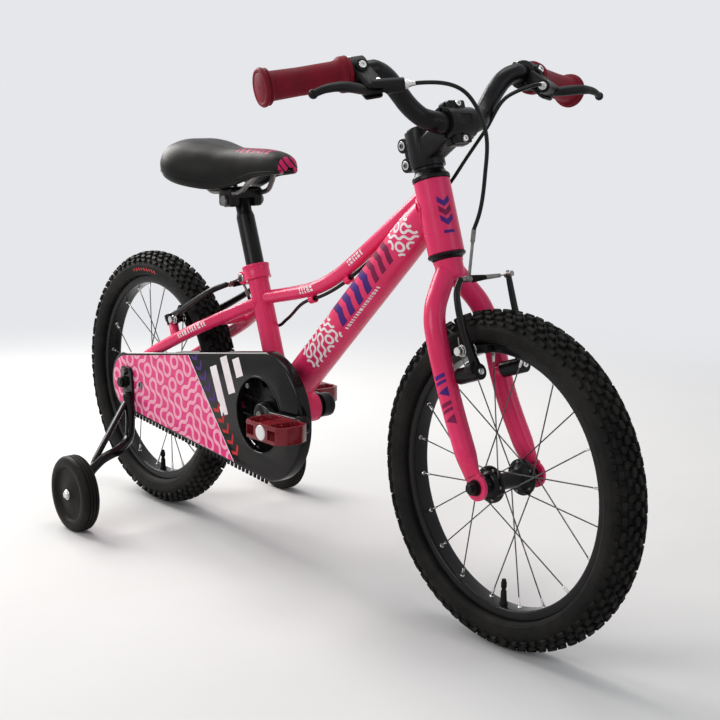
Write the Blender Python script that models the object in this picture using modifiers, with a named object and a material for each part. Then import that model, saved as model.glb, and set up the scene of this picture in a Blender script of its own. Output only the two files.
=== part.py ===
"""Children's bicycle with 16 inch wheels, V-brakes, a chain guard and training wheels.

Metres, +Z up, +X forward, +Y to the rider's left. The ground is Z = 0 and the frame's
middle plane is Y = 0. Each object is one piece of the bicycle.
"""

import math

import bmesh
import bpy
from mathutils import Matrix, Vector

# Wheels
WHEELBASE = 0.760
TYRE_RADIUS = 0.1975
TYRE_WIDTH = 0.0490
WHEEL_STEPS = 32
RIM_RADIUS = 0.1585
RIM_DEPTH = 0.0110
RIM_WIDTH = 0.0250
RIM_WALL = 0.0016
SPOKES_A_SIDE = 10
SPOKE_RADIUS = 0.0010
SPOKE_SWEEP = math.radians(63)
HUB_BARREL_RADIUS = 0.0150
HUB_FLANGE_RADIUS = 0.0215
HUB_END_RADIUS = 0.0085
HUB_FLANGE_THICKNESS = 0.0032
FRONT_FLANGE_Y = 0.0250
REAR_FLANGE_RIGHT_Y = 0.0200
REAR_FLANGE_LEFT_Y = 0.0270
AXLE_RADIUS = 0.0045
NUT_RADIUS = 0.0085
NUT_THICKNESS = 0.0080
VALVE_LENGTH = 0.0300
VALVE_RADIUS = 0.0036

# Steering head and fork, measured along and across the steering axis
HEAD_ANGLE = math.radians(71.4)
FORK_LENGTH = 0.2706
FORK_RAKE = 0.0218
HEAD_TUBE_LENGTH = 0.0876
HEAD_TUBE_RADIUS = 0.0215
HEAD_TUBE_BORE = 0.0170
STEERER_RADIUS = 0.0140
CUP_HEIGHT = 0.0115
CUP_FLANGE_RADIUS = 0.0225
CROWN_RADIUS = 0.0168
BLADE_RADIUS = 0.0127
BLADE_TIP_RADIUS = 0.0090
BLADE_SPREAD = 0.0430
FORK_SPACING = 0.0890
DROPOUT_THICKNESS = 0.0040

# Frame tubes
BRACKET_X = -0.0270
BRACKET_Z = 0.2075
BRACKET_SHELL_RADIUS = 0.0205
BRACKET_SHELL_WIDTH = 0.0620
BRACKET_BORE = 0.0150
SEAT_ANGLE = math.radians(70.5)
SEAT_TUBE_SETBACK = 0.0237
SEAT_TUBE_LENGTH = 0.1980
SEAT_TUBE_RADIUS = 0.0143
SEAT_TUBE_BORE = 0.0134
SEAT_BORE_DEPTH = 0.1480
TOP_TUBE_RADIUS = 0.0093
TOP_TUBE_BEND_FORWARD = 0.1500
TOP_TUBE_BEND_RISE = 0.0310
TOP_TUBE_SEAT_DROP = 0.0450
TOP_TUBE_HEAD_DROP = 0.0075
DOWN_TUBE_RADIUS = 0.0235
DOWN_TUBE_HEAD_DROP = 0.0270
DOWN_TUBE_FOOT_FORWARD = 0.0060
DOWN_TUBE_FOOT_RISE = 0.0340
STAY_RADIUS = 0.0088
STAY_END_RADIUS = 0.0062
REAR_SPACING = 0.0960
SEATSTAY_TOP_DROP = 0.0520
SEATSTAY_AXLE_RISE = 0.0280

# Drive
CHAIN_PITCH = 0.0127
CHAINLINE = 0.0385
CHAINRING_TEETH = 32
SPROCKET_TEETH = 16
TOOTH_THICKNESS = 0.0026
CHAIN_SAG = 0.0110
CHAIN_HALF_HEIGHT = 0.0038
ROLLER_HALF_LENGTH = 0.0026
TOOTH_DEPTH = 0.0046
TOOTH_HEIGHT = 0.0030
TOOTH_ROOT_HALF = 0.0022
TOOTH_TIP_HALF = 0.0011
CHAIN_INNER_PLATE = 0.0019
CHAIN_OUTER_PLATE = 0.0031
CHAIN_PLATE_THICKNESS = 0.0012
CRANK_LENGTH = 0.1090
CRANK_RISE = math.radians(4)
CRANK_BOSS_RADIUS = 0.0165
CRANK_BOSS_WIDTH = 0.0195
CRANK_ARM_THICKNESS = 0.0100
CRANK_ARM_OUTSET = 0.0144
SPINDLE_RADIUS = 0.0085
PEDAL_LENGTH = 0.0800
PEDAL_WIDTH = 0.0480
PEDAL_HEIGHT = 0.0220
PEDAL_OFFSET = 0.0110
PEDAL_SPINDLE_RADIUS = 0.0060
GUARD_FACE_Y = 0.0610
GUARD_WALL = 0.0022
GUARD_DEPTH = 0.0165
GUARD_FRONT_RADIUS = 0.0880
GUARD_FRONT_OFFSET = 0.0090
GUARD_REAR_RADIUS = 0.0460
GUARD_OPENING_RADIUS = 0.0510
GUARD_AXLE_HOLE = 0.0120
GUARD_DEEP_END_X = -0.2400

# Training wheels
TRAINING_WHEEL_RADIUS = 0.0560
TRAINING_WHEEL_WIDTH = 0.0268
TRAINING_WHEEL_STEPS = 20
TRAINING_WHEEL_Y = 0.1850
TRAINING_WHEEL_FORWARD = 0.0610
TRAINING_BAR_RADIUS = 0.0055
TRAINING_PLATE_THICKNESS = 0.0040
TRAINING_EYE_GAP = 0.0008
TRAINING_EYE_WIDTH = 0.0120

# Handlebar, stem and grips, measured from the lower end of the head tube
STEM_BOTTOM = 0.1035
STEM_HEIGHT = 0.0440
STEM_RADIUS = 0.0205
BAR_CLAMP_FORWARD = 0.0600
BAR_CLAMP_HEIGHT = 0.1385
BAR_CLAMP_RADIUS = 0.0127
STEM_CLAMP_RADIUS = 0.0185
STEM_CLAMP_WIDTH = 0.0440
BAR_RADIUS = 0.0111
BAR_HALF_WIDTH = 0.2350
BAR_RISE = 0.0570
BAR_SET_BACK = 0.0160
BAR_STRAIGHT = 0.1200
BAR_SWEEP = math.radians(14)
BAR_DROP = math.radians(9)
GRIP_LENGTH = 0.1030
GRIP_RADIUS = 0.0158
GRIP_FLANGE_RADIUS = 0.0210
GRIP_WALL = 0.0040
LEVER_CLAMP_WIDTH = 0.0180
LEVER_CLAMP_RADIUS = 0.0165
LEVER_REACH = 0.0360
LEVER_TILT = math.radians(30)
LEVER_PIVOT_INBOARD = 0.0080
LEVER_BLADE_RADIUS = 0.0058

# Brakes, measured from the arm's pivot
BRAKE_PIVOT_Y = 0.0400
BRAKE_POST_RADIUS = 0.0045
BRAKE_PLANE_FORWARD = 0.0360
BRAKE_PAD_INSET = 0.0050
BRAKE_PAD_RISE = 0.0270
FRONT_ARM_LENGTH = 0.0990
REAR_ARM_LENGTH = 0.1150
REAR_BRAKE_ANGLE = math.radians(25)
REAR_BRAKE_OFFSET = 0.0520
BRAKE_ARM_THICKNESS = 0.0100
PAD_THICKNESS = 0.0080
PAD_GAP = 0.0021
PAD_SWEEP = math.radians(8.5)

# Saddle and seat post
POST_RADIUS = 0.0127
POST_WALL = 0.0018
POST_INSERTION = 0.0850
POST_LENGTH = 0.1870
CLAMP_BAND_HEIGHT = 0.0180
CLAMP_BAND_RADIUS = 0.0182
RAIL_RADIUS = 0.0035
RAIL_HALF_SPACING = 0.0220
RAIL_LIFT = 0.0010
SADDLE_LENGTH = 0.2640
SADDLE_HALF_WIDTH = 0.0690
SADDLE_HEIGHT = 0.0814
SADDLE_NOSE_REACH = 0.1243
SADDLE_BAR_RADIUS = 0.0060
SADDLE_BAR_DROP = 0.0060
SADDLE_RECESS = 0.36
PAN_THICKNESS = 0.0045

# Cables
CABLE_RADIUS = 0.0025
CABLE_UNDER_TUBE = 0.0128
CABLE_SEAT_DROP = 0.0860

# Gap kept between pieces that touch
CLEARANCE = 0.0003

AXLE_HEIGHT = TYRE_RADIUS * math.cos(math.pi / WHEEL_STEPS)
BRAKE_PAD_RADIUS = RIM_RADIUS - BRAKE_PAD_INSET
FRONT_AXLE = Vector((WHEELBASE / 2, 0, AXLE_HEIGHT))
REAR_AXLE = Vector((-WHEELBASE / 2, 0, AXLE_HEIGHT))
BRACKET = Vector((BRACKET_X, 0, BRACKET_Z))
LEAN = HEAD_ANGLE - math.pi / 2
STEERING_TURN = Matrix.Rotation(LEAN, 4, "Y")
HEAD_BASE = FRONT_AXLE - STEERING_TURN @ Vector((FORK_RAKE, 0, -FORK_LENGTH))
STEERING = Matrix.Translation(HEAD_BASE) @ STEERING_TURN
SEAT_DIRECTION = Vector((-math.cos(SEAT_ANGLE), 0, math.sin(SEAT_ANGLE)))
SEAT_FOOT = BRACKET - Vector((SEAT_TUBE_SETBACK / math.sin(SEAT_ANGLE), 0, 0))
SEAT_TOP = SEAT_FOOT + SEAT_TUBE_LENGTH * SEAT_DIRECTION
MIRROR_Y = Matrix.Scale(-1, 4, (0, 1, 0))
WHEEL_TURN = Matrix.Rotation(-math.pi / 2, 4, "X")
PLATE_UPRIGHT = Matrix.Rotation(math.pi / 2, 4, "X")

PINK = (0.80, 0.045, 0.17)
BLACK = (0.012, 0.012, 0.014)
MAROON = (0.20, 0.012, 0.022)
RED_PLASTIC = (0.32, 0.012, 0.020)
RUBBER = (0.020, 0.019, 0.018)
STEEL = (0.55, 0.55, 0.57)


# Collections, materials and objects

def remove_everything():
    for item in list(bpy.data.objects):
        bpy.data.objects.remove(item, do_unlink=True)


def new_collection(name):
    group = bpy.data.collections.new(name)
    bpy.context.scene.collection.children.link(group)
    return group


def new_material(name, colour, roughness, metallic):
    material = bpy.data.materials.new(name)
    material.use_nodes = True
    shader = material.node_tree.nodes["Principled BSDF"]
    shader.inputs["Base Color"].default_value = (*colour, 1)
    shader.inputs["Roughness"].default_value = roughness
    shader.inputs["Metallic"].default_value = metallic
    material.diffuse_color = (*colour, 1)
    return material


def new_empty(name, matrix, parent=None):
    empty = bpy.data.objects.new(name, None)
    empty.empty_display_size = 0.03
    PARTS.objects.link(empty)
    empty.parent = parent
    empty.matrix_local = matrix
    return empty


def add_part(name, mesh, colour, roughness=0.4, metallic=0.0, parent=None, place=Matrix()):
    """One named piece of the bicycle, smooth except at its sharp edges."""
    mesh.name = name
    mesh.materials.clear()
    mesh.materials.append(new_material(name, colour, roughness, metallic))
    mesh.shade_smooth()
    mesh.set_sharp_from_angle(angle=math.radians(35))
    piece = bpy.data.objects.new(name, mesh)
    PARTS.objects.link(piece)
    piece.parent = parent
    piece.matrix_local = place
    return piece


# Mesh tools

def mesh_of(bm):
    bmesh.ops.remove_doubles(bm, verts=bm.verts, dist=1e-6)
    bmesh.ops.recalc_face_normals(bm, faces=bm.faces)
    mesh = bpy.data.meshes.new("mesh")
    bm.to_mesh(mesh)
    bm.free()
    return mesh


def evaluated(piece):
    """The object's mesh as its modifiers leave it, with the object removed."""
    graph = bpy.context.evaluated_depsgraph_get()
    mesh = bpy.data.meshes.new_from_object(piece.evaluated_get(graph))
    bpy.data.objects.remove(piece, do_unlink=True)
    bm = bmesh.new()
    bm.from_mesh(mesh)
    return mesh_of(bm)


def moved(mesh, matrix):
    mesh.transform(matrix)
    if matrix.determinant() < 0:
        mesh.flip_normals()
    return mesh


def mirrored(mesh):
    return moved(mesh.copy(), MIRROR_Y)


def hidden(name, data):
    piece = bpy.data.objects.new(name, data)
    piece.hide_render = True
    piece.display_type = "WIRE"
    CUTTERS.objects.link(piece)
    return piece


def boolean(mesh, tool, operation):
    body = hidden("body", mesh)
    cutter = hidden("cutter", tool)
    change = body.modifiers.new("boolean", "BOOLEAN")
    change.operation = operation
    change.solver = "EXACT"
    change.object = cutter
    result = evaluated(body)
    bpy.data.objects.remove(cutter, do_unlink=True)
    return result


def joined(*meshes):
    body = meshes[0]
    for mesh in meshes[1:]:
        body = boolean(body, mesh, "UNION")
    return body


def cut(mesh, *tools):
    for tool in tools:
        mesh = boolean(mesh, tool, "DIFFERENCE")
    return mesh


def rod(start, end, radius, sides=12, end_radius=None):
    """Round bar or cone from start to end."""
    start, end = Vector(start), Vector(end)
    span = end - start
    bm = bmesh.new()
    bmesh.ops.create_cone(
        bm, cap_ends=True, segments=sides, radius1=radius,
        radius2=radius if end_radius is None else end_radius, depth=span.length)
    bm.transform(Matrix.Translation((start + end) / 2)
                 @ span.to_track_quat("Z", "Y").to_matrix().to_4x4())
    return mesh_of(bm)


def bore_radius(radius, sides):
    """Radius of a faceted bore whose flats clear a round piece of the given radius."""
    return (radius + CLEARANCE) / math.cos(math.pi / sides)


def block(low, high, bevel=0.0):
    """Box between two corners, with its edges bevelled."""
    low, high = Vector(low), Vector(high)
    bm = bmesh.new()
    bmesh.ops.create_cube(bm, size=1)
    bmesh.ops.scale(bm, vec=high - low, verts=bm.verts)
    bmesh.ops.translate(bm, vec=(low + high) / 2, verts=bm.verts)
    if bevel:
        bmesh.ops.bevel(bm, geom=bm.edges[:], offset=bevel, segments=1, affect="EDGES")
    return mesh_of(bm)


def turned(profile, steps, closed=True, phase=0.0):
    """Ring or solid of revolution about Z from (radius, height) points."""
    mesh = bpy.data.meshes.new("profile")
    edges = [(i, i + 1) for i in range(len(profile) - 1)]
    if closed:
        edges.append((len(profile) - 1, 0))
    mesh.from_pydata([(radius, 0, height) for radius, height in profile], edges, [])
    piece = hidden("profile", mesh)
    screw = piece.modifiers.new("screw", "SCREW")
    screw.axis = "Z"
    screw.steps = steps
    screw.render_steps = steps
    screw.use_merge_vertices = True
    screw.merge_threshold = 0.00001
    return moved(evaluated(piece), Matrix.Rotation(phase, 4, "Z"))


def tube(points, radius, resolution=4, scales=None):
    """Round tube with flat ends along a line of points."""
    curve = bpy.data.curves.new("tube", "CURVE")
    curve.dimensions = "3D"
    curve.bevel_depth = radius
    curve.bevel_resolution = resolution
    curve.use_fill_caps = True
    spline = curve.splines.new("POLY")
    spline.points.add(len(points) - 1)
    for index, point in enumerate(points):
        spline.points[index].co = (*point, 1)
        spline.points[index].radius = scales[index] if scales else 1
    return evaluated(hidden("tube", curve))


def plate(outline, thickness, holes=()):
    """Flat plate in XY, centred on Z = 0, from closed outlines."""
    curve = bpy.data.curves.new("plate", "CURVE")
    curve.dimensions = "2D"
    curve.fill_mode = "BOTH"
    curve.extrude = thickness / 2
    for line in (outline, *holes):
        spline = curve.splines.new("POLY")
        spline.points.add(len(line) - 1)
        for index, (x, y) in enumerate(line):
            spline.points[index].co = (x, y, 0, 1)
        spline.use_cyclic_u = True
    return evaluated(hidden("plate", curve))


def even_steps(points, count):
    """Span and fraction of each of the steps that divide a line of points evenly."""
    lengths = [(b - a).length for a, b in zip(points, points[1:])]
    steps = []
    span, before = 0, 0.0
    for step in range(count):
        target = sum(lengths) * step / (count - 1)
        while span < len(lengths) - 1 and before + lengths[span] < target:
            before += lengths[span]
            span += 1
        steps.append((span, (target - before) / lengths[span]))
    return steps


def smooth_line(points, count):
    """Evenly spaced points on the smooth curve that passes through the given ones."""
    points = [Vector(point) for point in points]
    padded = [2 * points[0] - points[1], *points, 2 * points[-1] - points[-2]]
    slopes = []
    for a, b, c in zip(padded, padded[1:], padded[2:]):
        before, after = (b - a).length, (c - b).length
        slopes.append(((b - a) * (after / before) + (c - b) * (before / after))
                      / (before + after))
    line = []
    for span, t in even_steps(points, count):
        start, end = points[span], points[span + 1]
        reach = (end - start).length
        line.append(start * (1 + 2 * t) * (1 - t) ** 2 + slopes[span] * reach * t * (1 - t) ** 2
                    + end * t ** 2 * (3 - 2 * t) + slopes[span + 1] * reach * t ** 2 * (t - 1))
    return line


def smooth_scales(values, points, count):
    """Radius factors, one given for each point, spread along the smooth line."""
    points = [Vector(point) for point in points]
    return [values[span] + (values[span + 1] - values[span]) * t
            for span, t in even_steps(points, count)]


def arc(centre, radius, start, end, steps):
    """Points on a circle arc, both ends included, angles in radians."""
    angles = [start + (end - start) * step / steps for step in range(steps + 1)]
    return [(centre[0] + radius * math.cos(a), centre[1] + radius * math.sin(a)) for a in angles]


def circle(centre, radius, steps):
    return arc(centre, radius, 0, 2 * math.pi * (steps - 1) / steps, steps - 1)


def upright(mesh, y):
    """Plate drawn in (x, z) stood up at the given y."""
    return moved(mesh, Matrix.Translation((0, y, 0)) @ PLATE_UPRIGHT)


def sideways(mesh, centre):
    """Turned piece laid with its axis along +Y through the centre."""
    return moved(mesh, Matrix.Translation(centre) @ WHEEL_TURN)


# Frame

def seat_point(height):
    """Point on the seat tube's axis, height measured from its foot."""
    return SEAT_FOOT + height * SEAT_DIRECTION


def head_point(height):
    """Point on the steering axis, height measured from the head tube's lower end."""
    return STEERING @ Vector((0, 0, height))


def top_tube_line():
    start = seat_point(SEAT_TUBE_LENGTH - TOP_TUBE_SEAT_DROP)
    end = head_point(HEAD_TUBE_LENGTH - TOP_TUBE_HEAD_DROP)
    bend = start + Vector((TOP_TUBE_BEND_FORWARD, 0, TOP_TUBE_BEND_RISE))
    into = bend + (start - bend) * 0.36
    out = bend + (end - bend) * 0.27
    return [start, *(bezier(into, bend, out, step / 6) for step in range(7)), end]


def bezier(a, b, c, t):
    return a * (1 - t) ** 2 + b * (2 * t * (1 - t)) + c * t ** 2


def down_tube_line():
    foot = BRACKET + Vector((-DOWN_TUBE_FOOT_FORWARD, 0, DOWN_TUBE_FOOT_RISE - 0.010))
    return [foot, head_point(HEAD_TUBE_LENGTH - DOWN_TUBE_HEAD_DROP)]


def stay_end_y():
    return REAR_SPACING / 2 + DROPOUT_THICKNESS / 2


def chainstay():
    tyre_side = TYRE_WIDTH / 2 + STAY_RADIUS + 0.005
    route = [
        BRACKET + Vector((-0.010, -0.020, -0.002)),
        BRACKET + Vector((-0.060, -0.023, -0.003)),
        BRACKET + Vector((-0.160, -tyre_side, -0.005)),
        (REAR_AXLE.x + 0.110, -tyre_side - 0.005, AXLE_HEIGHT + 0.002),
        (REAR_AXLE.x + 0.016, -stay_end_y(), AXLE_HEIGHT)]
    end = STAY_END_RADIUS / STAY_RADIUS
    return tube(smooth_line(route, 9), STAY_RADIUS, 1,
                smooth_scales([1, 1, 1, 0.9, end], route, 9))


def seatstay_line():
    top = seat_point(SEAT_TUBE_LENGTH - SEATSTAY_TOP_DROP) + Vector((-0.004, -0.007, 0))
    foot = REAR_AXLE + Vector((0.004, -stay_end_y(), SEATSTAY_AXLE_RISE))
    tyre_side = TYRE_WIDTH / 2 + STAY_RADIUS + 0.006
    run = foot - top
    return [top,
            top + Vector((run.x * 0.16, -0.016, run.z * 0.16)),
            Vector((top.x + run.x * 0.36, -tyre_side, top.z + run.z * 0.36)),
            Vector((top.x + run.x * 0.66, -stay_end_y() + 0.0010, top.z + run.z * 0.66)),
            foot]


def seatstay():
    end = STAY_END_RADIUS / STAY_RADIUS
    route = seatstay_line()
    return tube(smooth_line(route, 9), STAY_RADIUS, 1,
                smooth_scales([1, 1, 1, 0.95, end], route, 9))


def rear_dropout():
    """Plate that joins the two stays, with a slot for the axle that opens backward."""
    slot = AXLE_RADIUS + CLEARANCE
    outline = [
        (-0.018, slot), *arc((0, 0), slot, math.pi / 2, -math.pi / 2, 6), (-0.018, -slot),
        (-0.016, -0.013), (0.000, -0.016), (0.026, -0.010), (0.030, 0.003),
        (0.016, 0.033), (0.002, 0.036), (-0.008, 0.030), (-0.016, 0.014)]
    mesh = upright(plate(outline, DROPOUT_THICKNESS), -stay_end_y())
    return moved(mesh, Matrix.Translation(REAR_AXLE))


def rear_brake_matrix():
    """Frame at the rear brake's pivots: X along the post, Z along the arm, Y to the right."""
    across = Vector((-math.sin(REAR_BRAKE_ANGLE), 0, math.cos(REAR_BRAKE_ANGLE)))
    along = Vector((math.cos(REAR_BRAKE_ANGLE), 0, math.sin(REAR_BRAKE_ANGLE)))
    reach = math.sqrt(BRAKE_PAD_RADIUS ** 2 - REAR_BRAKE_OFFSET ** 2) - BRAKE_PAD_RISE
    origin = REAR_AXLE + reach * along + REAR_BRAKE_OFFSET * across
    matrix = Matrix.Identity(4)
    matrix.col[0][:3] = across
    matrix.col[1][:3] = (0, -1, 0)
    matrix.col[2][:3] = along
    matrix.translation = origin
    return matrix


def front_brake_matrix():
    """Frame at the front brake's pivots, in the fork's own coordinates."""
    forward = BRAKE_PLANE_FORWARD - FORK_RAKE
    rise = math.sqrt(BRAKE_PAD_RADIUS ** 2 - forward ** 2) - BRAKE_PAD_RISE
    return Matrix.Translation((BRAKE_PLANE_FORWARD, 0, rise - FORK_LENGTH))


def seatstay_depth():
    """Distance from the rear brake's plane back to the seatstay's axis."""
    inverse = rear_brake_matrix().inverted()
    line = [inverse @ point for point in seatstay_line()]
    spans = [(a, b) for a, b in zip(line, line[1:]) if min(a.z, b.z) <= 0 <= max(a.z, b.z)]
    a, b = spans[0]
    return (b.x - a.x) * a.z / (b.z - a.z) - a.x


def brake_post(matrix, depth):
    """Pivot post that a brake arm turns on, on the -Y side of the matrix."""
    side = Vector((0, -BRAKE_PIVOT_Y, 0))
    tip = side + Vector((BRAKE_ARM_THICKNESS / 2 + 0.0015, 0, 0))
    shoulder = side - Vector((BRAKE_ARM_THICKNESS / 2 + CLEARANCE, 0, 0))
    root = side - Vector((depth, 0, 0))
    return moved(joined(rod(root, tip, BRAKE_POST_RADIUS, 8),
                        rod(root, shoulder, 0.0070, 8)), matrix)


def cable_line_under_top_tube():
    """Points under the top tube where its guides hold the rear brake cable."""
    line = top_tube_line()
    points = []
    for index in (2, 6):
        run = (line[index + 1] - line[index - 1]).normalized()
        below = Vector((run.z, 0, -run.x))
        points.append((line[index] + CABLE_UNDER_TUBE * below, run))
    return points


def cable_guides():
    return [(centre - 0.005 * run, centre + 0.005 * run)
            for centre, run in cable_line_under_top_tube()]


def guard_bosses():
    """Posts on the right stay that the chain guard is screwed to."""
    inner = -GUARD_FACE_Y + GUARD_WALL + CLEARANCE
    return [rod((REAR_AXLE.x + 0.043, -stay_end_y() + 0.004, AXLE_HEIGHT + 0.001),
                (REAR_AXLE.x + 0.043, inner, AXLE_HEIGHT + 0.001), 0.0040, 8),
            rod(BRACKET + Vector((-0.105, -0.024, -0.004)),
                (BRACKET.x - 0.105, inner, BRACKET.z - 0.004), 0.0040, 8)]


def frame_mesh():
    head = rod(head_point(0), head_point(HEAD_TUBE_LENGTH), HEAD_TUBE_RADIUS, 16)
    seat = rod(SEAT_FOOT, SEAT_TOP, SEAT_TUBE_RADIUS, 12)
    shell = rod(BRACKET + Vector((0, -BRACKET_SHELL_WIDTH / 2, 0)),
                BRACKET + Vector((0, BRACKET_SHELL_WIDTH / 2, 0)), BRACKET_SHELL_RADIUS, 14)
    foot, top = down_tube_line()
    down = rod(foot, top, DOWN_TUBE_RADIUS, 14)
    upper = tube(top_tube_line(), TOP_TUBE_RADIUS, 2)
    stay_cross = seatstay_line()[2]
    bridge = rod((stay_cross.x + 0.016, -0.034, stay_cross.z + 0.008),
                 (stay_cross.x + 0.016, 0.034, stay_cross.z + 0.008), 0.0055, 8)
    right = [chainstay(), seatstay(), rear_dropout()]
    left = [mirrored(mesh) for mesh in right]
    post = brake_post(rear_brake_matrix(), seatstay_depth())
    posts = [post, mirrored(post)]
    guides = [rod(low, high, CABLE_RADIUS + 0.0034, 8) for low, high in cable_guides()]
    frame = joined(head, down, upper, seat, shell, *right, *left, bridge,
                   *posts, *guides, *guard_bosses())
    head_bore = rod(head_point(-0.01), head_point(HEAD_TUBE_LENGTH + 0.01), HEAD_TUBE_BORE, 14)
    seat_bore = rod(SEAT_TOP - SEAT_BORE_DEPTH * SEAT_DIRECTION,
                    SEAT_TOP + 0.01 * SEAT_DIRECTION, SEAT_TUBE_BORE, 14)
    shell_bore = rod(BRACKET + Vector((0, -0.05, 0)), BRACKET + Vector((0, 0.05, 0)),
                     BRACKET_BORE, 12)
    cable_bores = [rod(2 * low - high, 2 * high - low, CABLE_RADIUS + 0.0014, 8)
                   for low, high in cable_guides()]
    return cut(frame, head_bore, seat_bore, shell_bore, *cable_bores)


def headset_cup(top):
    """Bearing cup pressed into one end of the head tube, with a bore for the steerer."""
    bore = bore_radius(STEERER_RADIUS, 14)
    skirt = HEAD_TUBE_BORE * math.cos(math.pi / 14) - CLEARANCE
    profile = [(bore, -0.010), (bore, CUP_HEIGHT), (0.0180, CUP_HEIGHT),
               (CUP_FLANGE_RADIUS, 0.0050), (CUP_FLANGE_RADIUS, CLEARANCE),
               (skirt, CLEARANCE), (skirt, -0.010)]
    mesh = turned(profile, 14)
    if top:
        return moved(mesh, Matrix.Translation((0, 0, HEAD_TUBE_LENGTH)))
    flat = Matrix.Scale(0.62, 4, (0, 0, 1))
    return moved(mesh, Matrix.Rotation(math.pi, 4, "X") @ flat)


def bracket_cup():
    """Right-hand bearing cup of the bottom bracket, round the crank spindle."""
    bore = bore_radius(SPINDLE_RADIUS, 12)
    skirt = BRACKET_BORE * math.cos(math.pi / 12) - CLEARANCE
    edge = BRACKET_SHELL_WIDTH / 2
    profile = [(bore, edge - 0.012), (bore, edge + 0.0022), (0.0200, edge + 0.0022),
               (0.0200, edge + CLEARANCE),
               (skirt, edge + CLEARANCE), (skirt, edge - 0.012)]
    mesh = turned(profile, 12)
    return moved(mesh, Matrix.Translation(BRACKET) @ Matrix.Rotation(math.pi / 2, 4, "X"))


def seat_clamp():
    """Split band round the top of the seat tube with two ears at the back."""
    inner = bore_radius(SEAT_TUBE_RADIUS, 14)
    band = turned([(inner, -CLAMP_BAND_HEIGHT), (inner, CLEARANCE),
                   (POST_RADIUS + 0.0012, CLEARANCE), (POST_RADIUS + 0.0012, 0.0016),
                   (CLAMP_BAND_RADIUS, 0.0016), (CLAMP_BAND_RADIUS, -CLAMP_BAND_HEIGHT)], 14)
    ears = block((-CLAMP_BAND_RADIUS - 0.0105, -0.0085, -CLAMP_BAND_HEIGHT + 0.0010),
                 (-inner - 0.0012, 0.0085, -0.0010), 0.0030)
    slit = block((-0.05, -0.0012, -0.05), (-0.008, 0.0012, 0.05))
    bolt = rod((-CLAMP_BAND_RADIUS - 0.0045, -0.03, -0.0092),
               (-CLAMP_BAND_RADIUS - 0.0045, 0.03, -0.0092), bore_radius(0.0028, 8), 8)
    return cut(joined(band, ears), slit, bolt)


def seat_clamp_bolt():
    profile = [(0, -0.0125), (0.0048, -0.0125), (0.0048, -0.0088), (0.0028, -0.0088),
               (0.0028, 0.0088), (0.0048, 0.0088), (0.0048, 0.0118), (0, 0.0118)]
    place = (-CLAMP_BAND_RADIUS - 0.0045, 0, -0.0092)
    return sideways(turned(profile, 8, closed=False), place)


def seat_frame():
    """Frame at the top of the seat tube with Z along its axis."""
    turn = Matrix.Rotation(SEAT_ANGLE - math.pi / 2, 4, "Y")
    return Matrix.Translation(SEAT_TOP) @ turn


# Fork, stem and handlebar, all in coordinates whose Z is the steering axis

def fork_blade_line():
    """Right blade, curving out of the crown and forward to the axle."""
    return [(0, -0.0035, -0.0180), (0, -0.0130, -0.0300), (0, -0.0240, -0.0450),
            (0.0005, -0.0335, -0.0590), (0.0010, -0.0400, -0.0760),
            (0.0020, -BLADE_SPREAD, -0.1060),
            (FORK_RAKE * 0.14, -BLADE_SPREAD, -FORK_LENGTH * 0.554),
            (FORK_RAKE * 0.28, -BLADE_SPREAD - 0.0005, -FORK_LENGTH * 0.684),
            (FORK_RAKE * 0.55, -FORK_SPACING / 2 - 0.0005, -FORK_LENGTH * 0.820),
            (FORK_RAKE - 0.0035, -FORK_SPACING / 2 - 0.0020, -FORK_LENGTH + 0.0130)]


def fork_dropout():
    """Round-ended plate with a slot that opens downward for the front axle."""
    slot = AXLE_RADIUS + CLEARANCE
    radius = 0.0135
    outline = [(slot, -radius), *arc((0, 0), slot, 0, math.pi, 6), (-slot, -radius),
               *arc((0, 0), radius, math.pi * 1.25, math.pi, 2), (-0.0120, 0.0140),
               (0.0040, 0.0180), *arc((0, 0), radius, math.pi * 0.25, -math.pi * 0.25, 4)]
    mesh = upright(plate(outline, DROPOUT_THICKNESS), -FORK_SPACING / 2 - DROPOUT_THICKNESS / 2)
    return moved(mesh, Matrix.Translation((FORK_RAKE, 0, -FORK_LENGTH)))


def fork_mesh():
    steerer = rod((0, 0, -0.020), (0, 0, STEM_BOTTOM + STEM_HEIGHT - 0.001), STEERER_RADIUS, 14)
    seat = -CUP_HEIGHT * 0.62 - CLEARANCE
    crown = rod((0, 0, -0.030), (0, 0, seat), CROWN_RADIUS, 12)
    tip = BLADE_TIP_RADIUS / BLADE_RADIUS
    route = fork_blade_line()
    blade = tube(smooth_line(route, 13), BLADE_RADIUS, 2,
                 smooth_scales([1, 1, 1, 1, 1, 1, 0.99, 0.94, 0.86, tip], route, 13))
    right = [blade, fork_dropout()]
    left = [mirrored(mesh) for mesh in right]
    post = brake_post(front_brake_matrix(), BRAKE_PLANE_FORWARD - 0.0030)
    return joined(steerer, crown, *right, *left, post, mirrored(post))


def bar_centre():
    return Vector((BAR_CLAMP_FORWARD, 0, BAR_CLAMP_HEIGHT))


def from_clamp(back, side, rise):
    """Fork coordinates of a point given level back, side and rise from the bar clamp."""
    level = STEERING_TURN.to_3x3().inverted() @ Vector((-back, side, rise))
    return bar_centre() + level


def bar_end_run():
    """Direction of the handlebar's right-hand end, outward."""
    spread = math.cos(BAR_SWEEP)
    level = Vector((-math.sin(BAR_SWEEP), -spread, -math.tan(BAR_DROP) * spread))
    return (STEERING_TURN.to_3x3().inverted() @ level).normalized()


def bar_bend_end():
    return from_clamp(BAR_SET_BACK, BAR_STRAIGHT - BAR_HALF_WIDTH, BAR_RISE)


def bar_end():
    run = bar_end_run()
    return bar_bend_end() + run * (BAR_STRAIGHT / -run.y)


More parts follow.
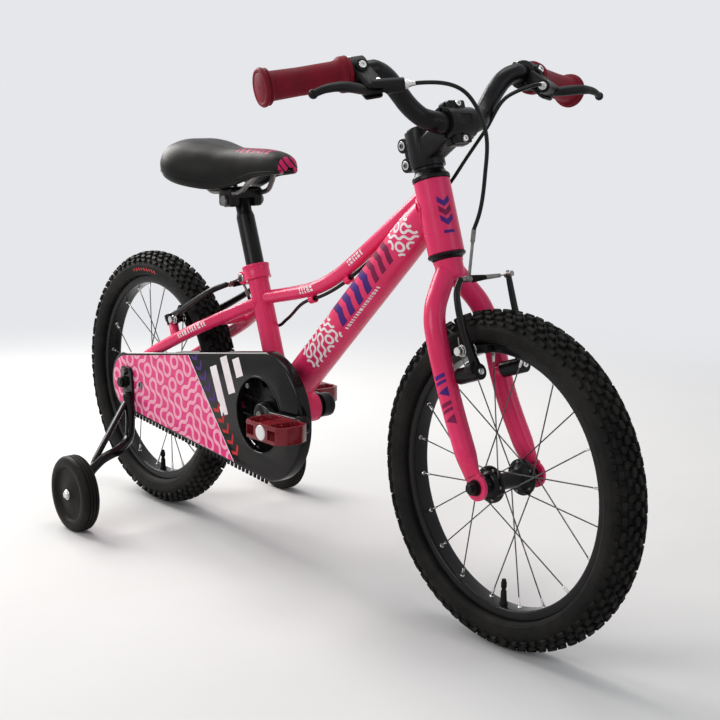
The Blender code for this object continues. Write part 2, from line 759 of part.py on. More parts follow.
def handlebar_mesh():
    side = BAR_STRAIGHT - BAR_HALF_WIDTH
    half = [from_clamp(0, -STEM_CLAMP_WIDTH / 2 - 0.002, 0),
            from_clamp(0.001, side * 0.296, 0.002),
            from_clamp(BAR_SET_BACK * 0.45, side * 0.400, BAR_RISE * 0.12),
            from_clamp(BAR_SET_BACK * 0.80, side * 0.522, BAR_RISE * 0.33),
            from_clamp(BAR_SET_BACK, side * 0.670, BAR_RISE * 0.66),
            from_clamp(BAR_SET_BACK, side * 0.817, BAR_RISE * 0.92),
            bar_bend_end() - bar_end_run() * 0.006]
    right = [*smooth_line(half, 10), bar_end()]
    left = [MIRROR_Y @ Vector(point) for point in right]
    wide = BAR_CLAMP_RADIUS / BAR_RADIUS
    scales = [wide, 1.05] + [1] * (len(right) - 2)
    return tube([*reversed(right), *left], BAR_RADIUS, 2, [*reversed(scales), *scales])


def stem_mesh():
    """Stem that clamps the steerer and carries half of the handlebar clamp."""
    top = STEM_BOTTOM + STEM_HEIGHT
    tower = rod((0, 0, STEM_BOTTOM), (0, 0, top), STEM_RADIUS, 16)
    centre = bar_centre()
    half = STEM_CLAMP_WIDTH / 2
    barrel = rod(centre + Vector((0, -half, 0)), centre + Vector((0, half, 0)),
                 STEM_CLAMP_RADIUS, 14)
    root = Vector((0, 0, STEM_BOTTOM + STEM_HEIGHT * 0.42))
    run = centre - root
    neck = block((0, -0.0165, -0.0160), (run.length, 0.0165, 0.0130), 0.0045)
    neck = moved(neck, Matrix.Translation(root)
                 @ Matrix.Rotation(-math.atan2(run.z, run.x), 4, "Y"))
    lugs = block((-STEM_RADIUS - 0.0100, -0.0125, STEM_BOTTOM + 0.003),
                 (-STEM_RADIUS + 0.008, 0.0125, top - 0.003), 0.0030)
    ears = block((centre.x - 0.011, -0.0135, centre.z - 0.0255),
                 (centre.x + 0.004, 0.0135, centre.z + 0.0255), 0.0020)
    body = joined(tower, neck, barrel, lugs, ears)
    face = centre.x + 0.0006
    return cut(body,
               rod((0, 0, 0), (0, 0, 0.3), bore_radius(STEERER_RADIUS, 14), 14),
               rod(centre + Vector((0, -0.04, 0)), centre + Vector((0, 0.04, 0)),
                   bore_radius(BAR_CLAMP_RADIUS, 12), 12),
               block((face, -0.05, centre.z - 0.05), (face + 0.06, 0.05, centre.z + 0.05)),
               block((-0.05, -0.0010, 0), (-0.010, 0.0010, 0.3)),
               block((-STEM_RADIUS - 0.02, -0.02, STEM_BOTTOM + STEM_HEIGHT / 2 - 0.003),
                     (-STEM_RADIUS - 0.004, 0.02, STEM_BOTTOM + STEM_HEIGHT / 2 + 0.003)))


def faceplate_mesh():
    """Front half of the handlebar clamp, with an ear above and below the bar."""
    centre = bar_centre()
    half = STEM_CLAMP_WIDTH / 2 - 0.002
    barrel = rod(centre + Vector((0, -half, 0)), centre + Vector((0, half, 0)),
                 STEM_CLAMP_RADIUS - 0.0005, 14)
    ears = block((centre.x - 0.002, -0.0125, centre.z - 0.0250),
                 (centre.x + 0.0085, 0.0125, centre.z + 0.0250), 0.0015)
    face = centre.x + 0.0012
    return cut(joined(barrel, ears),
               rod(centre + Vector((0, -0.04, 0)), centre + Vector((0, 0.04, 0)),
                   bore_radius(BAR_CLAMP_RADIUS, 12), 12),
               block((face - 0.06, -0.05, centre.z - 0.05), (face, 0.05, centre.z + 0.05)))


def steerer_cap_mesh():
    base = STEM_BOTTOM + STEM_HEIGHT + CLEARANCE
    profile = [(0, base + 0.0040), (0.0150, base + 0.0040), (0.0175, base + 0.0020),
               (0.0175, base), (0, base)]
    return turned(profile, 16, closed=False)


def bar_end_frame():
    """Frame on the bar's right-hand end: Z outward along the bar, X forward and down."""
    run = bar_end_run()
    level_down = STEERING_TURN.to_3x3().inverted() @ Vector(
        (math.cos(LEVER_TILT), 0, -math.sin(LEVER_TILT)))
    forward = (level_down - run * level_down.dot(run)).normalized()
    matrix = Matrix.Identity(4)
    matrix.col[0][:3] = forward
    matrix.col[1][:3] = run.cross(forward)
    matrix.col[2][:3] = run
    matrix.translation = bar_end()
    return matrix


def grip_mesh():
    """Soft grip closed at its outer end, with a flange at each end."""
    bore = bore_radius(BAR_RADIUS, 14)
    cap = GRIP_WALL + CLEARANCE
    inner = cap - GRIP_LENGTH
    profile = [(0, cap), (GRIP_FLANGE_RADIUS - 0.003, cap), (GRIP_FLANGE_RADIUS, cap - 0.003),
               (GRIP_FLANGE_RADIUS, cap - 0.0070), (GRIP_RADIUS, cap - 0.0110),
               (GRIP_RADIUS, inner + 0.0110), (GRIP_FLANGE_RADIUS - 0.0010, inner + 0.0070),
               (GRIP_FLANGE_RADIUS - 0.0010, inner), (bore, inner), (bore, CLEARANCE),
               (0, CLEARANCE)]
    return turned(profile, 14, closed=False)


def lever_ring_z():
    """Middle of the brake lever's clamp ring, inboard of the grip."""
    return GRIP_WALL - GRIP_LENGTH - 0.0010 - LEVER_CLAMP_WIDTH / 2


def lever_pivot():
    return Vector((LEVER_REACH, 0, lever_ring_z() - LEVER_PIVOT_INBOARD))


def lever_bracket_mesh():
    """Clamp ring, body and cable barrel of the brake lever, in the bar-end frame."""
    middle = lever_ring_z()
    low, high = middle - LEVER_CLAMP_WIDTH / 2, middle + LEVER_CLAMP_WIDTH / 2
    ring = rod((0, 0, low), (0, 0, high), LEVER_CLAMP_RADIUS, 12)
    pivot = lever_pivot()
    body = block((0.008, -0.0075, low - 0.004), (pivot.x + 0.0075, 0.0075, high), 0.0025)
    barrel = rod(*barrel_line(), 0.0080, 10, 0.0062)
    lug = block((-LEVER_CLAMP_RADIUS - 0.006, -0.0060, low + 0.003),
                (-LEVER_CLAMP_RADIUS + 0.006, 0.0060, high - 0.003), 0.0015)
    solid = joined(ring, body, barrel, lug)
    gap = 0.0032 + CLEARANCE
    return cut(solid,
               rod((0, 0, low - 0.03), (0, 0, high + 0.03), bore_radius(BAR_RADIUS, 12), 12),
               block((pivot.x - 0.0110, -gap, low - 0.0100), (pivot.x + 0.02, gap, high + 0.01)),
               block((-0.04, -0.0008, low - 0.01), (-0.008, 0.0008, high + 0.01)))


def lever_mesh():
    """Lever blade with its ball end, origin at the pivot, swung along the grip."""
    reach = GRIP_LENGTH - 0.012
    route = [(0.0010, 0, 0.0185), (0.0030, 0, 0.032), (0.0035, 0, 0.048),
             (0.0010, 0, 0.066), (0.0020, 0, reach - 0.012), (0.0080, 0, reach)]
    line = smooth_line(route, 8)
    blade = tube(line, LEVER_BLADE_RADIUS, 1,
                 smooth_scales([0.70, 1.0, 1.0, 0.9, 0.75, 0.72], route, 8))
    blade = moved(blade, Matrix.Scale(0.80, 4, (0, 1, 0)))
    bm = bmesh.new()
    bmesh.ops.create_uvsphere(bm, u_segments=8, v_segments=6, radius=0.0066)
    ball = moved(mesh_of(bm), Matrix.Translation(line[-1]))
    tongue = block((-0.0060, -0.0031, -0.0050), (0.0062, 0.0031, 0.0240))
    return cut(joined(tongue, blade, ball), rod((0, -0.02, 0), (0, 0.02, 0), 0.0022, 8))


# Wheels

def tyre_mesh():
    """Open-bottomed tyre casing whose beads sit inside the rim."""
    bead = RIM_RADIUS - RIM_DEPTH + RIM_WALL + 0.0008
    side = RIM_WIDTH / 2 - RIM_WALL - CLEARANCE
    half = TYRE_WIDTH / 2
    outer = [(bead, side), (RIM_RADIUS + 0.0006, side), (RIM_RADIUS + 0.0170, half),
             (TYRE_RADIUS - 0.0090, half * 0.90), (TYRE_RADIUS, half * 0.42)]
    inner = [(bead, side - 0.0018), (RIM_RADIUS + 0.0010, side - 0.0018),
             (TYRE_RADIUS - 0.0200, half - 0.0045)]
    profile = (outer + [(r, -h) for r, h in reversed(outer)]
               + [(r, -h) for r, h in inner] + [(r, h) for r, h in reversed(inner)])
    return turned(profile, WHEEL_STEPS, phase=math.pi / WHEEL_STEPS)


def rim_mesh():
    half = RIM_WIDTH / 2
    bed = RIM_RADIUS - RIM_DEPTH
    profile = [(RIM_RADIUS, half), (bed, half - 0.0004), (bed, -half + 0.0004), (RIM_RADIUS, -half),
               (RIM_RADIUS, -half + RIM_WALL), (bed + RIM_WALL, -half + RIM_WALL),
               (bed + RIM_WALL, half - RIM_WALL), (RIM_RADIUS, half - RIM_WALL)]
    return turned(profile, WHEEL_STEPS, phase=math.pi / WHEEL_STEPS)


def spoke_meshes(right_flange, left_flange):
    """Tangent spokes, ten a side, laced in two directions from each flange."""
    spokes = []
    inner = (RIM_RADIUS - RIM_DEPTH) * math.cos(math.pi / WHEEL_STEPS) - CLEARANCE
    for side, flange in ((-1, right_flange), (1, left_flange)):
        for index in range(SPOKES_A_SIDE):
            hole = 2 * math.pi * index / SPOKES_A_SIDE
            turn = SPOKE_SWEEP if index % 2 else -SPOKE_SWEEP
            turn *= side
            outset = 0.0008 if index % 2 else -0.0008
            start = Vector((0.0178 * math.cos(hole), 0.0178 * math.sin(hole),
                            side * (flange + outset)))
            end = Vector((inner * math.cos(hole + turn), inner * math.sin(hole + turn),
                          side * 0.0030))
            spokes.append(rod(start, end, SPOKE_RADIUS, 3))
    return spokes


def hub_mesh(right_flange, left_flange, half_length):
    """Hub shell with two flanges and its spokes, bored for the axle."""
    bore = bore_radius(AXLE_RADIUS, 12)
    t = HUB_FLANGE_THICKNESS / 2
    right, left = right_flange, left_flange
    end = half_length - CLEARANCE
    profile = [(bore, end), (HUB_END_RADIUS, end), (HUB_END_RADIUS, left + 0.0060),
               (0.0140, left + t), (HUB_FLANGE_RADIUS, left + t), (HUB_FLANGE_RADIUS, left - t),
               (HUB_BARREL_RADIUS, left - t), (HUB_BARREL_RADIUS, t - right),
               (HUB_FLANGE_RADIUS, t - right), (HUB_FLANGE_RADIUS, -right - t),
               (0.0140, -right - t), (HUB_END_RADIUS, -right - 0.0060),
               (HUB_END_RADIUS, -end), (bore, -end)]
    return joined(turned(profile, 12), *spoke_meshes(right_flange, left_flange))


def axle_mesh(half_length, nut_start):
    """Axle with a nut on each end."""
    nut_end = nut_start + NUT_THICKNESS
    half = [(AXLE_RADIUS, nut_start), (NUT_RADIUS, nut_start), (NUT_RADIUS, nut_end),
            (AXLE_RADIUS, nut_end), (AXLE_RADIUS, half_length), (0, half_length)]
    profile = half[::-1] + [(r, -h) for r, h in half]
    return turned(profile, 8, closed=False)


def valve_mesh():
    """Valve stem standing inward from the lowest point of the rim, between two spokes."""
    outer = (RIM_RADIUS - RIM_DEPTH) * math.cos(math.pi / WHEEL_STEPS) - CLEARANCE
    profile = [(0, outer - VALVE_LENGTH), (VALVE_RADIUS - 0.0006, outer - VALVE_LENGTH),
               (VALVE_RADIUS, outer - 0.0120), (VALVE_RADIUS + 0.0014, outer), (0, outer)]
    mesh = turned(profile, 8, closed=False)
    return moved(mesh, Matrix.Rotation(-math.pi / 2, 4, "X"))


# Drive

def pitch_radius(teeth):
    return CHAIN_PITCH / (2 * math.sin(math.pi / teeth))


def toothed_outline(teeth, phase):
    """Teeth centred between the chain's rollers; a roller sits at the phase angle."""
    pitch = pitch_radius(teeth)
    root, tip = pitch - TOOTH_DEPTH, pitch + TOOTH_HEIGHT
    base, top = TOOTH_ROOT_HALF / root, TOOTH_TIP_HALF / tip
    step = 2 * math.pi / teeth
    outline = []
    for index in range(teeth):
        middle = phase + (index + 0.5) * step
        outline += [(root, middle - base), (tip, middle - top),
                    (tip, middle + top), (root, middle + base)]
    return [(radius * math.cos(a), radius * math.sin(a)) for radius, a in outline]


def chain_path():
    """Pin positions (x, z) round both sprockets, starting on top of the chainring."""
    front, rear = BRACKET.xz, REAR_AXLE.xz
    big, small = pitch_radius(CHAINRING_TEETH), pitch_radius(SPROCKET_TEETH)
    run = front - rear
    slope = math.atan2(run.y, run.x)
    lift = math.acos((big - small) / run.length)
    top, bottom = slope + math.pi - lift, slope + math.pi + lift
    dense = []
    for x, z in arc(rear, small, top, bottom, 40):
        dense.append(Vector((x, z)))
    start = dense[-1].copy()
    finish = Vector(arc(front, big, bottom, bottom, 1)[0])
    for step in range(1, 60):
        t = step / 60
        point = start.lerp(finish, t)
        point.y -= CHAIN_SAG * 4 * t * (1 - t)
        dense.append(point)
    for x, z in arc(front, big, bottom, top + 2 * math.pi, 80):
        dense.append(Vector((x, z)))
    dense.append(dense[0].copy())
    lengths = [0.0]
    for a, b in zip(dense, dense[1:]):
        lengths.append(lengths[-1] + (b - a).length)
    count = 2 * round(lengths[-1] / CHAIN_PITCH / 2)
    pins = []
    place = 0
    for index in range(count):
        target = lengths[-1] * index / count
        while lengths[place + 1] < target:
            place += 1
        t = (target - lengths[place]) / (lengths[place + 1] - lengths[place])
        pins.append(dense[place].lerp(dense[place + 1], t))
    return pins


def roller_phase(centre, teeth):
    """Mean angle, within one tooth, of the chain's rollers that lie on a sprocket."""
    step = 2 * math.pi / teeth
    pitch = pitch_radius(teeth)
    total = Vector((0, 0))
    for pin in chain_path():
        arm = pin - centre.xz
        if abs(arm.length - pitch) < 0.0004:
            angle = math.atan2(arm.y, arm.x) * teeth
            total += Vector((math.cos(angle), math.sin(angle)))
    return math.atan2(total.y, total.x) / teeth % step


def chain_mesh():
    """Ladder of rollers between side plates that step in and out at every other link."""
    pins = chain_path()
    count = len(pins)
    bm = bmesh.new()
    stations = []
    for index, pin in enumerate(pins):
        run = (pins[(index + 1) % count] - pins[index - 1]).normalized()
        rise = Vector((-run.y, run.x)) * CHAIN_HALF_HEIGHT
        before, after = pin - run * ROLLER_HALF_LENGTH, pin + run * ROLLER_HALF_LENGTH
        wide = (CHAIN_OUTER_PLATE, CHAIN_INNER_PLATE)
        order = wide if index % 2 else wide[::-1]
        for spot, y in ((before, order[0]), (after, order[1])):
            rails = []
            for side in (-1, 1):
                ring = []
                for offset, lift in ((y, rise), (y, -rise),
                                     (y + CHAIN_PLATE_THICKNESS, -rise),
                                     (y + CHAIN_PLATE_THICKNESS, rise)):
                    corner = spot + lift
                    ring.append(bm.verts.new((corner.x, side * offset - CHAINLINE, corner.y)))
                rails.append(ring)
            stations.append(rails)
    total = len(stations)
    for index in range(total):
        here, there = stations[index], stations[(index + 1) % total]
        at_roller = index % 2 == 0
        for side in (0, 1):
            for corner in range(4):
                if at_roller and corner == 0:
                    continue
                other = (corner + 1) % 4
                bm.faces.new((here[side][corner], here[side][other],
                              there[side][other], there[side][corner]))
        if at_roller:
            for corner in (0, 1):
                bm.faces.new((here[0][corner], there[0][corner],
                              there[1][corner], here[1][corner]))
            bm.faces.new((here[0][0], here[0][1], here[1][1], here[1][0]))
            bm.faces.new((there[0][0], there[0][1], there[1][1], there[1][0]))
    return mesh_of(bm)


def chainring_mesh():
    """Toothed ring with five windows, drawn round the crank's axis."""
    phase = roller_phase(BRACKET, CHAINRING_TEETH)
    windows = []
    for index in range(5):
        middle = 2 * math.pi * (index + 0.5) / 5
        outer = arc((0, 0), 0.0520, middle - 0.42, middle + 0.42, 3)
        inner = arc((0, 0), 0.0290, middle + 0.30, middle - 0.30, 1)
        windows.append(outer + inner)
    hole = circle((0, 0), bore_radius(SPINDLE_RADIUS, 12), 12)
    return upright(plate(toothed_outline(CHAINRING_TEETH, phase), TOOTH_THICKNESS,
                         [hole, *windows]), -CHAINLINE)


def sprocket_mesh():
    """Freewheel: toothed ring on a thicker body, bored to clear the hub."""
    phase = roller_phase(REAR_AXLE, SPROCKET_TEETH)
    bore = bore_radius(HUB_END_RADIUS, 14)
    teeth = upright(plate(toothed_outline(SPROCKET_TEETH, phase), TOOTH_THICKNESS,
                          [circle((0, 0), 0.0150, 12)]), -CHAINLINE)
    inner = -REAR_FLANGE_RIGHT_Y - 0.0075
    body = turned([(bore, inner), (0.0235, inner), (0.0235, -CHAINLINE - 0.0035),
                   (bore, -CHAINLINE - 0.0035)], 14)
    return joined(sideways(body, (0, 0, 0)), teeth)


def crank_arm_mesh():
    """Right crank arm along +X, stepping outward past the chain guard."""
    inner = CHAINLINE + TOOTH_THICKNESS / 2 + CLEARANCE
    outer = inner + CRANK_BOSS_WIDTH
    half = CRANK_ARM_THICKNESS / 2
    near, far = outer - half, outer - half + CRANK_ARM_OUTSET
    knee = CRANK_LENGTH * 0.42
    boss = rod((0, -inner, 0), (0, -outer, 0), CRANK_BOSS_RADIUS, 14)
    outline = [(0.0, -near - half), (0.010, -near - half), (knee, -far - half),
               (CRANK_LENGTH + 0.002, -far - half), (CRANK_LENGTH + 0.002, -far + half),
               (knee, -far + half), (0.010, -near + half), (0.0, -near + half)]
    arm = plate(outline, 0.024)
    taper = 0.42 / CRANK_LENGTH
    for vertex in arm.vertices:
        vertex.co.z *= 1 - vertex.co.x * taper
    end = rod((CRANK_LENGTH, -far + half, 0), (CRANK_LENGTH, -far - half, 0), 0.0120, 12)
    bore = rod((0, 0, 0), (0, -0.2, 0), bore_radius(SPINDLE_RADIUS, 12), 12)
    return cut(joined(boss, arm, end), bore)


def crank_face_y():
    """Distance of the crank arm's outer face from the middle plane."""
    inner = CHAINLINE + TOOTH_THICKNESS / 2 + CLEARANCE
    return inner + CRANK_BOSS_WIDTH + CRANK_ARM_OUTSET


def crank_spindle_mesh():
    end = CHAINLINE + TOOTH_THICKNESS / 2 + CRANK_BOSS_WIDTH - 0.0010
    return rod((0, -end, 0), (0, end, 0), SPINDLE_RADIUS, 12)


def pedal_spindle_mesh():
    """Right pedal's spindle, from the crank's outer face outward."""
    start = crank_face_y() + CLEARANCE
    profile = [(0, -start), (0.0095, -start), (0.0085, -start - 0.0075),
               (PEDAL_SPINDLE_RADIUS, -start - 0.0075),
               (PEDAL_SPINDLE_RADIUS, -start - 0.0500), (0, -start - 0.0500)]
    return sideways(turned(profile, 10, closed=False), (0, 0, 0))


def pedal_mesh():
    """Moulded pedal with a bored barrel, four cross ribs and open windows."""
    inner = crank_face_y() + PEDAL_OFFSET
    middle = inner + PEDAL_WIDTH / 2
    long, wide, high = PEDAL_LENGTH / 2, PEDAL_WIDTH / 2, PEDAL_HEIGHT / 2
    outline = [(-long, -wide * 0.55), (-long * 0.86, -wide), (long * 0.86, -wide),
               (long, -wide * 0.55), (long, wide * 0.55), (long * 0.86, wide),
               (-long * 0.86, wide), (-long, wide * 0.55)]
    windows = []
    for side in (-1, 1):
        windows.append([(side * x, y) for x, y in (
            (0.0115, -wide + 0.0055), (0.0210, -wide + 0.0055), (0.0210, wide - 0.0055),
            (0.0115, wide - 0.0055))])
        windows.append([(side * x, y) for x, y in (
            (0.0245, -wide + 0.0055), (0.0320, -wide + 0.0055), (0.0355, -wide * 0.45),
            (0.0355, wide * 0.45), (0.0320, wide - 0.0055), (0.0245, wide - 0.0055))])
    frame = plate(outline, PEDAL_HEIGHT, windows)
    barrel = rod((0, -wide, 0), (0, wide, 0), 0.0128, 12)
    solid = joined(frame, barrel)
    bore = rod((0, wide + 0.01, 0), (0, -wide + 0.0040, 0),
               bore_radius(PEDAL_SPINDLE_RADIUS, 10), 10)
    return moved(cut(solid, bore), Matrix.Translation((0, -middle, 0)))


def guard_line(inset):
    """Outline round the chainring and the rear sprocket, drawn in (x, z)."""
    front = BRACKET.xz + Vector((GUARD_FRONT_OFFSET, 0))
    rear = REAR_AXLE.xz
    big, small = GUARD_FRONT_RADIUS - inset, GUARD_REAR_RADIUS - inset
    run = front - rear
    slope = math.atan2(run.y, run.x)
    lift = math.acos((big - small) / run.length)
    return (arc(rear, small, slope + lift, slope + 2 * math.pi - lift, 8)
            + arc(front, big, slope - lift, slope + lift, 16))


def chain_guard_mesh():
    """Dished cover with a turned-in wall, a round opening and a hole for the axle."""
    face = -GUARD_FACE_Y
    solid = upright(plate(guard_line(0), GUARD_DEPTH), face + GUARD_DEPTH / 2)
    pocket = upright(plate(guard_line(GUARD_WALL), GUARD_DEPTH), face + GUARD_WALL
                     + GUARD_DEPTH / 2)
    back = block((-1, face + GUARD_WALL, 0), (GUARD_DEEP_END_X, face + GUARD_DEPTH + 0.01, 1))
    opening = rod((BRACKET.x, face - 0.01, BRACKET.z), (BRACKET.x, 0, BRACKET.z),
                  GUARD_OPENING_RADIUS, 24)
    axle = rod((REAR_AXLE.x, face - 0.01, AXLE_HEIGHT), (REAR_AXLE.x, 0, AXLE_HEIGHT),
               GUARD_AXLE_HOLE, 12)
    return cut(solid, pocket, back, opening, axle)


# Brakes

def brake_arm_mesh(length):
    """Curved arm in the YZ plane, bored for its post, bowed toward -Y."""
    right = [(0.0100, 0.0), (0.0110, 0.012), (0.0150, length * 0.36), (0.0150, length * 0.56),
             (0.0100, length * 0.80), (0.0030, length), (-0.0015, length + 0.004),
             (-0.0070, length), (-0.0010, length * 0.78), (0.0030, length * 0.56),
             (0.0, length * 0.40), (0.0, 0.018), (-0.0100, 0.0)]
    outline = right + arc((0, 0), 0.0100, math.pi * 1.125, math.pi * 1.875, 5)
    mesh = plate([(-y, z) for y, z in outline], BRAKE_ARM_THICKNESS)
    stand = Matrix(((0, 0, 1, 0), (1, 0, 0, 0), (0, 1, 0, 0), (0, 0, 0, 1)))
    bore = rod((-0.05, 0, 0), (0.05, 0, 0), bore_radius(BRAKE_POST_RADIUS, 10), 10)
    return cut(moved(mesh, stand), bore)


def brake_pad_mesh(forward):
    """Curved pad beside the rim with the post that holds it against the arm."""
    rim_face = BRAKE_PIVOT_Y - RIM_WIDTH / 2 - PAD_GAP
    inner, outer = BRAKE_PAD_RADIUS - 0.0048, BRAKE_PAD_RADIUS + 0.0042
    lean = math.pi / 2 - math.asin(forward / BRAKE_PAD_RADIUS)
    axle = (-forward, BRAKE_PAD_RISE - math.sqrt(BRAKE_PAD_RADIUS ** 2 - forward ** 2))
    outline = (arc(axle, outer, lean - PAD_SWEEP, lean + PAD_SWEEP, 5)
               + arc(axle, inner, lean + PAD_SWEEP, lean - PAD_SWEEP, 5))
    middle = rim_face - PAD_THICKNESS / 2
    pad = upright(plate(outline, PAD_THICKNESS), middle)
    post = rod((0, rim_face - PAD_THICKNESS + 0.002, BRAKE_PAD_RISE),
               (0, CLEARANCE, BRAKE_PAD_RISE), 0.0042, 10)
    return joined(pad, post)


# Training wheels

def training_wheel_centre():
    height = TRAINING_WHEEL_RADIUS * math.cos(math.pi / TRAINING_WHEEL_STEPS)
    return Vector((REAR_AXLE.x + TRAINING_WHEEL_FORWARD, -TRAINING_WHEEL_Y, height))


def training_wheel_mesh():
    half = TRAINING_WHEEL_WIDTH / 2
    r = TRAINING_WHEEL_RADIUS
    side = [(bore_radius(AXLE_RADIUS, TRAINING_WHEEL_STEPS), half - 0.0010), (0.0140, half - 0.0010),
            (0.0170, half - 0.0050), (r - 0.0150, half - 0.0045), (r - 0.0115, half),
            (r, half - 0.0012)]
    profile = side + [(a, -b) for a, b in reversed(side)]
    return turned(profile, TRAINING_WHEEL_STEPS, phase=math.pi / TRAINING_WHEEL_STEPS)


def bracket_plate_y():
    """Middle of the training bracket's plate, just outside the chain guard."""
    return GUARD_FACE_Y + CLEARANCE + TRAINING_PLATE_THICKNESS / 2


def training_bracket_mesh():
    """Plate on the rear axle, bent bar and brace that carry the right training wheel."""
    y = bracket_plate_y()
    centre = training_wheel_centre()
    eye_near = centre.y + TRAINING_WHEEL_WIDTH / 2 + TRAINING_EYE_GAP
    eye_far = eye_near + TRAINING_EYE_WIDTH
    foot = (eye_near + eye_far) / 2
    outline = [(-0.0110, 0.0170), (-0.0070, 0.0240), (0.0170, 0.0240), (0.0210, 0.0180),
               (0.0240, -0.0200), (0.0220, -0.0340), (0.0060, -0.0340), (-0.0060, -0.0160)]
    mesh = upright(plate(outline, TRAINING_PLATE_THICKNESS), -y)
    mesh = moved(mesh, Matrix.Translation(REAR_AXLE))
    spacer = rod((REAR_AXLE.x, -REAR_SPACING / 2 - DROPOUT_THICKNESS - CLEARANCE, AXLE_HEIGHT),
                 (REAR_AXLE.x, -y, AXLE_HEIGHT), 0.0095, 12)
    out = -GUARD_FACE_Y - 2 * CLEARANCE - TRAINING_BAR_RADIUS
    start = Vector((REAR_AXLE.x + 0.0150, out, AXLE_HEIGHT - 0.0200))
    bar = tube(smooth_line([
        start, start + Vector((0.0080, -0.0005, -0.0330)),
        start + Vector((0.0150, -0.0080, -0.0600)),
        (centre.x - 0.010, out - 0.0350, centre.z + 0.0520),
        (centre.x, foot + 0.0200, centre.z + 0.0400),
        (centre.x, foot + 0.0020, centre.z + 0.0220),
        (centre.x, foot, centre.z)], 11), TRAINING_BAR_RADIUS, 2)
    brace = rod(start + Vector((-0.0030, 0.0, -0.0060)),
                (centre.x - 0.0030, foot + 0.0120, centre.z + 0.0390), 0.0042, 6)
    eye = rod((centre.x, eye_near, centre.z), (centre.x, eye_far, centre.z), 0.0100, 10)
    solid = joined(mesh, spacer, bar, brace, eye)
    bore = bore_radius(AXLE_RADIUS, 10)
    axle_bore = rod((REAR_AXLE.x, 0, AXLE_HEIGHT), (REAR_AXLE.x, -0.1, AXLE_HEIGHT), bore, 10)
    wheel_bore = rod(centre + Vector((0, -0.03, 0)), centre + Vector((0, 0.04, 0)), bore, 10)
    return cut(solid, axle_bore, wheel_bore)


def training_axle_mesh():
    """Bolt through the right training wheel with its head outside and nut inside."""
    half = TRAINING_WHEEL_WIDTH / 2
    head = -half + 0.0010 - CLEARANCE
    nut = half + TRAINING_EYE_GAP + TRAINING_EYE_WIDTH + CLEARANCE
    profile = [(0, head - 0.0050), (0.0080, head - 0.0050), (0.0080, head),
               (AXLE_RADIUS, head), (AXLE_RADIUS, nut), (0.0078, nut),
               (0.0078, nut + 0.0055), (0, nut + 0.0055)]
    return sideways(turned(profile, 8, closed=False), (0, 0, 0))


# Saddle and seat post

def seat_post_mesh():
    """Hollow post in the seat tube's frame, with a cross bar that the saddle tilts on."""
    top, low = POST_LENGTH - POST_INSERTION, -POST_INSERTION
    inner = POST_RADIUS - POST_WALL
    neck = POST_RADIUS - 0.0030
    profile = [(0, top), (neck - 0.0010, top), (neck, top - 0.0010), (neck, top - 0.0240),
               (POST_RADIUS, top - 0.0300), (POST_RADIUS, low), (inner, low),
               (inner, top - 0.0400), (0, top - 0.0400)]
    half = RAIL_HALF_SPACING + 0.0120
    bar = rod((0, -half, top - SADDLE_BAR_DROP), (0, half, top - SADDLE_BAR_DROP),
              SADDLE_BAR_RADIUS, 10)
    return joined(turned(profile, 14, closed=False), bar)


def saddle_stations():
    """Cross sections from nose to tail: x, half width, crown height, edge height."""
    pivot = saddle_pivot()
    shares = [(0.0000, 0.116, 0.693, 0.546), (0.0265, 0.239, 0.778, 0.503),
              (0.1098, 0.312, 0.846, 0.490), (0.2424, 0.355, 0.877, 0.496),
              (0.3939, 0.449, 0.877, 0.472), (0.5265, 0.638, 0.883, 0.386),
              (0.6591, 0.870, 0.938, 0.263), (0.7917, 1.000, 1.000, 0.189),
              (0.8939, 0.928, 1.000, 0.226), (0.9621, 0.696, 0.938, 0.312),
              (1.0000, 0.377, 0.803, 0.459)]
    return [(pivot.x + SADDLE_NOSE_REACH - SADDLE_LENGTH * back, SADDLE_HALF_WIDTH * wide,
             pivot.z + SADDLE_HEIGHT * crown, pivot.z + SADDLE_HEIGHT * edge)
            for back, wide, crown, edge in shares]


def recess_height(crown, edge):
    """Height of the recess under the cover, which the pan fills."""
    return edge + (crown - edge) * SADDLE_RECESS


def pan_floor(x):
    """Height of the pan's underside at x."""
    stations = saddle_stations()
    for (x0, _, crown0, edge0), (x1, _, crown1, edge1) in zip(stations, stations[1:]):
        if x1 <= x <= x0:
            t = (x - x0) / (x1 - x0)
            low, high = recess_height(crown0, edge0), recess_height(crown1, edge1)
            return low + (high - low) * t - CLEARANCE - PAN_THICKNESS
    return 0


def loft(rings):
    """Closed solid through rings of points with the same count."""
    bm = bmesh.new()
    loops = [[bm.verts.new(point) for point in ring] for ring in rings]
    for here, there in zip(loops, loops[1:]):
        for index in range(len(here)):
            other = (index + 1) % len(here)
            bm.faces.new((here[index], here[other], there[other], there[index]))
    bm.faces.new(loops[0][::-1])
    bm.faces.new(loops[-1])
    return mesh_of(bm)


def saddle_cover_mesh():
    """Padded cover, crowned across, narrow at the nose and hollowed underneath."""
    rings = []
    for x, wide, crown, edge in saddle_stations():
        deep = crown - edge
        ceiling = recess_height(crown, edge)
        right = [(x, wide * 0.55, edge + deep * 0.93), (x, wide * 0.88, edge + deep * 0.72),
                 (x, wide, edge + deep * 0.32), (x, wide * 0.90, edge),
                 (x, wide * 0.70, edge), (x, wide * 0.62, ceiling)]
        left = [(x, -y, z) for x, y, z in reversed(right)]
        rings.append([(x, 0, crown), *right, *left])
    return loft(rings)


def saddle_base_mesh():
    """Moulded pan that fills the top of the recess under the cover."""
    rings = []
    for x, wide, crown, edge in saddle_stations()[1:-1]:
        top = recess_height(crown, edge) - CLEARANCE
        low = top - PAN_THICKNESS
        upper, lower = wide * 0.62 - CLEARANCE, wide * 0.55 - CLEARANCE
        rings.append([(x, upper, top), (x, -upper, top), (x, -lower, low), (x, lower, low)])
    return loft(rings)


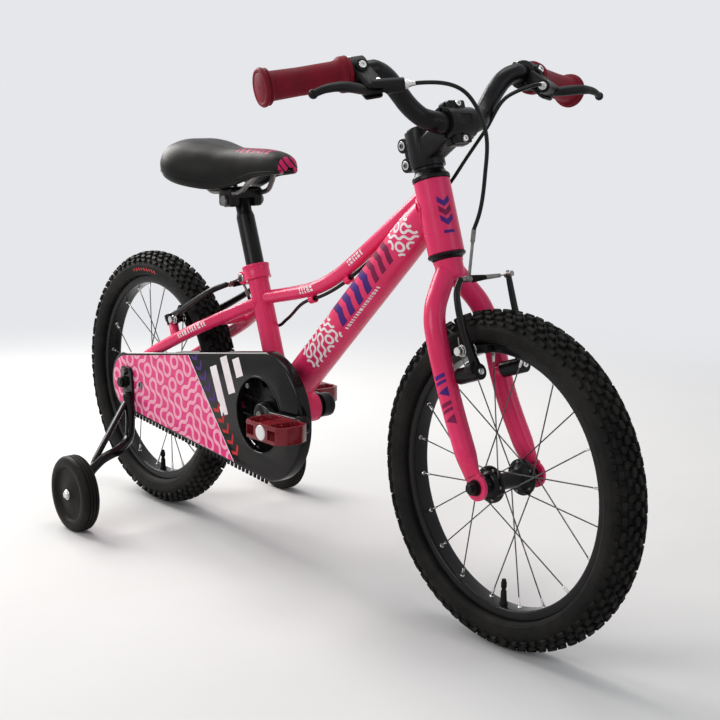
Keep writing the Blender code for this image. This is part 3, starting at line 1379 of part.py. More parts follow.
def saddle_pivot():
    """Centre of the bar on the post that the saddle tilts on."""
    return seat_frame() @ Vector((0, 0, POST_LENGTH - POST_INSERTION - SADDLE_BAR_DROP))


def rail_height():
    """Height of the saddle rails' straight run, just above the bar on the post."""
    return saddle_pivot().z + SADDLE_BAR_RADIUS + RAIL_RADIUS + RAIL_LIFT


def saddle_rails_mesh():
    """One bent wire: along the pan at the tail, through the clamp and round the nose."""
    z = rail_height()
    middle = saddle_pivot().x
    seat = 2 * CLEARANCE + RAIL_RADIUS
    side = -RAIL_HALF_SPACING
    tail, rear, front, nose = [middle + SADDLE_LENGTH * share
                               for share in (-0.371, -0.318, 0.295, 0.364)]
    half = [(tail, side * 1.32, pan_floor(tail) - seat),
            (rear, side * 1.27, pan_floor(rear) - seat),
            (middle - SADDLE_LENGTH * 0.235, side * 1.14, (z + pan_floor(rear)) / 2),
            (middle - SADDLE_LENGTH * 0.159, side, z), (middle - 0.025, side, z),
            (middle + 0.025, side, z), (middle + SADDLE_LENGTH * 0.144, side, z),
            (middle + SADDLE_LENGTH * 0.220, side * 0.77, (z + pan_floor(front)) / 2),
            (front, side * 0.48, pan_floor(front) - seat),
            (nose, side * 0.39, pan_floor(nose) - seat),
            (nose + 0.0060, side * 0.18, pan_floor(nose) - seat)]
    right = [Vector(point) for point in half]
    left = [MIRROR_Y @ point for point in reversed(right)]
    return tube(smooth_line(right + left, 43), RAIL_RADIUS, 0)


def saddle_clamp_mesh():
    """Clamp that turns on the post's bar and holds both rails."""
    centre = saddle_pivot()
    top = RAIL_RADIUS + 0.0040
    half = RAIL_HALF_SPACING + 0.0075
    rail = rail_height()
    jaw = block((centre.x - 0.0190, -half, centre.z - 0.0110),
                (centre.x + 0.0190, half, rail + top), 0.0035)
    tail = rod((centre.x - 0.0190, -0.0160, centre.z - 0.0030),
               (centre.x - 0.0190, 0.0160, centre.z - 0.0030), 0.0100, 12)
    bar = rod((centre.x, -0.05, centre.z), (centre.x, 0.05, centre.z),
              bore_radius(SADDLE_BAR_RADIUS, 10), 10)
    room = POST_RADIUS + 0.0002
    neck = block((-room, -room, -0.04), (room, room, SADDLE_BAR_DROP + 0.0025))
    neck = moved(neck, Matrix.Translation(centre)
                 @ Matrix.Rotation(SEAT_ANGLE - math.pi / 2, 4, "Y"))
    grooves = [rod((centre.x - 0.06, side * RAIL_HALF_SPACING, rail),
                   (centre.x + 0.06, side * RAIL_HALF_SPACING, rail),
                   RAIL_RADIUS + CLEARANCE, 8) for side in (-1, 1)]
    return cut(joined(jaw, tail), bar, neck, *grooves)


# Brake cables, routed by hand

def barrel_line():
    """Axis of the lever's cable barrel in the bar-end frame, from root to tip."""
    reach, middle = lever_pivot().x, lever_ring_z()
    return Vector((reach - 0.0050, 0, middle)), Vector((reach - 0.0090, 0, middle - 0.0420))


def lever_cable_start():
    """First two points of the cable, straight out of the right lever's barrel."""
    root, tip = barrel_line()
    run = (tip - root).normalized()
    return [bar_end_frame() @ (tip + run * step) for step in (CLEARANCE, 0.020)]


def fork_point(point):
    return STEERING.inverted() @ Vector(point)


def front_cable_mesh():
    """Right lever to the front brake's noodle, in the fork's coordinates."""
    arm = front_brake_matrix() @ Vector((0, -BRAKE_PIVOT_Y + 0.006, FRONT_ARM_LENGTH))
    route = [*lever_cable_start(), fork_point((0.336, -0.030, 0.628)),
             fork_point((0.350, -0.016, 0.590)), fork_point((0.354, -0.017, 0.540)),
             fork_point((0.349, -0.025, 0.480)), fork_point((0.342, -0.033, 0.440)),
             arm + Vector((0, 0.003, 0.010))]
    return tube(smooth_line(route, 23), CABLE_RADIUS, 2)


def rear_cable_mesh():
    """Left lever, past the head tube, under the top tube, to the rear brake's noodle."""
    start = [STEERING @ (MIRROR_Y @ point) for point in lever_cable_start()]
    (guide_1, run_1), (guide_2, run_2) = cable_line_under_top_tube()
    arm = rear_brake_matrix() @ Vector((0, 0.034, REAR_ARM_LENGTH + 0.012))
    seat = seat_point(SEAT_TUBE_LENGTH - CABLE_SEAT_DROP)
    seat += Vector((0, SEAT_TUBE_RADIUS + 0.0045, 0))
    past_head = [head_point(HEAD_TUBE_LENGTH) + Vector(offset) for offset in (
        (0.0729, 0.0380, 0.0829), (0.0629, 0.0200, 0.0529), (0.0419, 0.0230, 0.0239),
        (0.0249, 0.0285, -0.0151), (0.0009, 0.0266, -0.0231), (-0.0231, 0.0195, -0.0296),
        (-0.0451, 0.0150, -0.0426), (-0.0751, 0.0130, -0.0666), (-0.1101, 0.0105, -0.0956))]
    past_seat = [seat + Vector(offset) for offset in (
        (0.0180, -0.0010, 0.0100), (0, 0, 0), (-0.0225, -0.0063, -0.0021),
        (-0.0425, -0.0158, 0.0029), (-0.0605, -0.0218, 0.0159), (-0.0775, -0.0338, 0.0309))]
    route = [*start, *past_head,
             guide_2 + run_2 * 0.008, guide_2 - run_2 * 0.008,
             guide_1 + run_1 * 0.008, guide_1 - run_1 * 0.008,
             guide_1 - run_1 * 0.030 + Vector((0, 0.003, -0.007)), *past_seat, arm]
    return tube(smooth_line(route, 58), CABLE_RADIUS, 2)


# Assembly

def build_steering(steering):
    add_part("fork", fork_mesh(), PINK, 0.35, parent=steering)
    add_part("stem", stem_mesh(), BLACK, 0.35, parent=steering)
    add_part("stem_faceplate", faceplate_mesh(), BLACK, 0.35, parent=steering)
    add_part("steerer_cap", steerer_cap_mesh(), BLACK, 0.35, parent=steering)
    add_part("handlebar", handlebar_mesh(), BLACK, 0.30, parent=steering)
    add_part("front_brake_cable", front_cable_mesh(), BLACK, 0.45, parent=steering)
    frame = bar_end_frame()
    flip = MIRROR_Y @ frame @ MIRROR_Y
    pivot = Matrix.Translation(lever_pivot())
    for side, place in (("right", frame), ("left", flip)):
        keep = moved if side == "right" else mirrored_in_place
        add_part(f"grip_{side}", keep(grip_mesh(), Matrix()), MAROON, 0.55,
                 parent=steering, place=place)
        add_part(f"lever_bracket_{side}", keep(lever_bracket_mesh(), Matrix()), BLACK, 0.4,
                 parent=steering, place=place)
        spot = pivot if side == "right" else MIRROR_Y @ pivot @ MIRROR_Y
        axis = new_empty(f"lever_{side}_pivot", place @ spot, steering)
        add_part(f"lever_{side}", keep(lever_mesh(), Matrix()), BLACK, 0.4, parent=axis)


def mirrored_in_place(mesh, _):
    return moved(mesh, MIRROR_Y)


def build_brake(end, matrix, length, forward, parent, flip):
    """Two arms and two pads; flip says that the matrix has its Y to the right."""
    for side in ("right", "left"):
        toward_minus = (side == "right") != flip
        keep = moved if toward_minus else mirrored_in_place
        y = -BRAKE_PIVOT_Y if toward_minus else BRAKE_PIVOT_Y
        axis = new_empty(f"{end}_brake_{side}_pivot",
                         matrix @ Matrix.Translation((0, y, 0)), parent)
        add_part(f"{end}_brake_arm_{side}", keep(brake_arm_mesh(length), Matrix()), BLACK, 0.4,
                 parent=axis)
        add_part(f"{end}_brake_pad_{side}", keep(brake_pad_mesh(forward), Matrix()), RUBBER,
                 0.8, parent=axis)


def build_wheel(end, centre, right_flange, left_flange, half_length, parent):
    wheel = new_empty(f"{end}_wheel_axis", Matrix.Translation(centre) @ WHEEL_TURN, parent)
    if parent:
        wheel.matrix_local = STEERING.inverted() @ Matrix.Translation(centre) @ WHEEL_TURN
    add_part(f"{end}_tyre", tyre_mesh(), RUBBER, 0.85, parent=wheel)
    add_part(f"{end}_rim", rim_mesh(), BLACK, 0.35, parent=wheel)
    add_part(f"{end}_hub", hub_mesh(right_flange, left_flange, half_length), BLACK, 0.35,
             parent=wheel)
    add_part(f"{end}_valve", valve_mesh(), BLACK, 0.5, parent=wheel)


def build_drive():
    crank = new_empty("crank_axis", Matrix.Translation(BRACKET))
    tilt = Matrix.Rotation(-CRANK_RISE, 4, "Y")
    half_turn = Matrix.Rotation(math.pi, 4, "Y")
    add_part("chainring", chainring_mesh(), BLACK, 0.35, 0.6, parent=crank)
    add_part("crank_spindle", crank_spindle_mesh(), STEEL, 0.3, 1.0, parent=crank)
    add_part("crank_arm_right", crank_arm_mesh(), BLACK, 0.35, parent=crank, place=tilt)
    add_part("crank_arm_left", moved(crank_arm_mesh(), MIRROR_Y), BLACK, 0.35, parent=crank,
             place=tilt @ half_turn)
    for side, turn, mirror in (("right", tilt, Matrix()), ("left", tilt @ half_turn, MIRROR_Y)):
        spot = turn @ Vector((CRANK_LENGTH, 0, 0))
        axis = new_empty(f"pedal_{side}_axis", Matrix.Translation(spot), crank)
        add_part(f"pedal_spindle_{side}", moved(pedal_spindle_mesh(), mirror), STEEL, 0.3, 1.0,
                 parent=axis)
        add_part(f"pedal_{side}", moved(pedal_mesh(), mirror), RED_PLASTIC, 0.25, parent=axis)
    sprocket = new_empty("sprocket_axis", Matrix.Translation(REAR_AXLE))
    add_part("rear_sprocket", sprocket_mesh(), STEEL, 0.4, 1.0, parent=sprocket)
    add_part("chain", chain_mesh(), (0.10, 0.08, 0.06), 0.4, 0.8)
    add_part("chain_guard", chain_guard_mesh(), BLACK, 0.15)


def build_training_wheels():
    centre = training_wheel_centre()
    for side, mirror in (("right", Matrix()), ("left", MIRROR_Y)):
        place = Matrix.Translation(mirror @ centre)
        axis = new_empty(f"training_wheel_{side}_axis", place)
        add_part(f"training_wheel_{side}", training_wheel_mesh(), BLACK, 0.5, parent=axis,
                 place=WHEEL_TURN)
        add_part(f"training_axle_{side}", moved(training_axle_mesh(), mirror), STEEL, 0.3, 1.0,
                 parent=axis)
        add_part(f"training_bracket_{side}", moved(training_bracket_mesh(), mirror), BLACK, 0.25)


def build_seat():
    frame = seat_frame()
    add_part("seat_clamp", seat_clamp(), PINK, 0.35, place=frame)
    add_part("seat_clamp_bolt", seat_clamp_bolt(), STEEL, 0.3, 1.0, place=frame)
    add_part("seat_post", seat_post_mesh(), BLACK, 0.4, place=frame)
    centre = saddle_pivot()
    tilt = new_empty("saddle_axis", Matrix.Translation(centre))
    back = Matrix.Translation(-centre)
    add_part("saddle_cover", saddle_cover_mesh(), BLACK, 0.45, parent=tilt, place=back)
    add_part("saddle_base", saddle_base_mesh(), BLACK, 0.5, parent=tilt, place=back)
    add_part("saddle_rails", saddle_rails_mesh(), BLACK, 0.3, 0.6, parent=tilt, place=back)
    add_part("saddle_clamp", saddle_clamp_mesh(), BLACK, 0.35, parent=tilt, place=back)


def build_bicycle():
    steering = new_empty("steering_axis", STEERING)
    add_part("frame", frame_mesh(), PINK, 0.35)
    add_part("headset_upper_cup", headset_cup(True), BLACK, 0.3, place=STEERING)
    add_part("headset_lower_cup", headset_cup(False), BLACK, 0.3, place=STEERING)
    add_part("bb_cup_right", bracket_cup(), BLACK, 0.4)
    add_part("bb_cup_left", moved(bracket_cup(), MIRROR_Y), BLACK, 0.4)
    add_part("rear_brake_cable", rear_cable_mesh(), BLACK, 0.45)
    build_steering(steering)
    build_wheel("front", FRONT_AXLE, FRONT_FLANGE_Y, FRONT_FLANGE_Y, FORK_SPACING / 2,
                steering)
    build_wheel("rear", REAR_AXLE, REAR_FLANGE_RIGHT_Y, REAR_FLANGE_LEFT_Y, REAR_SPACING / 2,
                None)
    front_nut = FORK_SPACING / 2 + DROPOUT_THICKNESS + CLEARANCE
    add_part("front_axle", axle_mesh(front_nut + NUT_THICKNESS + 0.003, front_nut), STEEL, 0.3,
             1.0, place=Matrix.Translation(FRONT_AXLE) @ WHEEL_TURN)
    rear_nut = GUARD_FACE_Y + TRAINING_PLATE_THICKNESS + 2 * CLEARANCE
    add_part("rear_axle", axle_mesh(rear_nut + NUT_THICKNESS + 0.003, rear_nut), STEEL, 0.3,
             1.0, place=Matrix.Translation(REAR_AXLE) @ WHEEL_TURN)
    build_brake("front", front_brake_matrix(), FRONT_ARM_LENGTH,
                BRAKE_PLANE_FORWARD - FORK_RAKE, steering, False)
    build_brake("rear", rear_brake_matrix(), REAR_ARM_LENGTH, REAR_BRAKE_OFFSET, None, True)
    build_drive()
    build_training_wheels()
    build_seat()


remove_everything()
PARTS = new_collection("kids_bike")
CUTTERS = new_collection("cutters")
build_bicycle()
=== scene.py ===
import math
import random

import bmesh
import bpy
from mathutils import Matrix, Vector
from mathutils.bvhtree import BVHTree


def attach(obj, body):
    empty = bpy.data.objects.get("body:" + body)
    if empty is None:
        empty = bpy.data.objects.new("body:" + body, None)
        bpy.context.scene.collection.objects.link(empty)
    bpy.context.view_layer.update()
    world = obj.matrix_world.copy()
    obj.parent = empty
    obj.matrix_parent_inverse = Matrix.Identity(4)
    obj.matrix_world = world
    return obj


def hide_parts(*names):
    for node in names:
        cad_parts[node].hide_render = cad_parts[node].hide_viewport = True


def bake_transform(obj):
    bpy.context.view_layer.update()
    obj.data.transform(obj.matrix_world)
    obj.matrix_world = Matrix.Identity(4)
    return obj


# Sizes of the bicycle, in metres: +X is forward, +Y is its left and +Z is up

CLEARANCE = 0.0003

WHEELBASE = 0.760
TYRE_RADIUS = 0.1975
AXLE_HEIGHT = TYRE_RADIUS * math.cos(math.pi / 32)
TYRE_HALF_WIDTH = 0.0245
SECTION_CENTRE_RADIUS = 0.1720
SECTION_HALF_HEIGHT = 0.0195
SECTION_HALF_WIDTH = 0.0226
TREAD_RADIUS = 0.1965
RIM_RADIUS = 0.1585
RIM_DEPTH = 0.0110
RIM_WIDTH = 0.0250
SPOKES_A_SIDE = 10
SPOKE_SWEEP = math.radians(63)
SPOKE_CIRCLE = 0.0178
SPOKE_END_RADIUS = 0.1474
FLANGE_RADIUS = 0.0215
AXLE_RADIUS = 0.0045
AXLE_BORE = 0.0047

HEAD_ANGLE = math.radians(71.4)
FORK_LENGTH = 0.2706
FORK_RAKE = 0.0218
HEAD_TUBE_LENGTH = 0.0876
HEAD_TUBE_RADIUS = 0.0215
STEERER_RADIUS = 0.0140
CUP_HEIGHT = 0.0115
CUP_RADIUS = 0.0225
BLADE_RADIUS = 0.0127
BLADE_SPREAD = 0.0430
FORK_SPACING = 0.0890
DROPOUT_THICKNESS = 0.0040

BRACKET = Vector((-0.0270, 0, 0.2075))
SHELL_RADIUS = 0.0205
SHELL_WIDTH = 0.0620
SEAT_ANGLE = math.radians(70.5)
SEAT_TUBE_LENGTH = 0.1980
SEAT_TUBE_RADIUS = 0.0143
TOP_TUBE_RADIUS = 0.0093
DOWN_TUBE_RADIUS = 0.0235
STAY_RADIUS = 0.0088
REAR_SPACING = 0.0960
CLAMP_HEIGHT = 0.0180
CLAMP_RADIUS = 0.0182
COLLAR_EAR = 0.0092

CHAIN_PITCH = 0.0127
CHAINLINE = 0.0385
RING_TEETH = 32
SPROCKET_TEETH = 16
CHAIN_SAG = 0.0110
CRANK_LENGTH = 0.1090
CRANK_RISE = math.radians(4)
GUARD_FACE_Y = 0.0610
GUARD_WALL = 0.0022
GUARD_DEPTH = 0.0165
GUARD_FRONT_RADIUS = 0.0880
GUARD_REAR_RADIUS = 0.0460
GUARD_OPENING_RADIUS = 0.0510
GUARD_RIB_PITCH = 0.0092
CHEVRON_PITCH = 0.0172
SPROCKET_THICKNESS = 0.0026
LINK_RADIUS = 0.0041
LINK_THICKNESS = 0.0010
BOSS_WIDTH = 0.0195
PEDAL_LENGTH = 0.0800
PEDAL_WIDTH = 0.0480
PEDAL_HEIGHT = 0.0220
PEDAL_INNER_Y = 0.0850

SIDE_WHEEL_RADIUS = 0.0560
SIDE_WHEEL_WIDTH = 0.0268
SIDE_EYE_GAP = 0.0008
SIDE_EYE_WIDTH = 0.0120
SIDE_WHEEL_CENTRE = Vector((-0.3190, -0.1850, 0.0553))

STEM_BOTTOM = 0.1035
STEM_HEIGHT = 0.0440
STEM_RADIUS = 0.0205
BAR_RADIUS = 0.0111
BAR_CLAMP_BORE = 0.0131
BAR_HALF_WIDTH = 0.2350
BAR_RISE = 0.0570
BAR_SET_BACK = 0.0160
BAR_STRAIGHT = 0.1200
BAR_SWEEP = math.radians(14)
BAR_DROP = math.radians(9)
LEVER_TILT = math.radians(30)
GRIP_LENGTH = 0.1030
GRIP_WALL = 0.0040
GRIP_RADIUS = 0.0158
GRIP_FLANGE = 0.0210
LEVER_RING_HALF_WIDTH = 0.0090

BRAKE_PIVOT_Y = 0.0400
BRAKE_PLANE_FORWARD = 0.0360
BRAKE_PAD_RADIUS = 0.1535
BRAKE_PAD_RISE = 0.0270
REAR_BRAKE_ANGLE = math.radians(25)
REAR_BRAKE_OFFSET = 0.0520

POST_RADIUS = 0.0127
POST_EXPOSED = 0.1020
SADDLE_PAN_THICKNESS = 0.0045
RAIL_RADIUS = 0.0035
RAIL_HALF_SPACING = 0.0220
CABLE_RADIUS = 0.0025
CASING_RADIUS = 0.0023

FRONT_AXLE = Vector((WHEELBASE / 2, 0, AXLE_HEIGHT))
REAR_AXLE = Vector((-WHEELBASE / 2, 0, AXLE_HEIGHT))
STEERING_TURN = Matrix.Rotation(HEAD_ANGLE - math.pi / 2, 4, "Y")
HEAD_BASE = FRONT_AXLE - STEERING_TURN @ Vector((FORK_RAKE, 0, -FORK_LENGTH))
STEERING = Matrix.Translation(HEAD_BASE) @ STEERING_TURN
SEAT_DIRECTION = Vector((-math.cos(SEAT_ANGLE), 0, math.sin(SEAT_ANGLE)))
SEAT_FOOT = BRACKET - Vector((0.0237 / math.sin(SEAT_ANGLE), 0, 0))
SEAT_TOP = SEAT_FOOT + SEAT_TUBE_LENGTH * SEAT_DIRECTION
MIRROR_Y = Matrix.Scale(-1, 4, (0, 1, 0))
WHEEL_TURN = Matrix.Rotation(-math.pi / 2, 4, "X")
UPRIGHT = Matrix.Rotation(math.pi / 2, 4, "X")

# Camera

CAMERA_AZIMUTH = 0.8921
CAMERA_ELEVATION = 0.1861
CAMERA_DISTANCE = 1.7613
CAMERA_TARGET = Vector((0.1133, 0, 0.2965))
CAMERA_ROLL = 0.0044
CAMERA_LENS = 69.19

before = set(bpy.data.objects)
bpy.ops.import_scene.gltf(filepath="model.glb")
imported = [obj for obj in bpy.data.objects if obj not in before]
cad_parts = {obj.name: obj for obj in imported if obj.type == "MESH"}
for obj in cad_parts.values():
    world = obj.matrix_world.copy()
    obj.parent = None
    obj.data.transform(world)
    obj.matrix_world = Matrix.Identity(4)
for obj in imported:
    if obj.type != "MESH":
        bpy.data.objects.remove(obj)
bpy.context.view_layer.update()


# Meshes

def mesh_of(bm):
    bmesh.ops.remove_doubles(bm, verts=bm.verts, dist=1e-6)
    bmesh.ops.recalc_face_normals(bm, faces=bm.faces)
    mesh = bpy.data.meshes.new("mesh")
    bm.to_mesh(mesh)
    bm.free()
    return mesh


def evaluated(piece):
    """The object's mesh as its modifiers leave it, with the object removed."""
    graph = bpy.context.evaluated_depsgraph_get()
    mesh = bpy.data.meshes.new_from_object(piece.evaluated_get(graph))
    bpy.data.objects.remove(piece, do_unlink=True)
    bm = bmesh.new()
    bm.from_mesh(mesh)
    return mesh_of(bm)


def temporary(data):
    piece = bpy.data.objects.new("temporary", data)
    bpy.context.scene.collection.objects.link(piece)
    return piece


def moved(mesh, matrix):
    mesh = mesh.copy()
    mesh.transform(matrix)
    if matrix.determinant() < 0:
        mesh.flip_normals()
    return mesh


def mirrored(mesh):
    return moved(mesh, MIRROR_Y)


def boolean(mesh, tool, operation):
    body, cutter = temporary(mesh), temporary(tool)
    change = body.modifiers.new("boolean", "BOOLEAN")
    change.operation = operation
    change.solver = "EXACT"
    change.object = cutter
    result = evaluated(body)
    bpy.data.objects.remove(cutter, do_unlink=True)
    return result


def cut(mesh, *tools):
    for tool in tools:
        mesh = boolean(mesh, tool, "DIFFERENCE")
    return mesh


def joined(*meshes):
    body = meshes[0]
    for mesh in meshes[1:]:
        body = boolean(body, mesh, "UNION")
    return body


def gathered(*meshes):
    """One mesh that holds all the given ones as they are."""
    bm = bmesh.new()
    for mesh in meshes:
        bm.from_mesh(mesh)
    mesh = bpy.data.meshes.new("mesh")
    bm.to_mesh(mesh)
    bm.free()
    return mesh


def along(start, end):
    """Matrix at start with its Z toward end."""
    span = Vector(end) - Vector(start)
    return Matrix.Translation(start) @ span.to_track_quat("Z", "Y").to_matrix().to_4x4()


def rod(start, end, radius, sides=40, end_radius=None, edge=0.0):
    """Round bar or cone from start to end, its end edges rounded by edge."""
    start, end = Vector(start), Vector(end)
    length = (end - start).length
    other = radius if end_radius is None else end_radius
    profile = [(0, 0), *corner((radius - edge, 0), (radius, edge), edge)]
    profile += [*corner((other, length - edge), (other - edge, length), edge), (0, length)]
    return moved(turned(profile, sides), along(start, end))


def corner(start, end, edge, steps=3):
    """Quarter round between two points of a profile, or one point if edge is 0."""
    if not edge:
        return [start]
    (r0, z0), (r1, z1) = start, end
    middle = (max(r0, r1), z0 if r1 > r0 else z1)
    points = []
    for step in range(steps + 1):
        t = step / steps
        points.append(tuple((1 - t) ** 2 * a + 2 * t * (1 - t) * m + t * t * b
                            for a, m, b in zip((r0, z0), middle, (r1, z1))))
    return points


def turned(profile, steps=64):
    """Solid of revolution about Z from (radius, height) points."""
    bm = bmesh.new()
    rings = []
    for radius, height in profile:
        if radius < 1e-7:
            rings.append([bm.verts.new((0, 0, height))])
            continue
        rings.append([bm.verts.new((radius * math.cos(a), radius * math.sin(a), height))
                      for a in (2 * math.pi * step / steps for step in range(steps))])
    closed = len(rings[0]) > 1
    pairs = list(zip(rings, rings[1:])) + ([(rings[-1], rings[0])] if closed else [])
    for here, there in pairs:
        skin(bm, here, there)
    return mesh_of(bm)


def skin(bm, here, there):
    """Faces between two rings of vertices, either of which may be a single point."""
    for index in range(max(len(here), len(there))):
        other = (index + 1) % max(len(here), len(there))
        corners = []
        for vertex in (here[index % len(here)], here[other % len(here)],
                       there[other % len(there)], there[index % len(there)]):
            if vertex not in corners:
                corners.append(vertex)
        if len(corners) > 2:
            bm.faces.new(corners)


def lofted(bm, rings):
    """Mesh skinned over rings of vertices in turn, with a face at each end."""
    for here, there in zip(rings, rings[1:]):
        skin(bm, here, there)
    bm.faces.new(rings[0])
    bm.faces.new(rings[-1])
    return mesh_of(bm)


def block(low, high, bevel=0.0, segments=2):
    low, high = Vector(low), Vector(high)
    bm = bmesh.new()
    bmesh.ops.create_cube(bm, size=1)
    bmesh.ops.scale(bm, vec=high - low, verts=bm.verts)
    bmesh.ops.translate(bm, vec=(low + high) / 2, verts=bm.verts)
    if bevel:
        bmesh.ops.bevel(bm, geom=bm.edges[:], offset=bevel, segments=segments,
                        affect="EDGES", profile=0.5)
    return mesh_of(bm)


def ball(centre, radius, scale=(1, 1, 1)):
    bm = bmesh.new()
    bmesh.ops.create_uvsphere(bm, u_segments=24, v_segments=16, radius=radius)
    bmesh.ops.scale(bm, vec=scale, verts=bm.verts)
    return moved(mesh_of(bm), Matrix.Translation(centre))


def sweep(points, radius, sides=20, scales=None, oval=1.0, closed=False):
    """Round or oval tube along a line; oval widens it along its first cross direction."""
    points = [Vector(point) for point in points]
    count = len(points)
    bm = bmesh.new()
    rings = []
    side = None
    for index, point in enumerate(points):
        before = points[index - 1] if index or closed else point
        after = points[(index + 1) % count] if index < count - 1 or closed else point
        run = (after - before).normalized()
        if side is None:
            side = run.cross(Vector((0, 1, 0)) if abs(run.y) < 0.9 else Vector((0, 0, 1)))
        side = (side - run * side.dot(run)).normalized()
        up = run.cross(side)
        size = radius * (scales[index] if scales else 1)
        rings.append([bm.verts.new(point + side * (size * oval * math.cos(a))
                                   + up * (size * math.sin(a)))
                      for a in (2 * math.pi * step / sides for step in range(sides))])
    for here, there in zip(rings, rings[1:]):
        skin(bm, here, there)
    if closed:
        skin(bm, rings[-1], rings[0])
    else:
        bm.faces.new(rings[0])
        bm.faces.new(rings[-1])
    return mesh_of(bm)


def plate(outline, thickness, holes=()):
    """Flat plate in XY, centred on Z = 0, from closed outlines."""
    curve = bpy.data.curves.new("plate", "CURVE")
    curve.dimensions = "2D"
    curve.fill_mode = "BOTH"
    curve.extrude = thickness / 2
    for line in (outline, *holes):
        spline = curve.splines.new("POLY")
        spline.points.add(len(line) - 1)
        for index, (x, y) in enumerate(line):
            spline.points[index].co = (x, y, 0, 1)
        spline.use_cyclic_u = True
    return evaluated(temporary(curve))


def rounded(outline, radius, steps=5):
    """The closed outline with its corners rounded."""
    points = [Vector(point) for point in outline]
    line = []
    for index, here in enumerate(points):
        before, after = points[index - 1], points[(index + 1) % len(points)]
        back, ahead = before - here, after - here
        reach = min(radius, back.length * 0.45, ahead.length * 0.45)
        a, b = here + back.normalized() * reach, here + ahead.normalized() * reach
        for step in range(steps + 1):
            t = step / steps
            line.append(tuple(a * (1 - t) ** 2 + here * (2 * t * (1 - t)) + b * t ** 2))
    return line


def smooth_line(points, count):
    """Evenly spaced points on the smooth curve that passes through the given ones."""
    points = [Vector(point) for point in points]
    padded = [2 * points[0] - points[1], *points, 2 * points[-1] - points[-2]]
    slopes = []
    for a, b, c in zip(padded, padded[1:], padded[2:]):
        before, after = (b - a).length, (c - b).length
        slopes.append(((b - a) * (after / before) + (c - b) * (before / after))
                      / (before + after))
    line = []
    for span, t in even_steps(points, count):
        start, end = points[span], points[span + 1]
        reach = (end - start).length
        line.append(start * (1 + 2 * t) * (1 - t) ** 2 + slopes[span] * reach * t * (1 - t) ** 2
                    + end * t ** 2 * (3 - 2 * t) + slopes[span + 1] * reach * t ** 2 * (t - 1))
    return line


def even_steps(points, count):
    """Span and fraction of each of the steps that divide a line of points evenly."""
    lengths = [(b - a).length for a, b in zip(points, points[1:])]
    steps = []
    span, before = 0, 0.0
    for step in range(count):
        target = sum(lengths) * step / (count - 1)
        while span < len(lengths) - 1 and before + lengths[span] < target:
            before += lengths[span]
            span += 1
        steps.append((span, (target - before) / lengths[span]))
    return steps


def smooth_values(values, points, count):
    """Values, one given for each point, spread along the smooth line with soft steps."""
    points = [Vector(point) for point in points]
    return [values[span] + (values[span + 1] - values[span]) * t * t * (3 - 2 * t)
            for span, t in even_steps(points, count)]


def arc(centre, radius, start, end, steps):
    angles = [start + (end - start) * step / steps for step in range(steps + 1)]
    return [(centre[0] + radius * math.cos(a), centre[1] + radius * math.sin(a)) for a in angles]


def circle(radius, count):
    """Closed circle of count points round the origin."""
    return arc((0, 0), radius, 0, 2 * math.pi * (count - 1) / count, count - 1)


def upright(mesh, y):
    """Plate drawn in (x, z) stood up at the given y."""
    return moved(mesh, Matrix.Translation((0, y, 0)) @ UPRIGHT)


def bezier(a, b, c, t):
    return a * (1 - t) ** 2 + b * (2 * t * (1 - t)) + c * t ** 2


def softened(mesh, width, segments=3, angle=35):
    """The mesh with its sharp edges bevelled."""
    piece = temporary(mesh)
    bevel = piece.modifiers.new("bevel", "BEVEL")
    bevel.width = width
    bevel.segments = segments
    bevel.limit_method = "ANGLE"
    bevel.angle_limit = math.radians(angle)
    bevel.use_clamp_overlap = True
    return evaluated(piece)


# Fasteners

def hex_head(start, end, radius, dome=0.0):
    """Six-sided head or nut from start to end with its corners turned off."""
    start, end = Vector(start), Vector(end)
    length = (end - start).length
    prism = turned([(0, 0), (radius, 0), (radius, length), (0, length)], 6)
    flat = radius * 0.90
    cone = turned([(0, -0.001), (radius * 1.1, -0.001), (radius * 1.1, length * 0.72),
                   (flat, length), (0, length + dome)], 32)
    return moved(boolean(prism, cone, "INTERSECT"), along(start, end))


def socket_head(start, end, radius):
    """Round screw head from start to end with a hexagon socket in its face."""
    start, end = Vector(start), Vector(end)
    length = (end - start).length
    edge = radius * 0.18
    head = turned([(0, 0), (radius, 0), *corner((radius, length - edge),
                                                (radius - edge, length), edge), (0, length)], 28)
    socket = turned([(0, length * 0.3), (radius * 0.50, length * 0.3),
                     (radius * 0.52, length + 0.001), (0, length + 0.001)], 6)
    return moved(cut(head, socket), along(start, end))


def ring(start, end, inner, outer, sides=40):
    """Washer or sleeve from start to end."""
    start, end = Vector(start), Vector(end)
    length = (end - start).length
    edge = min(0.0004, length / 4)
    profile = [(inner, 0), (outer - edge, 0), (outer, edge), (outer, length - edge),
               (outer - edge, length), (inner, length)]
    return moved(turned(profile, sides), along(start, end))


# Pieces

def piece(name, body, parts, stands_for=(), slot=None, angle=38):
    """One object made of (mesh, material) pairs, riding on a body."""
    bm = bmesh.new()
    materials = []
    for mesh, material in parts:
        if material not in materials:
            materials.append(material)
        first = len(bm.faces)
        bm.from_mesh(mesh)
        bm.faces.ensure_lookup_table()
        for index in range(first, len(bm.faces)):
            bm.faces[index].material_index = materials.index(material)
    mesh = bpy.data.meshes.new(name)
    bm.to_mesh(mesh)
    bm.free()
    for material in materials:
        mesh.materials.append(material)
    mesh.shade_smooth()
    mesh.set_sharp_from_angle(angle=math.radians(angle))
    made = bpy.data.objects.new(name, mesh)
    bpy.context.scene.collection.objects.link(made)
    if body:
        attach(made, body)
    if stands_for:
        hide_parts(*([stands_for] if isinstance(stands_for, str) else stands_for))
    return made


def dress(node, material):
    """Gives a CAD node a finished material."""
    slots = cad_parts[node].data.materials
    slots.clear()
    slots.append(material)


# Materials

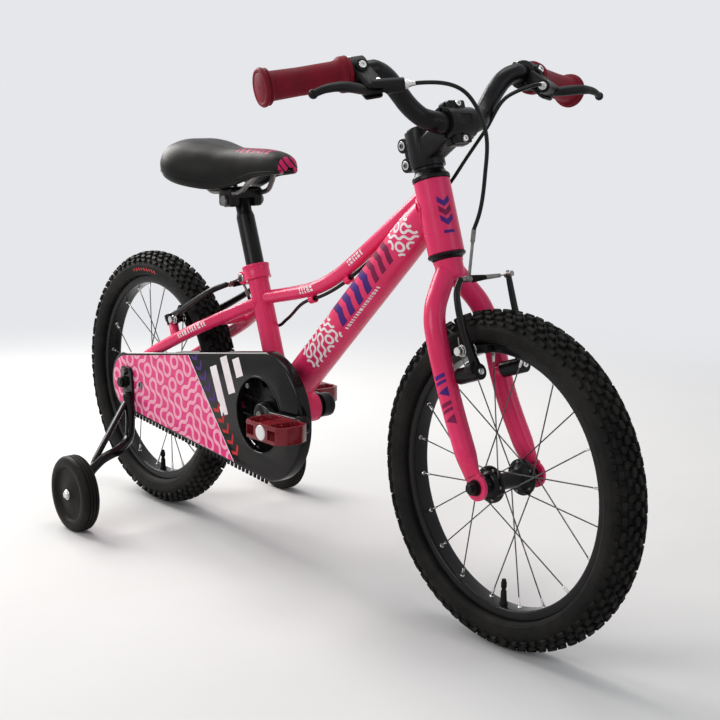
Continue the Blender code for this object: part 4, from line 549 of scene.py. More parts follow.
def shader(name, colour, roughness, metallic=0.0, **constants):
    material = bpy.data.materials.new(name)
    material.use_nodes = True
    principled = material.node_tree.nodes["Principled BSDF"]
    principled.inputs["Base Color"].default_value = (*colour, 1)
    principled.inputs["Roughness"].default_value = roughness
    principled.inputs["Metallic"].default_value = metallic
    for socket, value in constants.items():
        principled.inputs[socket.replace("_", " ")].default_value = value
    material.diffuse_color = (*colour, 1)
    return material


def add_node(material, kind, **values):
    node = material.node_tree.nodes.new(kind)
    for key, value in values.items():
        if key in node.inputs:
            node.inputs[key].default_value = value
        else:
            setattr(node, key, value)
    return node


def link(material, output, target):
    material.node_tree.links.new(output, target)


def principled_of(material):
    return material.node_tree.nodes["Principled BSDF"]


def texture(material, kind, scale, stretch=(1, 1, 1), **values):
    """Texture node in the object's own coordinates."""
    coordinates = add_node(material, "ShaderNodeTexCoord")
    mapping = add_node(material, "ShaderNodeMapping")
    mapping.inputs["Scale"].default_value = stretch
    node = add_node(material, kind, Scale=scale, **values)
    link(material, coordinates.outputs["Object"], mapping.inputs["Vector"])
    link(material, mapping.outputs["Vector"], node.inputs["Vector"])
    return node


def ramp(material, output, low, high, at=(0.0, 1.0)):
    """Colour ramp between two colours or two numbers."""
    node = add_node(material, "ShaderNodeValToRGB")
    stops = node.color_ramp.elements
    for stop, place, value in zip(stops, at, (low, high)):
        stop.position = place
        stop.color = (*value, 1) if isinstance(value, tuple) else (value, value, value, 1)
    link(material, output, node.inputs["Fac"])
    return node.outputs["Color"]


def bumped(material, output, strength, distance):
    bump = add_node(material, "ShaderNodeBump", Strength=strength, Distance=distance)
    link(material, output, bump.inputs["Height"])
    link(material, bump.outputs["Normal"], principled_of(material).inputs["Normal"])
    return bump


def mottled(material, scale, dark, light, rough_low, rough_high, at=(0.35, 0.65)):
    """Gives colour and roughness a cloudy variation."""
    cloud = texture(material, "ShaderNodeTexNoise", scale, Detail=5.0, Roughness=0.6)
    inputs = principled_of(material).inputs
    link(material, ramp(material, cloud.outputs["Fac"], dark, light, at), inputs["Base Color"])
    link(material, ramp(material, cloud.outputs["Fac"], rough_low, rough_high, at),
         inputs["Roughness"])
    return cloud


def paint(name, dark, light, rough, coat=0.5, grain=0.15):
    """Sprayed paint: a faint orange-peel skin, slight clouding and a clear coat."""
    material = shader(name, light, rough, Coat_Weight=coat, Coat_Roughness=0.12,
                      Specular_IOR_Level=0.15)
    mottled(material, 14, dark, light, rough - 0.04, rough + 0.06)
    peel = texture(material, "ShaderNodeTexNoise", 900, Detail=2.0)
    bumped(material, peel.outputs["Fac"], grain, 0.0002)
    return material


def plastic(name, dark, light, rough, grain=0.2, scale=1500, coat=0.0, shine=0.12):
    material = shader(name, light, rough, Coat_Weight=coat, Coat_Roughness=0.08,
                      Specular_IOR_Level=shine)
    mottled(material, 40, dark, light, rough - 0.05, rough + 0.08)
    skin_grain = texture(material, "ShaderNodeTexNoise", scale, Detail=3.0)
    bumped(material, skin_grain.outputs["Fac"], grain, 0.0002)
    return material


def metal(name, dark, light, rough_low, rough_high, stretch=(1, 1, 1), grain=0.1):
    material = shader(name, light, rough_low, 1.0)
    mottled(material, 60, dark, light, rough_low, rough_high)
    brushed = texture(material, "ShaderNodeTexNoise", 700, stretch, Detail=3.0)
    bumped(material, brushed.outputs["Fac"], grain, 0.0001)
    return material


def rubber(name, dark, light, rough, dust, grain=0.35):
    """Rubber with pale dust in patches."""
    material = shader(name, light, rough, Specular_IOR_Level=0.10)
    inputs = principled_of(material).inputs
    cloud = texture(material, "ShaderNodeTexNoise", 22, Detail=6.0, Roughness=0.65)
    base = add_node(material, "ShaderNodeMix", data_type="RGBA")
    link(material, ramp(material, cloud.outputs["Fac"], 0.0, 1.0, (0.42, 0.78)),
         base.inputs["Factor"])
    base.inputs["A"].default_value = (*dark, 1)
    base.inputs["B"].default_value = (*dust, 1)
    fine = texture(material, "ShaderNodeTexNoise", 260, Detail=4.0)
    mixed = add_node(material, "ShaderNodeMix", data_type="RGBA", blend_type="MULTIPLY")
    mixed.inputs["Factor"].default_value = 0.5
    link(material, base.outputs["Result"], mixed.inputs["A"])
    link(material, ramp(material, fine.outputs["Fac"], 0.6, 1.2, (0.3, 0.7)),
         mixed.inputs["B"])
    link(material, mixed.outputs["Result"], inputs["Base Color"])
    link(material, ramp(material, fine.outputs["Fac"], rough - 0.06, rough + 0.08),
         inputs["Roughness"])
    bumped(material, fine.outputs["Fac"], grain, 0.0004)
    return material


# Finishes

PINK = paint("pink_paint", (0.66, 0.024, 0.105), (0.78, 0.034, 0.140), 0.28, coat=0.16)
BLACK_METAL = plastic("black_metal", (0.004, 0.004, 0.0045), (0.008, 0.008, 0.009), 0.30, 0.1,
                      coat=0.05)
RIM_BLACK = plastic("rim_black", (0.004, 0.004, 0.0045), (0.008, 0.008, 0.009), 0.26, 0.06,
                    coat=0.08)
GLOSS_BLACK = plastic("gloss_black", (0.004, 0.0035, 0.0035), (0.007, 0.006, 0.006), 0.16,
                      0.05, coat=0.15)
BLACK_PLASTIC = plastic("black_plastic", (0.006, 0.006, 0.006), (0.011, 0.011, 0.011), 0.44,
                        0.35)
BRIGHT_STEEL = metal("bright_steel", (0.52, 0.52, 0.51), (0.74, 0.73, 0.71), 0.20, 0.36)
DARK_STEEL = metal("dark_steel", (0.10, 0.095, 0.09), (0.24, 0.23, 0.22), 0.32, 0.50)
SPOKE_STEEL = metal("spoke_steel", (0.06, 0.06, 0.06), (0.13, 0.13, 0.13), 0.30, 0.45)
TYRE_RUBBER = rubber("tyre_rubber", (0.006, 0.0058, 0.0055), (0.010, 0.0095, 0.009), 0.58,
                     (0.022, 0.020, 0.018))
SIDE_RUBBER = rubber("side_wheel_rubber", (0.007, 0.0065, 0.006), (0.011, 0.010, 0.009), 0.5,
                     (0.024, 0.022, 0.020))
BLACK_RUBBER = rubber("black_rubber", (0.006, 0.006, 0.006), (0.010, 0.010, 0.010), 0.55,
                      (0.016, 0.015, 0.014))
GRIP_RUBBER = plastic("grip_rubber", (0.145, 0.006, 0.015), (0.200, 0.008, 0.020), 0.56, 0.5,
                      900)
CABLE_SKIN = plastic("cable_skin", (0.005, 0.005, 0.005), (0.009, 0.009, 0.009), 0.30, 0.08,
                     coat=0.08)
PURPLE_INK = plastic("purple_ink", (0.050, 0.016, 0.150), (0.075, 0.022, 0.200), 0.35, 0.05)
RED_INK = plastic("red_ink", (0.42, 0.018, 0.018), (0.55, 0.030, 0.030), 0.40, 0.05)
WINE_INK = plastic("wine_ink", (0.150, 0.010, 0.050), (0.220, 0.014, 0.070), 0.36, 0.05)
WHITE_INK = plastic("white_ink", (0.78, 0.70, 0.72), (0.86, 0.79, 0.81), 0.38, 0.05)
ROSE_INK = plastic("rose_ink", (0.84, 0.33, 0.46), (0.90, 0.42, 0.54), 0.36, 0.05)


# Wheels, drawn round Z with +Y down and +Z to the bicycle's left

TREAD_REPEATS = 72
TREAD_ROWS = ((8.5, 0.0100, 11.0, 0.0050), (25.5, 0.0085, 11.5, 0.0049),
              (42.5, 0.0105, 11.0, 0.0046), (59.5, 0.0076, 12.0, 0.0040))
SIDEWALL_RIDGES = ((78.0, 0.0008, 1.8), (84.0, 0.0005, 1.4), (113.0, 0.0007, 2.2),
                   (121.0, 0.0005, 1.6))


def on_wheel(mesh, centre):
    return moved(mesh, Matrix.Translation(centre) @ WHEEL_TURN)


def casing_point(turn, across, lift=0.0):
    """Point on the tyre at an angle round the wheel and an angle across its section."""
    radius = SECTION_CENTRE_RADIUS + (SECTION_HALF_HEIGHT + lift) * math.cos(across)
    return Vector((radius * math.cos(turn), radius * math.sin(turn),
                   (SECTION_HALF_WIDTH + lift * 0.9) * math.sin(across)))


def casing():
    """Tyre casing with ridge lines on its sidewalls and its beads inside the rim."""
    side = [(0.1500, 0.0100), (0.1500, 0.0104), (0.1588, 0.0107), (0.1592, 0.0140)]
    crown = []
    for step in range(65):
        angle = math.radians(128 - 256 * step / 64)
        lift = sum(height * math.exp(-((abs(math.degrees(angle)) - place) / width) ** 2)
                   for place, height, width in SIDEWALL_RIDGES)
        point = casing_point(0, angle, lift)
        crown.append((point.x, point.z))
    inside = [(0.1600, -0.0098), (0.1850, -0.0140), (0.1850, 0.0140), (0.1600, 0.0098)]
    profile = side + crown + [(r, -h) for r, h in reversed(side)] + inside
    return turned(profile, 144)


def tread_block(bm, turn, across, long, wide, height, flip):
    """Chamfered rubber block on the casing."""
    slant = 0.15 * wide * flip
    cut_off = 0.18
    outline = [(-0.5, -0.5), (0.5 - cut_off, -0.5), (0.5, -0.5 + cut_off), (0.5, 0.5),
               (cut_off - 0.5, 0.5), (-0.5, 0.5 - cut_off)]
    rings = []
    for grow, lift in ((1.14, -0.0006), (1.0, height - 0.0007), (0.84, height)):
        ring = []
        for s, t in outline:
            t *= flip
            place = across + wide * grow * t + slant * s
            around = turn + long / TREAD_RADIUS * grow * s
            ring.append(bm.verts.new(casing_point(around, place, lift)))
        rings.append(ring)
    skin(bm, rings[0], rings[1])
    skin(bm, rings[1], rings[2])
    bm.faces.new(rings[2])


def tread(seed):
    """Staggered rows of blocks, each a little different."""
    chance = random.Random(seed)
    bm = bmesh.new()
    for index in range(TREAD_REPEATS):
        for row, (across, long, wide, height) in enumerate(TREAD_ROWS):
            for side in (-1, 1):
                stagger = 0.5 * ((row + (side > 0)) % 2)
                turn = 2 * math.pi * (index + stagger + chance.uniform(-0.05, 0.05))
                tread_block(bm, turn / TREAD_REPEATS,
                            side * math.radians(across + chance.uniform(-0.8, 0.8)),
                            long * chance.uniform(0.88, 1.10),
                            math.radians(wide) * chance.uniform(0.9, 1.06), height,
                            side if (index + row) % 2 else -side)
    return mesh_of(bm)


def sidewall_dashes():
    """Row of small slanted marks on the right sidewall."""
    bm = bmesh.new()
    for index in range(9):
        middle = math.radians(-102.5 + index * 2.6)
        tall = 0.120 if index % 3 else 0.085
        corners = []
        for s, t in ((-0.015, -tall), (0.009, -tall), (0.019, tall), (-0.005, tall)):
            corners.append(bm.verts.new(casing_point(middle + s, -math.radians(98) - t, 0.0003)))
        bm.faces.new(corners)
    return mesh_of(bm)


def rim():
    """Deep box rim with rounded inner edges."""
    half = [(RIM_RADIUS, 0.0109), (RIM_RADIUS, 0.0125), (0.1578, 0.0128),
            (0.1545, 0.0124), (0.1505, 0.0124), (0.1490, 0.0119), (0.1480, 0.0108),
            (RIM_RADIUS - RIM_DEPTH, 0.0088)]
    inside = [(0.1525, -0.0107), (0.1500, -0.0070), (0.1500, 0.0070), (0.1525, 0.0107)]
    return turned(half + [(r, -h) for r, h in reversed(half)] + inside, 144)


def spoke_lines(right_flange, left_flange):
    """Head, hole, bend and rim end of each spoke."""
    lines = []
    for side, flange in ((-1, right_flange), (1, left_flange)):
        for index in range(SPOKES_A_SIDE):
            hole = 2 * math.pi * index / SPOKES_A_SIDE
            turn = (SPOKE_SWEEP if index % 2 else -SPOKE_SWEEP) * side
            outset = 0.0026 if index % 2 else -0.0026
            reach = Vector((math.cos(hole), math.sin(hole), 0))
            end = Vector((SPOKE_END_RADIUS * math.cos(hole + turn),
                          SPOKE_END_RADIUS * math.sin(hole + turn), side * 0.0030))
            heights = (flange - outset * 0.95, flange, flange + outset)
            lines.append([*(SPOKE_CIRCLE * reach + Vector((0, 0, side * height))
                            for height in heights), end])
    return lines


def spokes(right_flange, left_flange):
    wires, nipples, heads = [], [], []
    for head, hole, bend, end in spoke_lines(right_flange, left_flange):
        run = (end - bend).normalized()
        route = [head, hole, bend - 0.0006 * (bend - hole).normalized(), bend + run * 0.0015,
                 bend + run * 0.004, end]
        wires.append(sweep(route, 0.0008, 10))
        nipples.append(rod(end + run * 0.0006, end - run * 0.0110, 0.0020, 12, 0.0014, 0.0003))
        nipples.append(rod(end + run * 0.0006, end - run * 0.0012, 0.0030, 12, 0.0024, 0.0003))
        out = (head - hole).normalized()
        heads.append(rod(head, head + out * 0.0010, 0.0021, 12, 0.0012))
    return gathered(*wires), gathered(*nipples), gathered(*heads)


def hub_shell(right, left, end):
    """Barrel with two thick flanges, bored for the axle."""
    def half(flange):
        return [(AXLE_BORE, end), (0.0082, end), (0.0088, end - 0.0007), (0.0088, flange + 0.0070),
                (0.0120, flange + 0.0062), (0.0150, flange + 0.0040), (0.0158, flange + 0.0021),
                (0.0206, flange + 0.0021), (FLANGE_RADIUS, flange + 0.0014),
                (FLANGE_RADIUS, flange - 0.0014), (0.0206, flange - 0.0021),
                (0.0158, flange - 0.0021), (0.0146, flange - 0.0036), (0.0114, flange - 0.0056),
                (0.0097, flange - 0.0080)]
    profile = half(left) + [(r, -h) for r, h in reversed(half(right))]
    return softened(turned(profile, 72), 0.0004, 2)


def hub_ring(flange):
    """Thin bright ring round the barrel beside the right flange."""
    return ring((0, 0, 0.0092 - flange), (0, 0, 0.0108 - flange), 0.0094, 0.0110, 48)


def valve():
    """Rubber valve with a ribbed cap, at the bottom of the rim."""
    outer = SPOKE_END_RADIUS
    stem = [(0, outer - 0.0300), (0.0022, outer - 0.0300), (0.0027, outer - 0.0293),
            (0.0027, outer - 0.0270), (0.0031, outer - 0.0266), (0.0031, outer - 0.0195),
            (0.0026, outer - 0.0190), (0.0026, outer - 0.0165), (0.0034, outer - 0.0155),
            (0.0036, outer - 0.0100), (0.0040, outer - 0.0030), (0.0052, outer - 0.0006),
            (0.0052, outer), (0, outer)]
    cap = []
    for index in range(12):
        angle = 2 * math.pi * index / 12
        spot = (0.0031 * math.cos(angle), 0.0031 * math.sin(angle))
        cap.append(rod((*spot, outer - 0.0262), (*spot, outer - 0.0200), 0.00042, 6))
    return moved(gathered(turned(stem, 32), *cap), WHEEL_TURN)


def thread(start, end, radius, pitch=0.0010):
    """Threaded end of an axle or bolt."""
    start, end = Vector(start), Vector(end)
    length = (end - start).length
    profile = [(0, 0), (radius, 0)]
    count = int((length - 0.001) / pitch)
    for index in range(count):
        low = 0.0003 + index * pitch
        profile += [(radius, low), (radius - 0.0004, low + pitch * 0.5)]
    profile += [(radius, length - 0.0010), (radius - 0.0007, length), (0, length)]
    return moved(turned(profile, 32), along(start, end))


def flange_nut(side, start, radius=0.0082, length=0.0080):
    """Axle nut with its washer, on the given side of the wheel."""
    washer = ring((0, 0, side * start), (0, 0, side * (start + 0.0016)), AXLE_BORE, 0.0095)
    nut = hex_head((0, 0, side * (start + 0.0016)), (0, 0, side * (start + length)), radius)
    return gathered(washer, nut)


def build_wheel(end, centre, right_flange, left_flange, half_length, nut_start, body, holder):
    wires, nipples, heads = spokes(right_flange, left_flange)
    marks = [(on_wheel(sidewall_dashes(), centre), RED_INK)] if end == "rear" else []
    piece(f"{end}_tyre_tread", body,
          [(on_wheel(casing(), centre), TYRE_RUBBER),
           (on_wheel(tread(len(end)), centre), TYRE_RUBBER), *marks],
          f"{end}_tyre", "tyre_rubber")
    piece(f"{end}_rim_ring", body, [(on_wheel(rim(), centre), RIM_BLACK)], f"{end}_rim",
          "black_metal")
    piece(f"{end}_hub_and_spokes", body,
          [(on_wheel(hub_shell(right_flange, left_flange, half_length - CLEARANCE), centre),
            BLACK_METAL),
           (on_wheel(wires, centre), SPOKE_STEEL), (on_wheel(heads, centre), DARK_STEEL),
           (on_wheel(hub_ring(right_flange), centre), BRIGHT_STEEL)],
          f"{end}_hub", "black_metal")
    piece(f"{end}_nipples", body, [(on_wheel(nipples, centre), BRIGHT_STEEL)],
          slot="bright_steel")
    piece(f"{end}_valve_stem", body, [(on_wheel(valve(), centre), BLACK_RUBBER)],
          f"{end}_valve", "black_rubber")
    reach = nut_start + (0.0110 if end == "front" else 0.0090)
    nuts = gathered(flange_nut(-1, nut_start), flange_nut(1, nut_start))
    piece(f"{end}_axle_and_nuts", holder,
          [(on_wheel(thread((0, 0, -reach), (0, 0, reach), AXLE_RADIUS), centre), BLACK_METAL),
           (on_wheel(nuts, centre), BLACK_METAL)],
          f"{end}_axle", "dark_steel")


# Frame

def seat_point(height):
    return SEAT_FOOT + height * SEAT_DIRECTION


def head_point(height):
    return STEERING @ Vector((0, 0, height))


def top_tube_line():
    start = seat_point(SEAT_TUBE_LENGTH - 0.0450)
    end = head_point(HEAD_TUBE_LENGTH - 0.0075)
    bend = start + Vector((0.1500, 0, 0.0310))
    into = bend + (start - bend) * 0.36
    out = bend + (end - bend) * 0.27
    return [start, *(bezier(into, bend, out, step / 6) for step in range(7)), end]


def down_tube_line():
    return [BRACKET + Vector((-0.0060, 0, 0.0240)), head_point(HEAD_TUBE_LENGTH - 0.0270)]


def stay_end_y():
    return (REAR_SPACING + DROPOUT_THICKNESS) / 2


def chainstay_line():
    tyre_side = TYRE_HALF_WIDTH + STAY_RADIUS + 0.005
    return [BRACKET + Vector((-0.010, -0.020, -0.002)),
            BRACKET + Vector((-0.060, -0.023, -0.003)),
            BRACKET + Vector((-0.160, -tyre_side, -0.005)),
            Vector((REAR_AXLE.x + 0.110, -tyre_side - 0.005, AXLE_HEIGHT + 0.002)),
            Vector((REAR_AXLE.x + 0.016, -stay_end_y(), AXLE_HEIGHT))]


def seatstay_line():
    top = seat_point(SEAT_TUBE_LENGTH - 0.0520) + Vector((-0.004, -0.007, 0))
    foot = REAR_AXLE + Vector((0.004, -stay_end_y(), 0.0280))
    tyre_side = TYRE_HALF_WIDTH + STAY_RADIUS + 0.006
    run = foot - top
    return [top,
            top + Vector((run.x * 0.16, -0.016, run.z * 0.16)),
            Vector((top.x + run.x * 0.36, -tyre_side, top.z + run.z * 0.36)),
            Vector((top.x + run.x * 0.66, -stay_end_y() + 0.0010, top.z + run.z * 0.66)),
            foot]


def tapered(route, radius, shares, count=32, sides=32):
    return sweep(smooth_line(route, count), radius, sides,
                 smooth_values(shares, route, count))


def rear_dropout():
    """Plate that joins the two stays, with a slot for the axle that opens backward."""
    slot = AXLE_RADIUS + CLEARANCE
    outline = [
        (-0.018, slot), *arc((0, 0), slot, math.pi / 2, -math.pi / 2, 12), (-0.018, -slot),
        *rounded([(-0.016, -0.013), (0.000, -0.016), (0.026, -0.010), (0.030, 0.003),
                  (0.016, 0.033), (0.002, 0.036), (-0.008, 0.030), (-0.016, 0.014)], 0.006)]
    flat = softened(plate(outline, DROPOUT_THICKNESS), 0.0006)
    return moved(upright(flat, -stay_end_y()), Matrix.Translation(REAR_AXLE))


def rear_brake_matrix():
    """Frame at the rear brake's pivots: X along the post, Z along the arm, Y to the right."""
    across = Vector((-math.sin(REAR_BRAKE_ANGLE), 0, math.cos(REAR_BRAKE_ANGLE)))
    upward = Vector((math.cos(REAR_BRAKE_ANGLE), 0, math.sin(REAR_BRAKE_ANGLE)))
    reach = math.sqrt(BRAKE_PAD_RADIUS ** 2 - REAR_BRAKE_OFFSET ** 2) - BRAKE_PAD_RISE
    matrix = Matrix.Identity(4)
    matrix.col[0][:3] = across
    matrix.col[1][:3] = (0, -1, 0)
    matrix.col[2][:3] = upward
    matrix.translation = REAR_AXLE + reach * upward + REAR_BRAKE_OFFSET * across
    return matrix


def front_brake_matrix():
    """Frame at the front brake's pivots, in the fork's own coordinates."""
    forward = BRAKE_PLANE_FORWARD - FORK_RAKE
    rise = math.sqrt(BRAKE_PAD_RADIUS ** 2 - forward ** 2) - BRAKE_PAD_RISE
    return Matrix.Translation((BRAKE_PLANE_FORWARD, 0, rise - FORK_LENGTH))


def brake_post(matrix, root, shoulder):
    """Boss that a brake arm's pivot stands on, drawn in the brake's frame."""
    return moved(rod(root, shoulder, 0.0070, 32, None, 0.0006), matrix)


def weld(point, run, radius, axis_point, axis, other, size=0.0016):
    """Rippled bead where a tube from point along run meets a round tube about axis."""
    run, axis = Vector(run).normalized(), Vector(axis).normalized()
    side = run.cross(axis).normalized()
    up = run.cross(side)
    across = run - run.dot(axis) * axis
    count = max(48, int(radius * 2 * math.pi / 0.0011))
    loop = []
    for step in range(count):
        angle = 2 * math.pi * step / count
        spot = Vector(point) + radius * (math.cos(angle) * side + math.sin(angle) * up)
        offset = spot - Vector(axis_point)
        offset -= offset.dot(axis) * axis
        b = offset.dot(across)
        inside = b * b - across.length_squared * (offset.length_squared - other ** 2)
        loop.append(spot + run * ((-b + math.sqrt(max(inside, 0))) / across.length_squared))
    ripple = [1.0 + 0.10 * math.cos(step * math.pi * 0.66) for step in range(count)]
    return sweep(loop, size, 8, ripple, closed=True)


def cable_line_under_top_tube():
    """Points under the top tube where its guides hold the rear brake cable."""
    line = top_tube_line()
    points = []
    for index in (2, 6):
        run = (line[index + 1] - line[index - 1]).normalized()
        below = Vector((run.z, 0, -run.x))
        points.append((line[index] + 0.0128 * below, run, below))
    return points


def cable_guides():
    """Small brazed loops under the top tube."""
    loops = []
    for centre, run, below in cable_line_under_top_tube():
        sleeve = ring(centre - 0.005 * run, centre + 0.005 * run, CABLE_RADIUS + 0.0012,
                      CABLE_RADIUS + 0.0032, 32)
        web = block((-0.0042, -0.0022, -0.0022), (0.0042, 0.0022, 0.0022), 0.0009)
        turn = Matrix((run, (0, 1, 0), -below)).transposed().to_4x4()
        loops += [sleeve, moved(web, Matrix.Translation(centre - 0.0052 * below) @ turn)]
    return gathered(*loops)


def guard_bosses():
    """Posts on the right stay that the chain guard is screwed to."""
    inner = -GUARD_FACE_Y + GUARD_WALL + CLEARANCE
    spots = [((REAR_AXLE.x + 0.043, -stay_end_y() + 0.004, AXLE_HEIGHT + 0.001),
              (REAR_AXLE.x + 0.043, inner, AXLE_HEIGHT + 0.001)),
             (BRACKET + Vector((-0.105, -0.024, -0.004)),
              (BRACKET.x - 0.105, inner, BRACKET.z - 0.004))]
    return gathered(*(rod(start, end, 0.0040, 24, None, 0.0004) for start, end in spots))


def open_tube(low, high, radius, wall, edge=0.0008):
    """Round tube with rounded rims, open at both ends."""
    length = (high - low).length
    profile = [(radius - wall, 0), (radius - edge, 0), (radius, edge),
               (radius, length - edge), (radius - edge, length), (radius - wall, length)]
    return moved(turned(profile, 72), along(low, high))


def frame_tubes():
    foot, top = down_tube_line()
    run = (top - foot).normalized()
    span = (top - foot).length
    down = sweep([foot + run * span * share for share in
                  (0, 0.03, 0.3, 0.6, 0.80, 0.86, 0.90, 0.94, 0.965)], DOWN_TUBE_RADIUS, 64,
                 [0.86, 1, 1, 1, 1, 0.985, 0.955, 0.90, 0.86])
    stays = [tapered(chainstay_line(), STAY_RADIUS, [1, 1, 1, 0.9, 0.705]),
             tapered(seatstay_line(), STAY_RADIUS, [1, 1, 1, 0.95, 0.705]), rear_dropout(),
             brake_post(rear_brake_matrix(), (-0.0309, -0.0465, 0.0293), (0, -0.0340, 0.0120))]
    cross = seatstay_line()[2]
    bridge = rod((cross.x + 0.016, -0.034, cross.z + 0.008),
                 (cross.x + 0.016, 0.034, cross.z + 0.008), 0.0055, 28)
    return gathered(
        open_tube(head_point(0), head_point(HEAD_TUBE_LENGTH), HEAD_TUBE_RADIUS, 0.0042),
        open_tube(SEAT_FOOT, SEAT_TOP, SEAT_TUBE_RADIUS, 0.0012),
        open_tube(BRACKET - Vector((0, SHELL_WIDTH / 2, 0)),
                  BRACKET + Vector((0, SHELL_WIDTH / 2, 0)), SHELL_RADIUS, 0.0050),
        down, sweep(smooth_line(top_tube_line(), 56), TOP_TUBE_RADIUS, 36),
        *stays, *(mirrored(mesh) for mesh in stays), bridge, cable_guides(), guard_bosses())


def frame_welds():
    foot, top = down_tube_line()
    line = top_tube_line()
    steer = STEERING.to_3x3() @ Vector((0, 0, 1))
    side = Vector((0, 1, 0))
    stay = seatstay_line()
    right = [weld(stay[0], stay[1] - stay[0], STAY_RADIUS, SEAT_FOOT, SEAT_DIRECTION,
                  SEAT_TUBE_RADIUS, 0.0013)]
    return gathered(
        weld(top, foot - top, 0.0205, head_point(0), steer, HEAD_TUBE_RADIUS, 0.0019),
        weld(line[-1], line[-2] - line[-1], TOP_TUBE_RADIUS, head_point(0), steer,
             HEAD_TUBE_RADIUS),
        weld(line[0], line[1] - line[0], TOP_TUBE_RADIUS, SEAT_FOOT, SEAT_DIRECTION,
             SEAT_TUBE_RADIUS),
        weld(BRACKET + Vector((-0.024, 0, 0)), SEAT_DIRECTION, SEAT_TUBE_RADIUS, BRACKET, side,
             SHELL_RADIUS),
        weld(foot, top - foot, DOWN_TUBE_RADIUS, BRACKET, side, SHELL_RADIUS),
        *right, *(mirrored(mesh) for mesh in right))


def headset_rings():
    """Black cups at both ends of the head tube, in the fork's coordinates."""
    upper = turned([(0.0145, -0.004), (0.0145, 0.0112), (0.0165, 0.0115), (0.0183, 0.0108),
                    (0.0190, 0.0085), (0.0206, 0.0070), (0.0222, 0.0052), (CUP_RADIUS, 0.0044),
                    (CUP_RADIUS, 0.0008), (0.0220, 0.0003), (0.0172, 0.0003), (0.0170, -0.004)], 72)
    lower = moved(upper, Matrix.Rotation(math.pi, 4, "X") @ Matrix.Scale(0.62, 4, (0, 0, 1)))
    return moved(upper, Matrix.Translation((0, 0, HEAD_TUBE_LENGTH))), lower


def bracket_cup():
    """Right-hand bottom bracket cup."""
    edge = SHELL_WIDTH / 2
    cup = turned([(0.0088, edge - 0.004), (0.0088, edge + 0.0015), (0.0100, edge + 0.0022),
                  (0.0192, edge + 0.0022), (0.0200, edge + 0.0016), (0.0200, edge + 0.0003),
                  (0.0148, edge + 0.0003), (0.0148, edge - 0.004)], 72)
    return moved(cup, Matrix.Translation(BRACKET) @ UPRIGHT)


def build_frame():
    piece("frame_tubing", "frame", [(frame_tubes(), PINK), (frame_welds(), PINK)], "frame",
          "pink_paint")
    upper, lower = headset_rings()
    for name, mesh, node in (
            ("upper_headset_ring", moved(upper, STEERING), "headset_upper_cup"),
            ("lower_headset_ring", moved(lower, STEERING), "headset_lower_cup"),
            ("right_bracket_cup", bracket_cup(), "bb_cup_right"),
            ("left_bracket_cup", mirrored(bracket_cup()), "bb_cup_left")):
        piece(name, "frame", [(mesh, BLACK_METAL)], node, "black_metal")


# Fork, in coordinates whose Z is the steering axis

def fork_blade_line():
    return [(0, -0.0035, -0.0180), (0, -0.0130, -0.0300), (0, -0.0240, -0.0450),
            (0.0005, -0.0335, -0.0590), (0.0010, -0.0400, -0.0760),
            (0.0020, -BLADE_SPREAD, -0.1060),
            (FORK_RAKE * 0.14, -BLADE_SPREAD, -FORK_LENGTH * 0.554),
            (FORK_RAKE * 0.28, -BLADE_SPREAD - 0.0005, -FORK_LENGTH * 0.684),
            (FORK_RAKE * 0.55, -FORK_SPACING / 2 - 0.0005, -FORK_LENGTH * 0.820),
            (FORK_RAKE - 0.0035, -FORK_SPACING / 2 - 0.0020, -FORK_LENGTH + 0.0130)]


def fork_blade():
    """Blade that curves out of the crown and flattens into its dropout."""
    route = fork_blade_line()
    count = 64
    line = smooth_line(route, count)
    scales = smooth_values([1, 1, 1, 1, 1, 1, 1, 0.99, 0.97, 0.95], route, count)
    bm = bmesh.new()
    rings = []
    for index, centre in enumerate(line):
        run = (line[min(index + 1, count - 1)] - line[max(index - 1, 0)]).normalized()
        side = Vector((1, 0, 0))
        side = (side - run * side.dot(run)).normalized()
        up = run.cross(side)
        near = max(0.0, 1 - (count - 1 - index) / 7)
        thick = BLADE_RADIUS * scales[index] * (1 - 0.62 * near ** 1.5)
        wide = BLADE_RADIUS * scales[index]
        rings.append([bm.verts.new(centre + side * wide * math.cos(a) + up * thick * math.sin(a))
                      for a in (2 * math.pi * step / 40 for step in range(40))])
    return lofted(bm, rings)


def fork_dropout():
    """Round-ended plate round the front axle."""
    radius = 0.0155
    outline = [*rounded([(-0.0150, 0.0090), (-0.0125, 0.0160), (0.0040, 0.0200),
                         (0.0120, 0.0125)], 0.0025),
               *arc((0, 0), radius, math.pi * 0.22, -math.pi, 40)]
    flat = softened(plate(outline, DROPOUT_THICKNESS), 0.0009)
    mesh = upright(flat, -(FORK_SPACING + DROPOUT_THICKNESS) / 2)
    return moved(mesh, Matrix.Translation((FORK_RAKE, 0, -FORK_LENGTH)))


def build_fork():
    seat = -CUP_HEIGHT * 0.62 - CLEARANCE
    crown = turned([(0, -0.0330), (0.0120, -0.0325), (0.0155, -0.0300), (0.0168, -0.0260),
                    (0.0168, seat - 0.0045), (0.0178, seat - 0.0020),
                    (0.0178, seat - 0.0004), (0.0172, seat), (0, seat)], 72)
    steerer = rod((0, 0, -0.020), (0, 0, STEM_BOTTOM + STEM_HEIGHT - 0.001), STEERER_RADIUS, 48)
    right = [fork_blade(), fork_dropout(),
             brake_post(front_brake_matrix(), (-0.0300, -0.0350, 0), (0.0062, -0.0350, 0))]
    pink = gathered(crown, *right, *(mirrored(mesh) for mesh in right))
    piece("fork_blades", "steering", [(moved(pink, STEERING), PINK),
                                      (moved(steerer, STEERING), DARK_STEEL)], "fork",
          "pink_paint")


# Printed patterns

PINK_INK = plastic("pink_ink", (0.68, 0.036, 0.185), (0.76, 0.046, 0.215), 0.26, 0.04, coat=0.1)


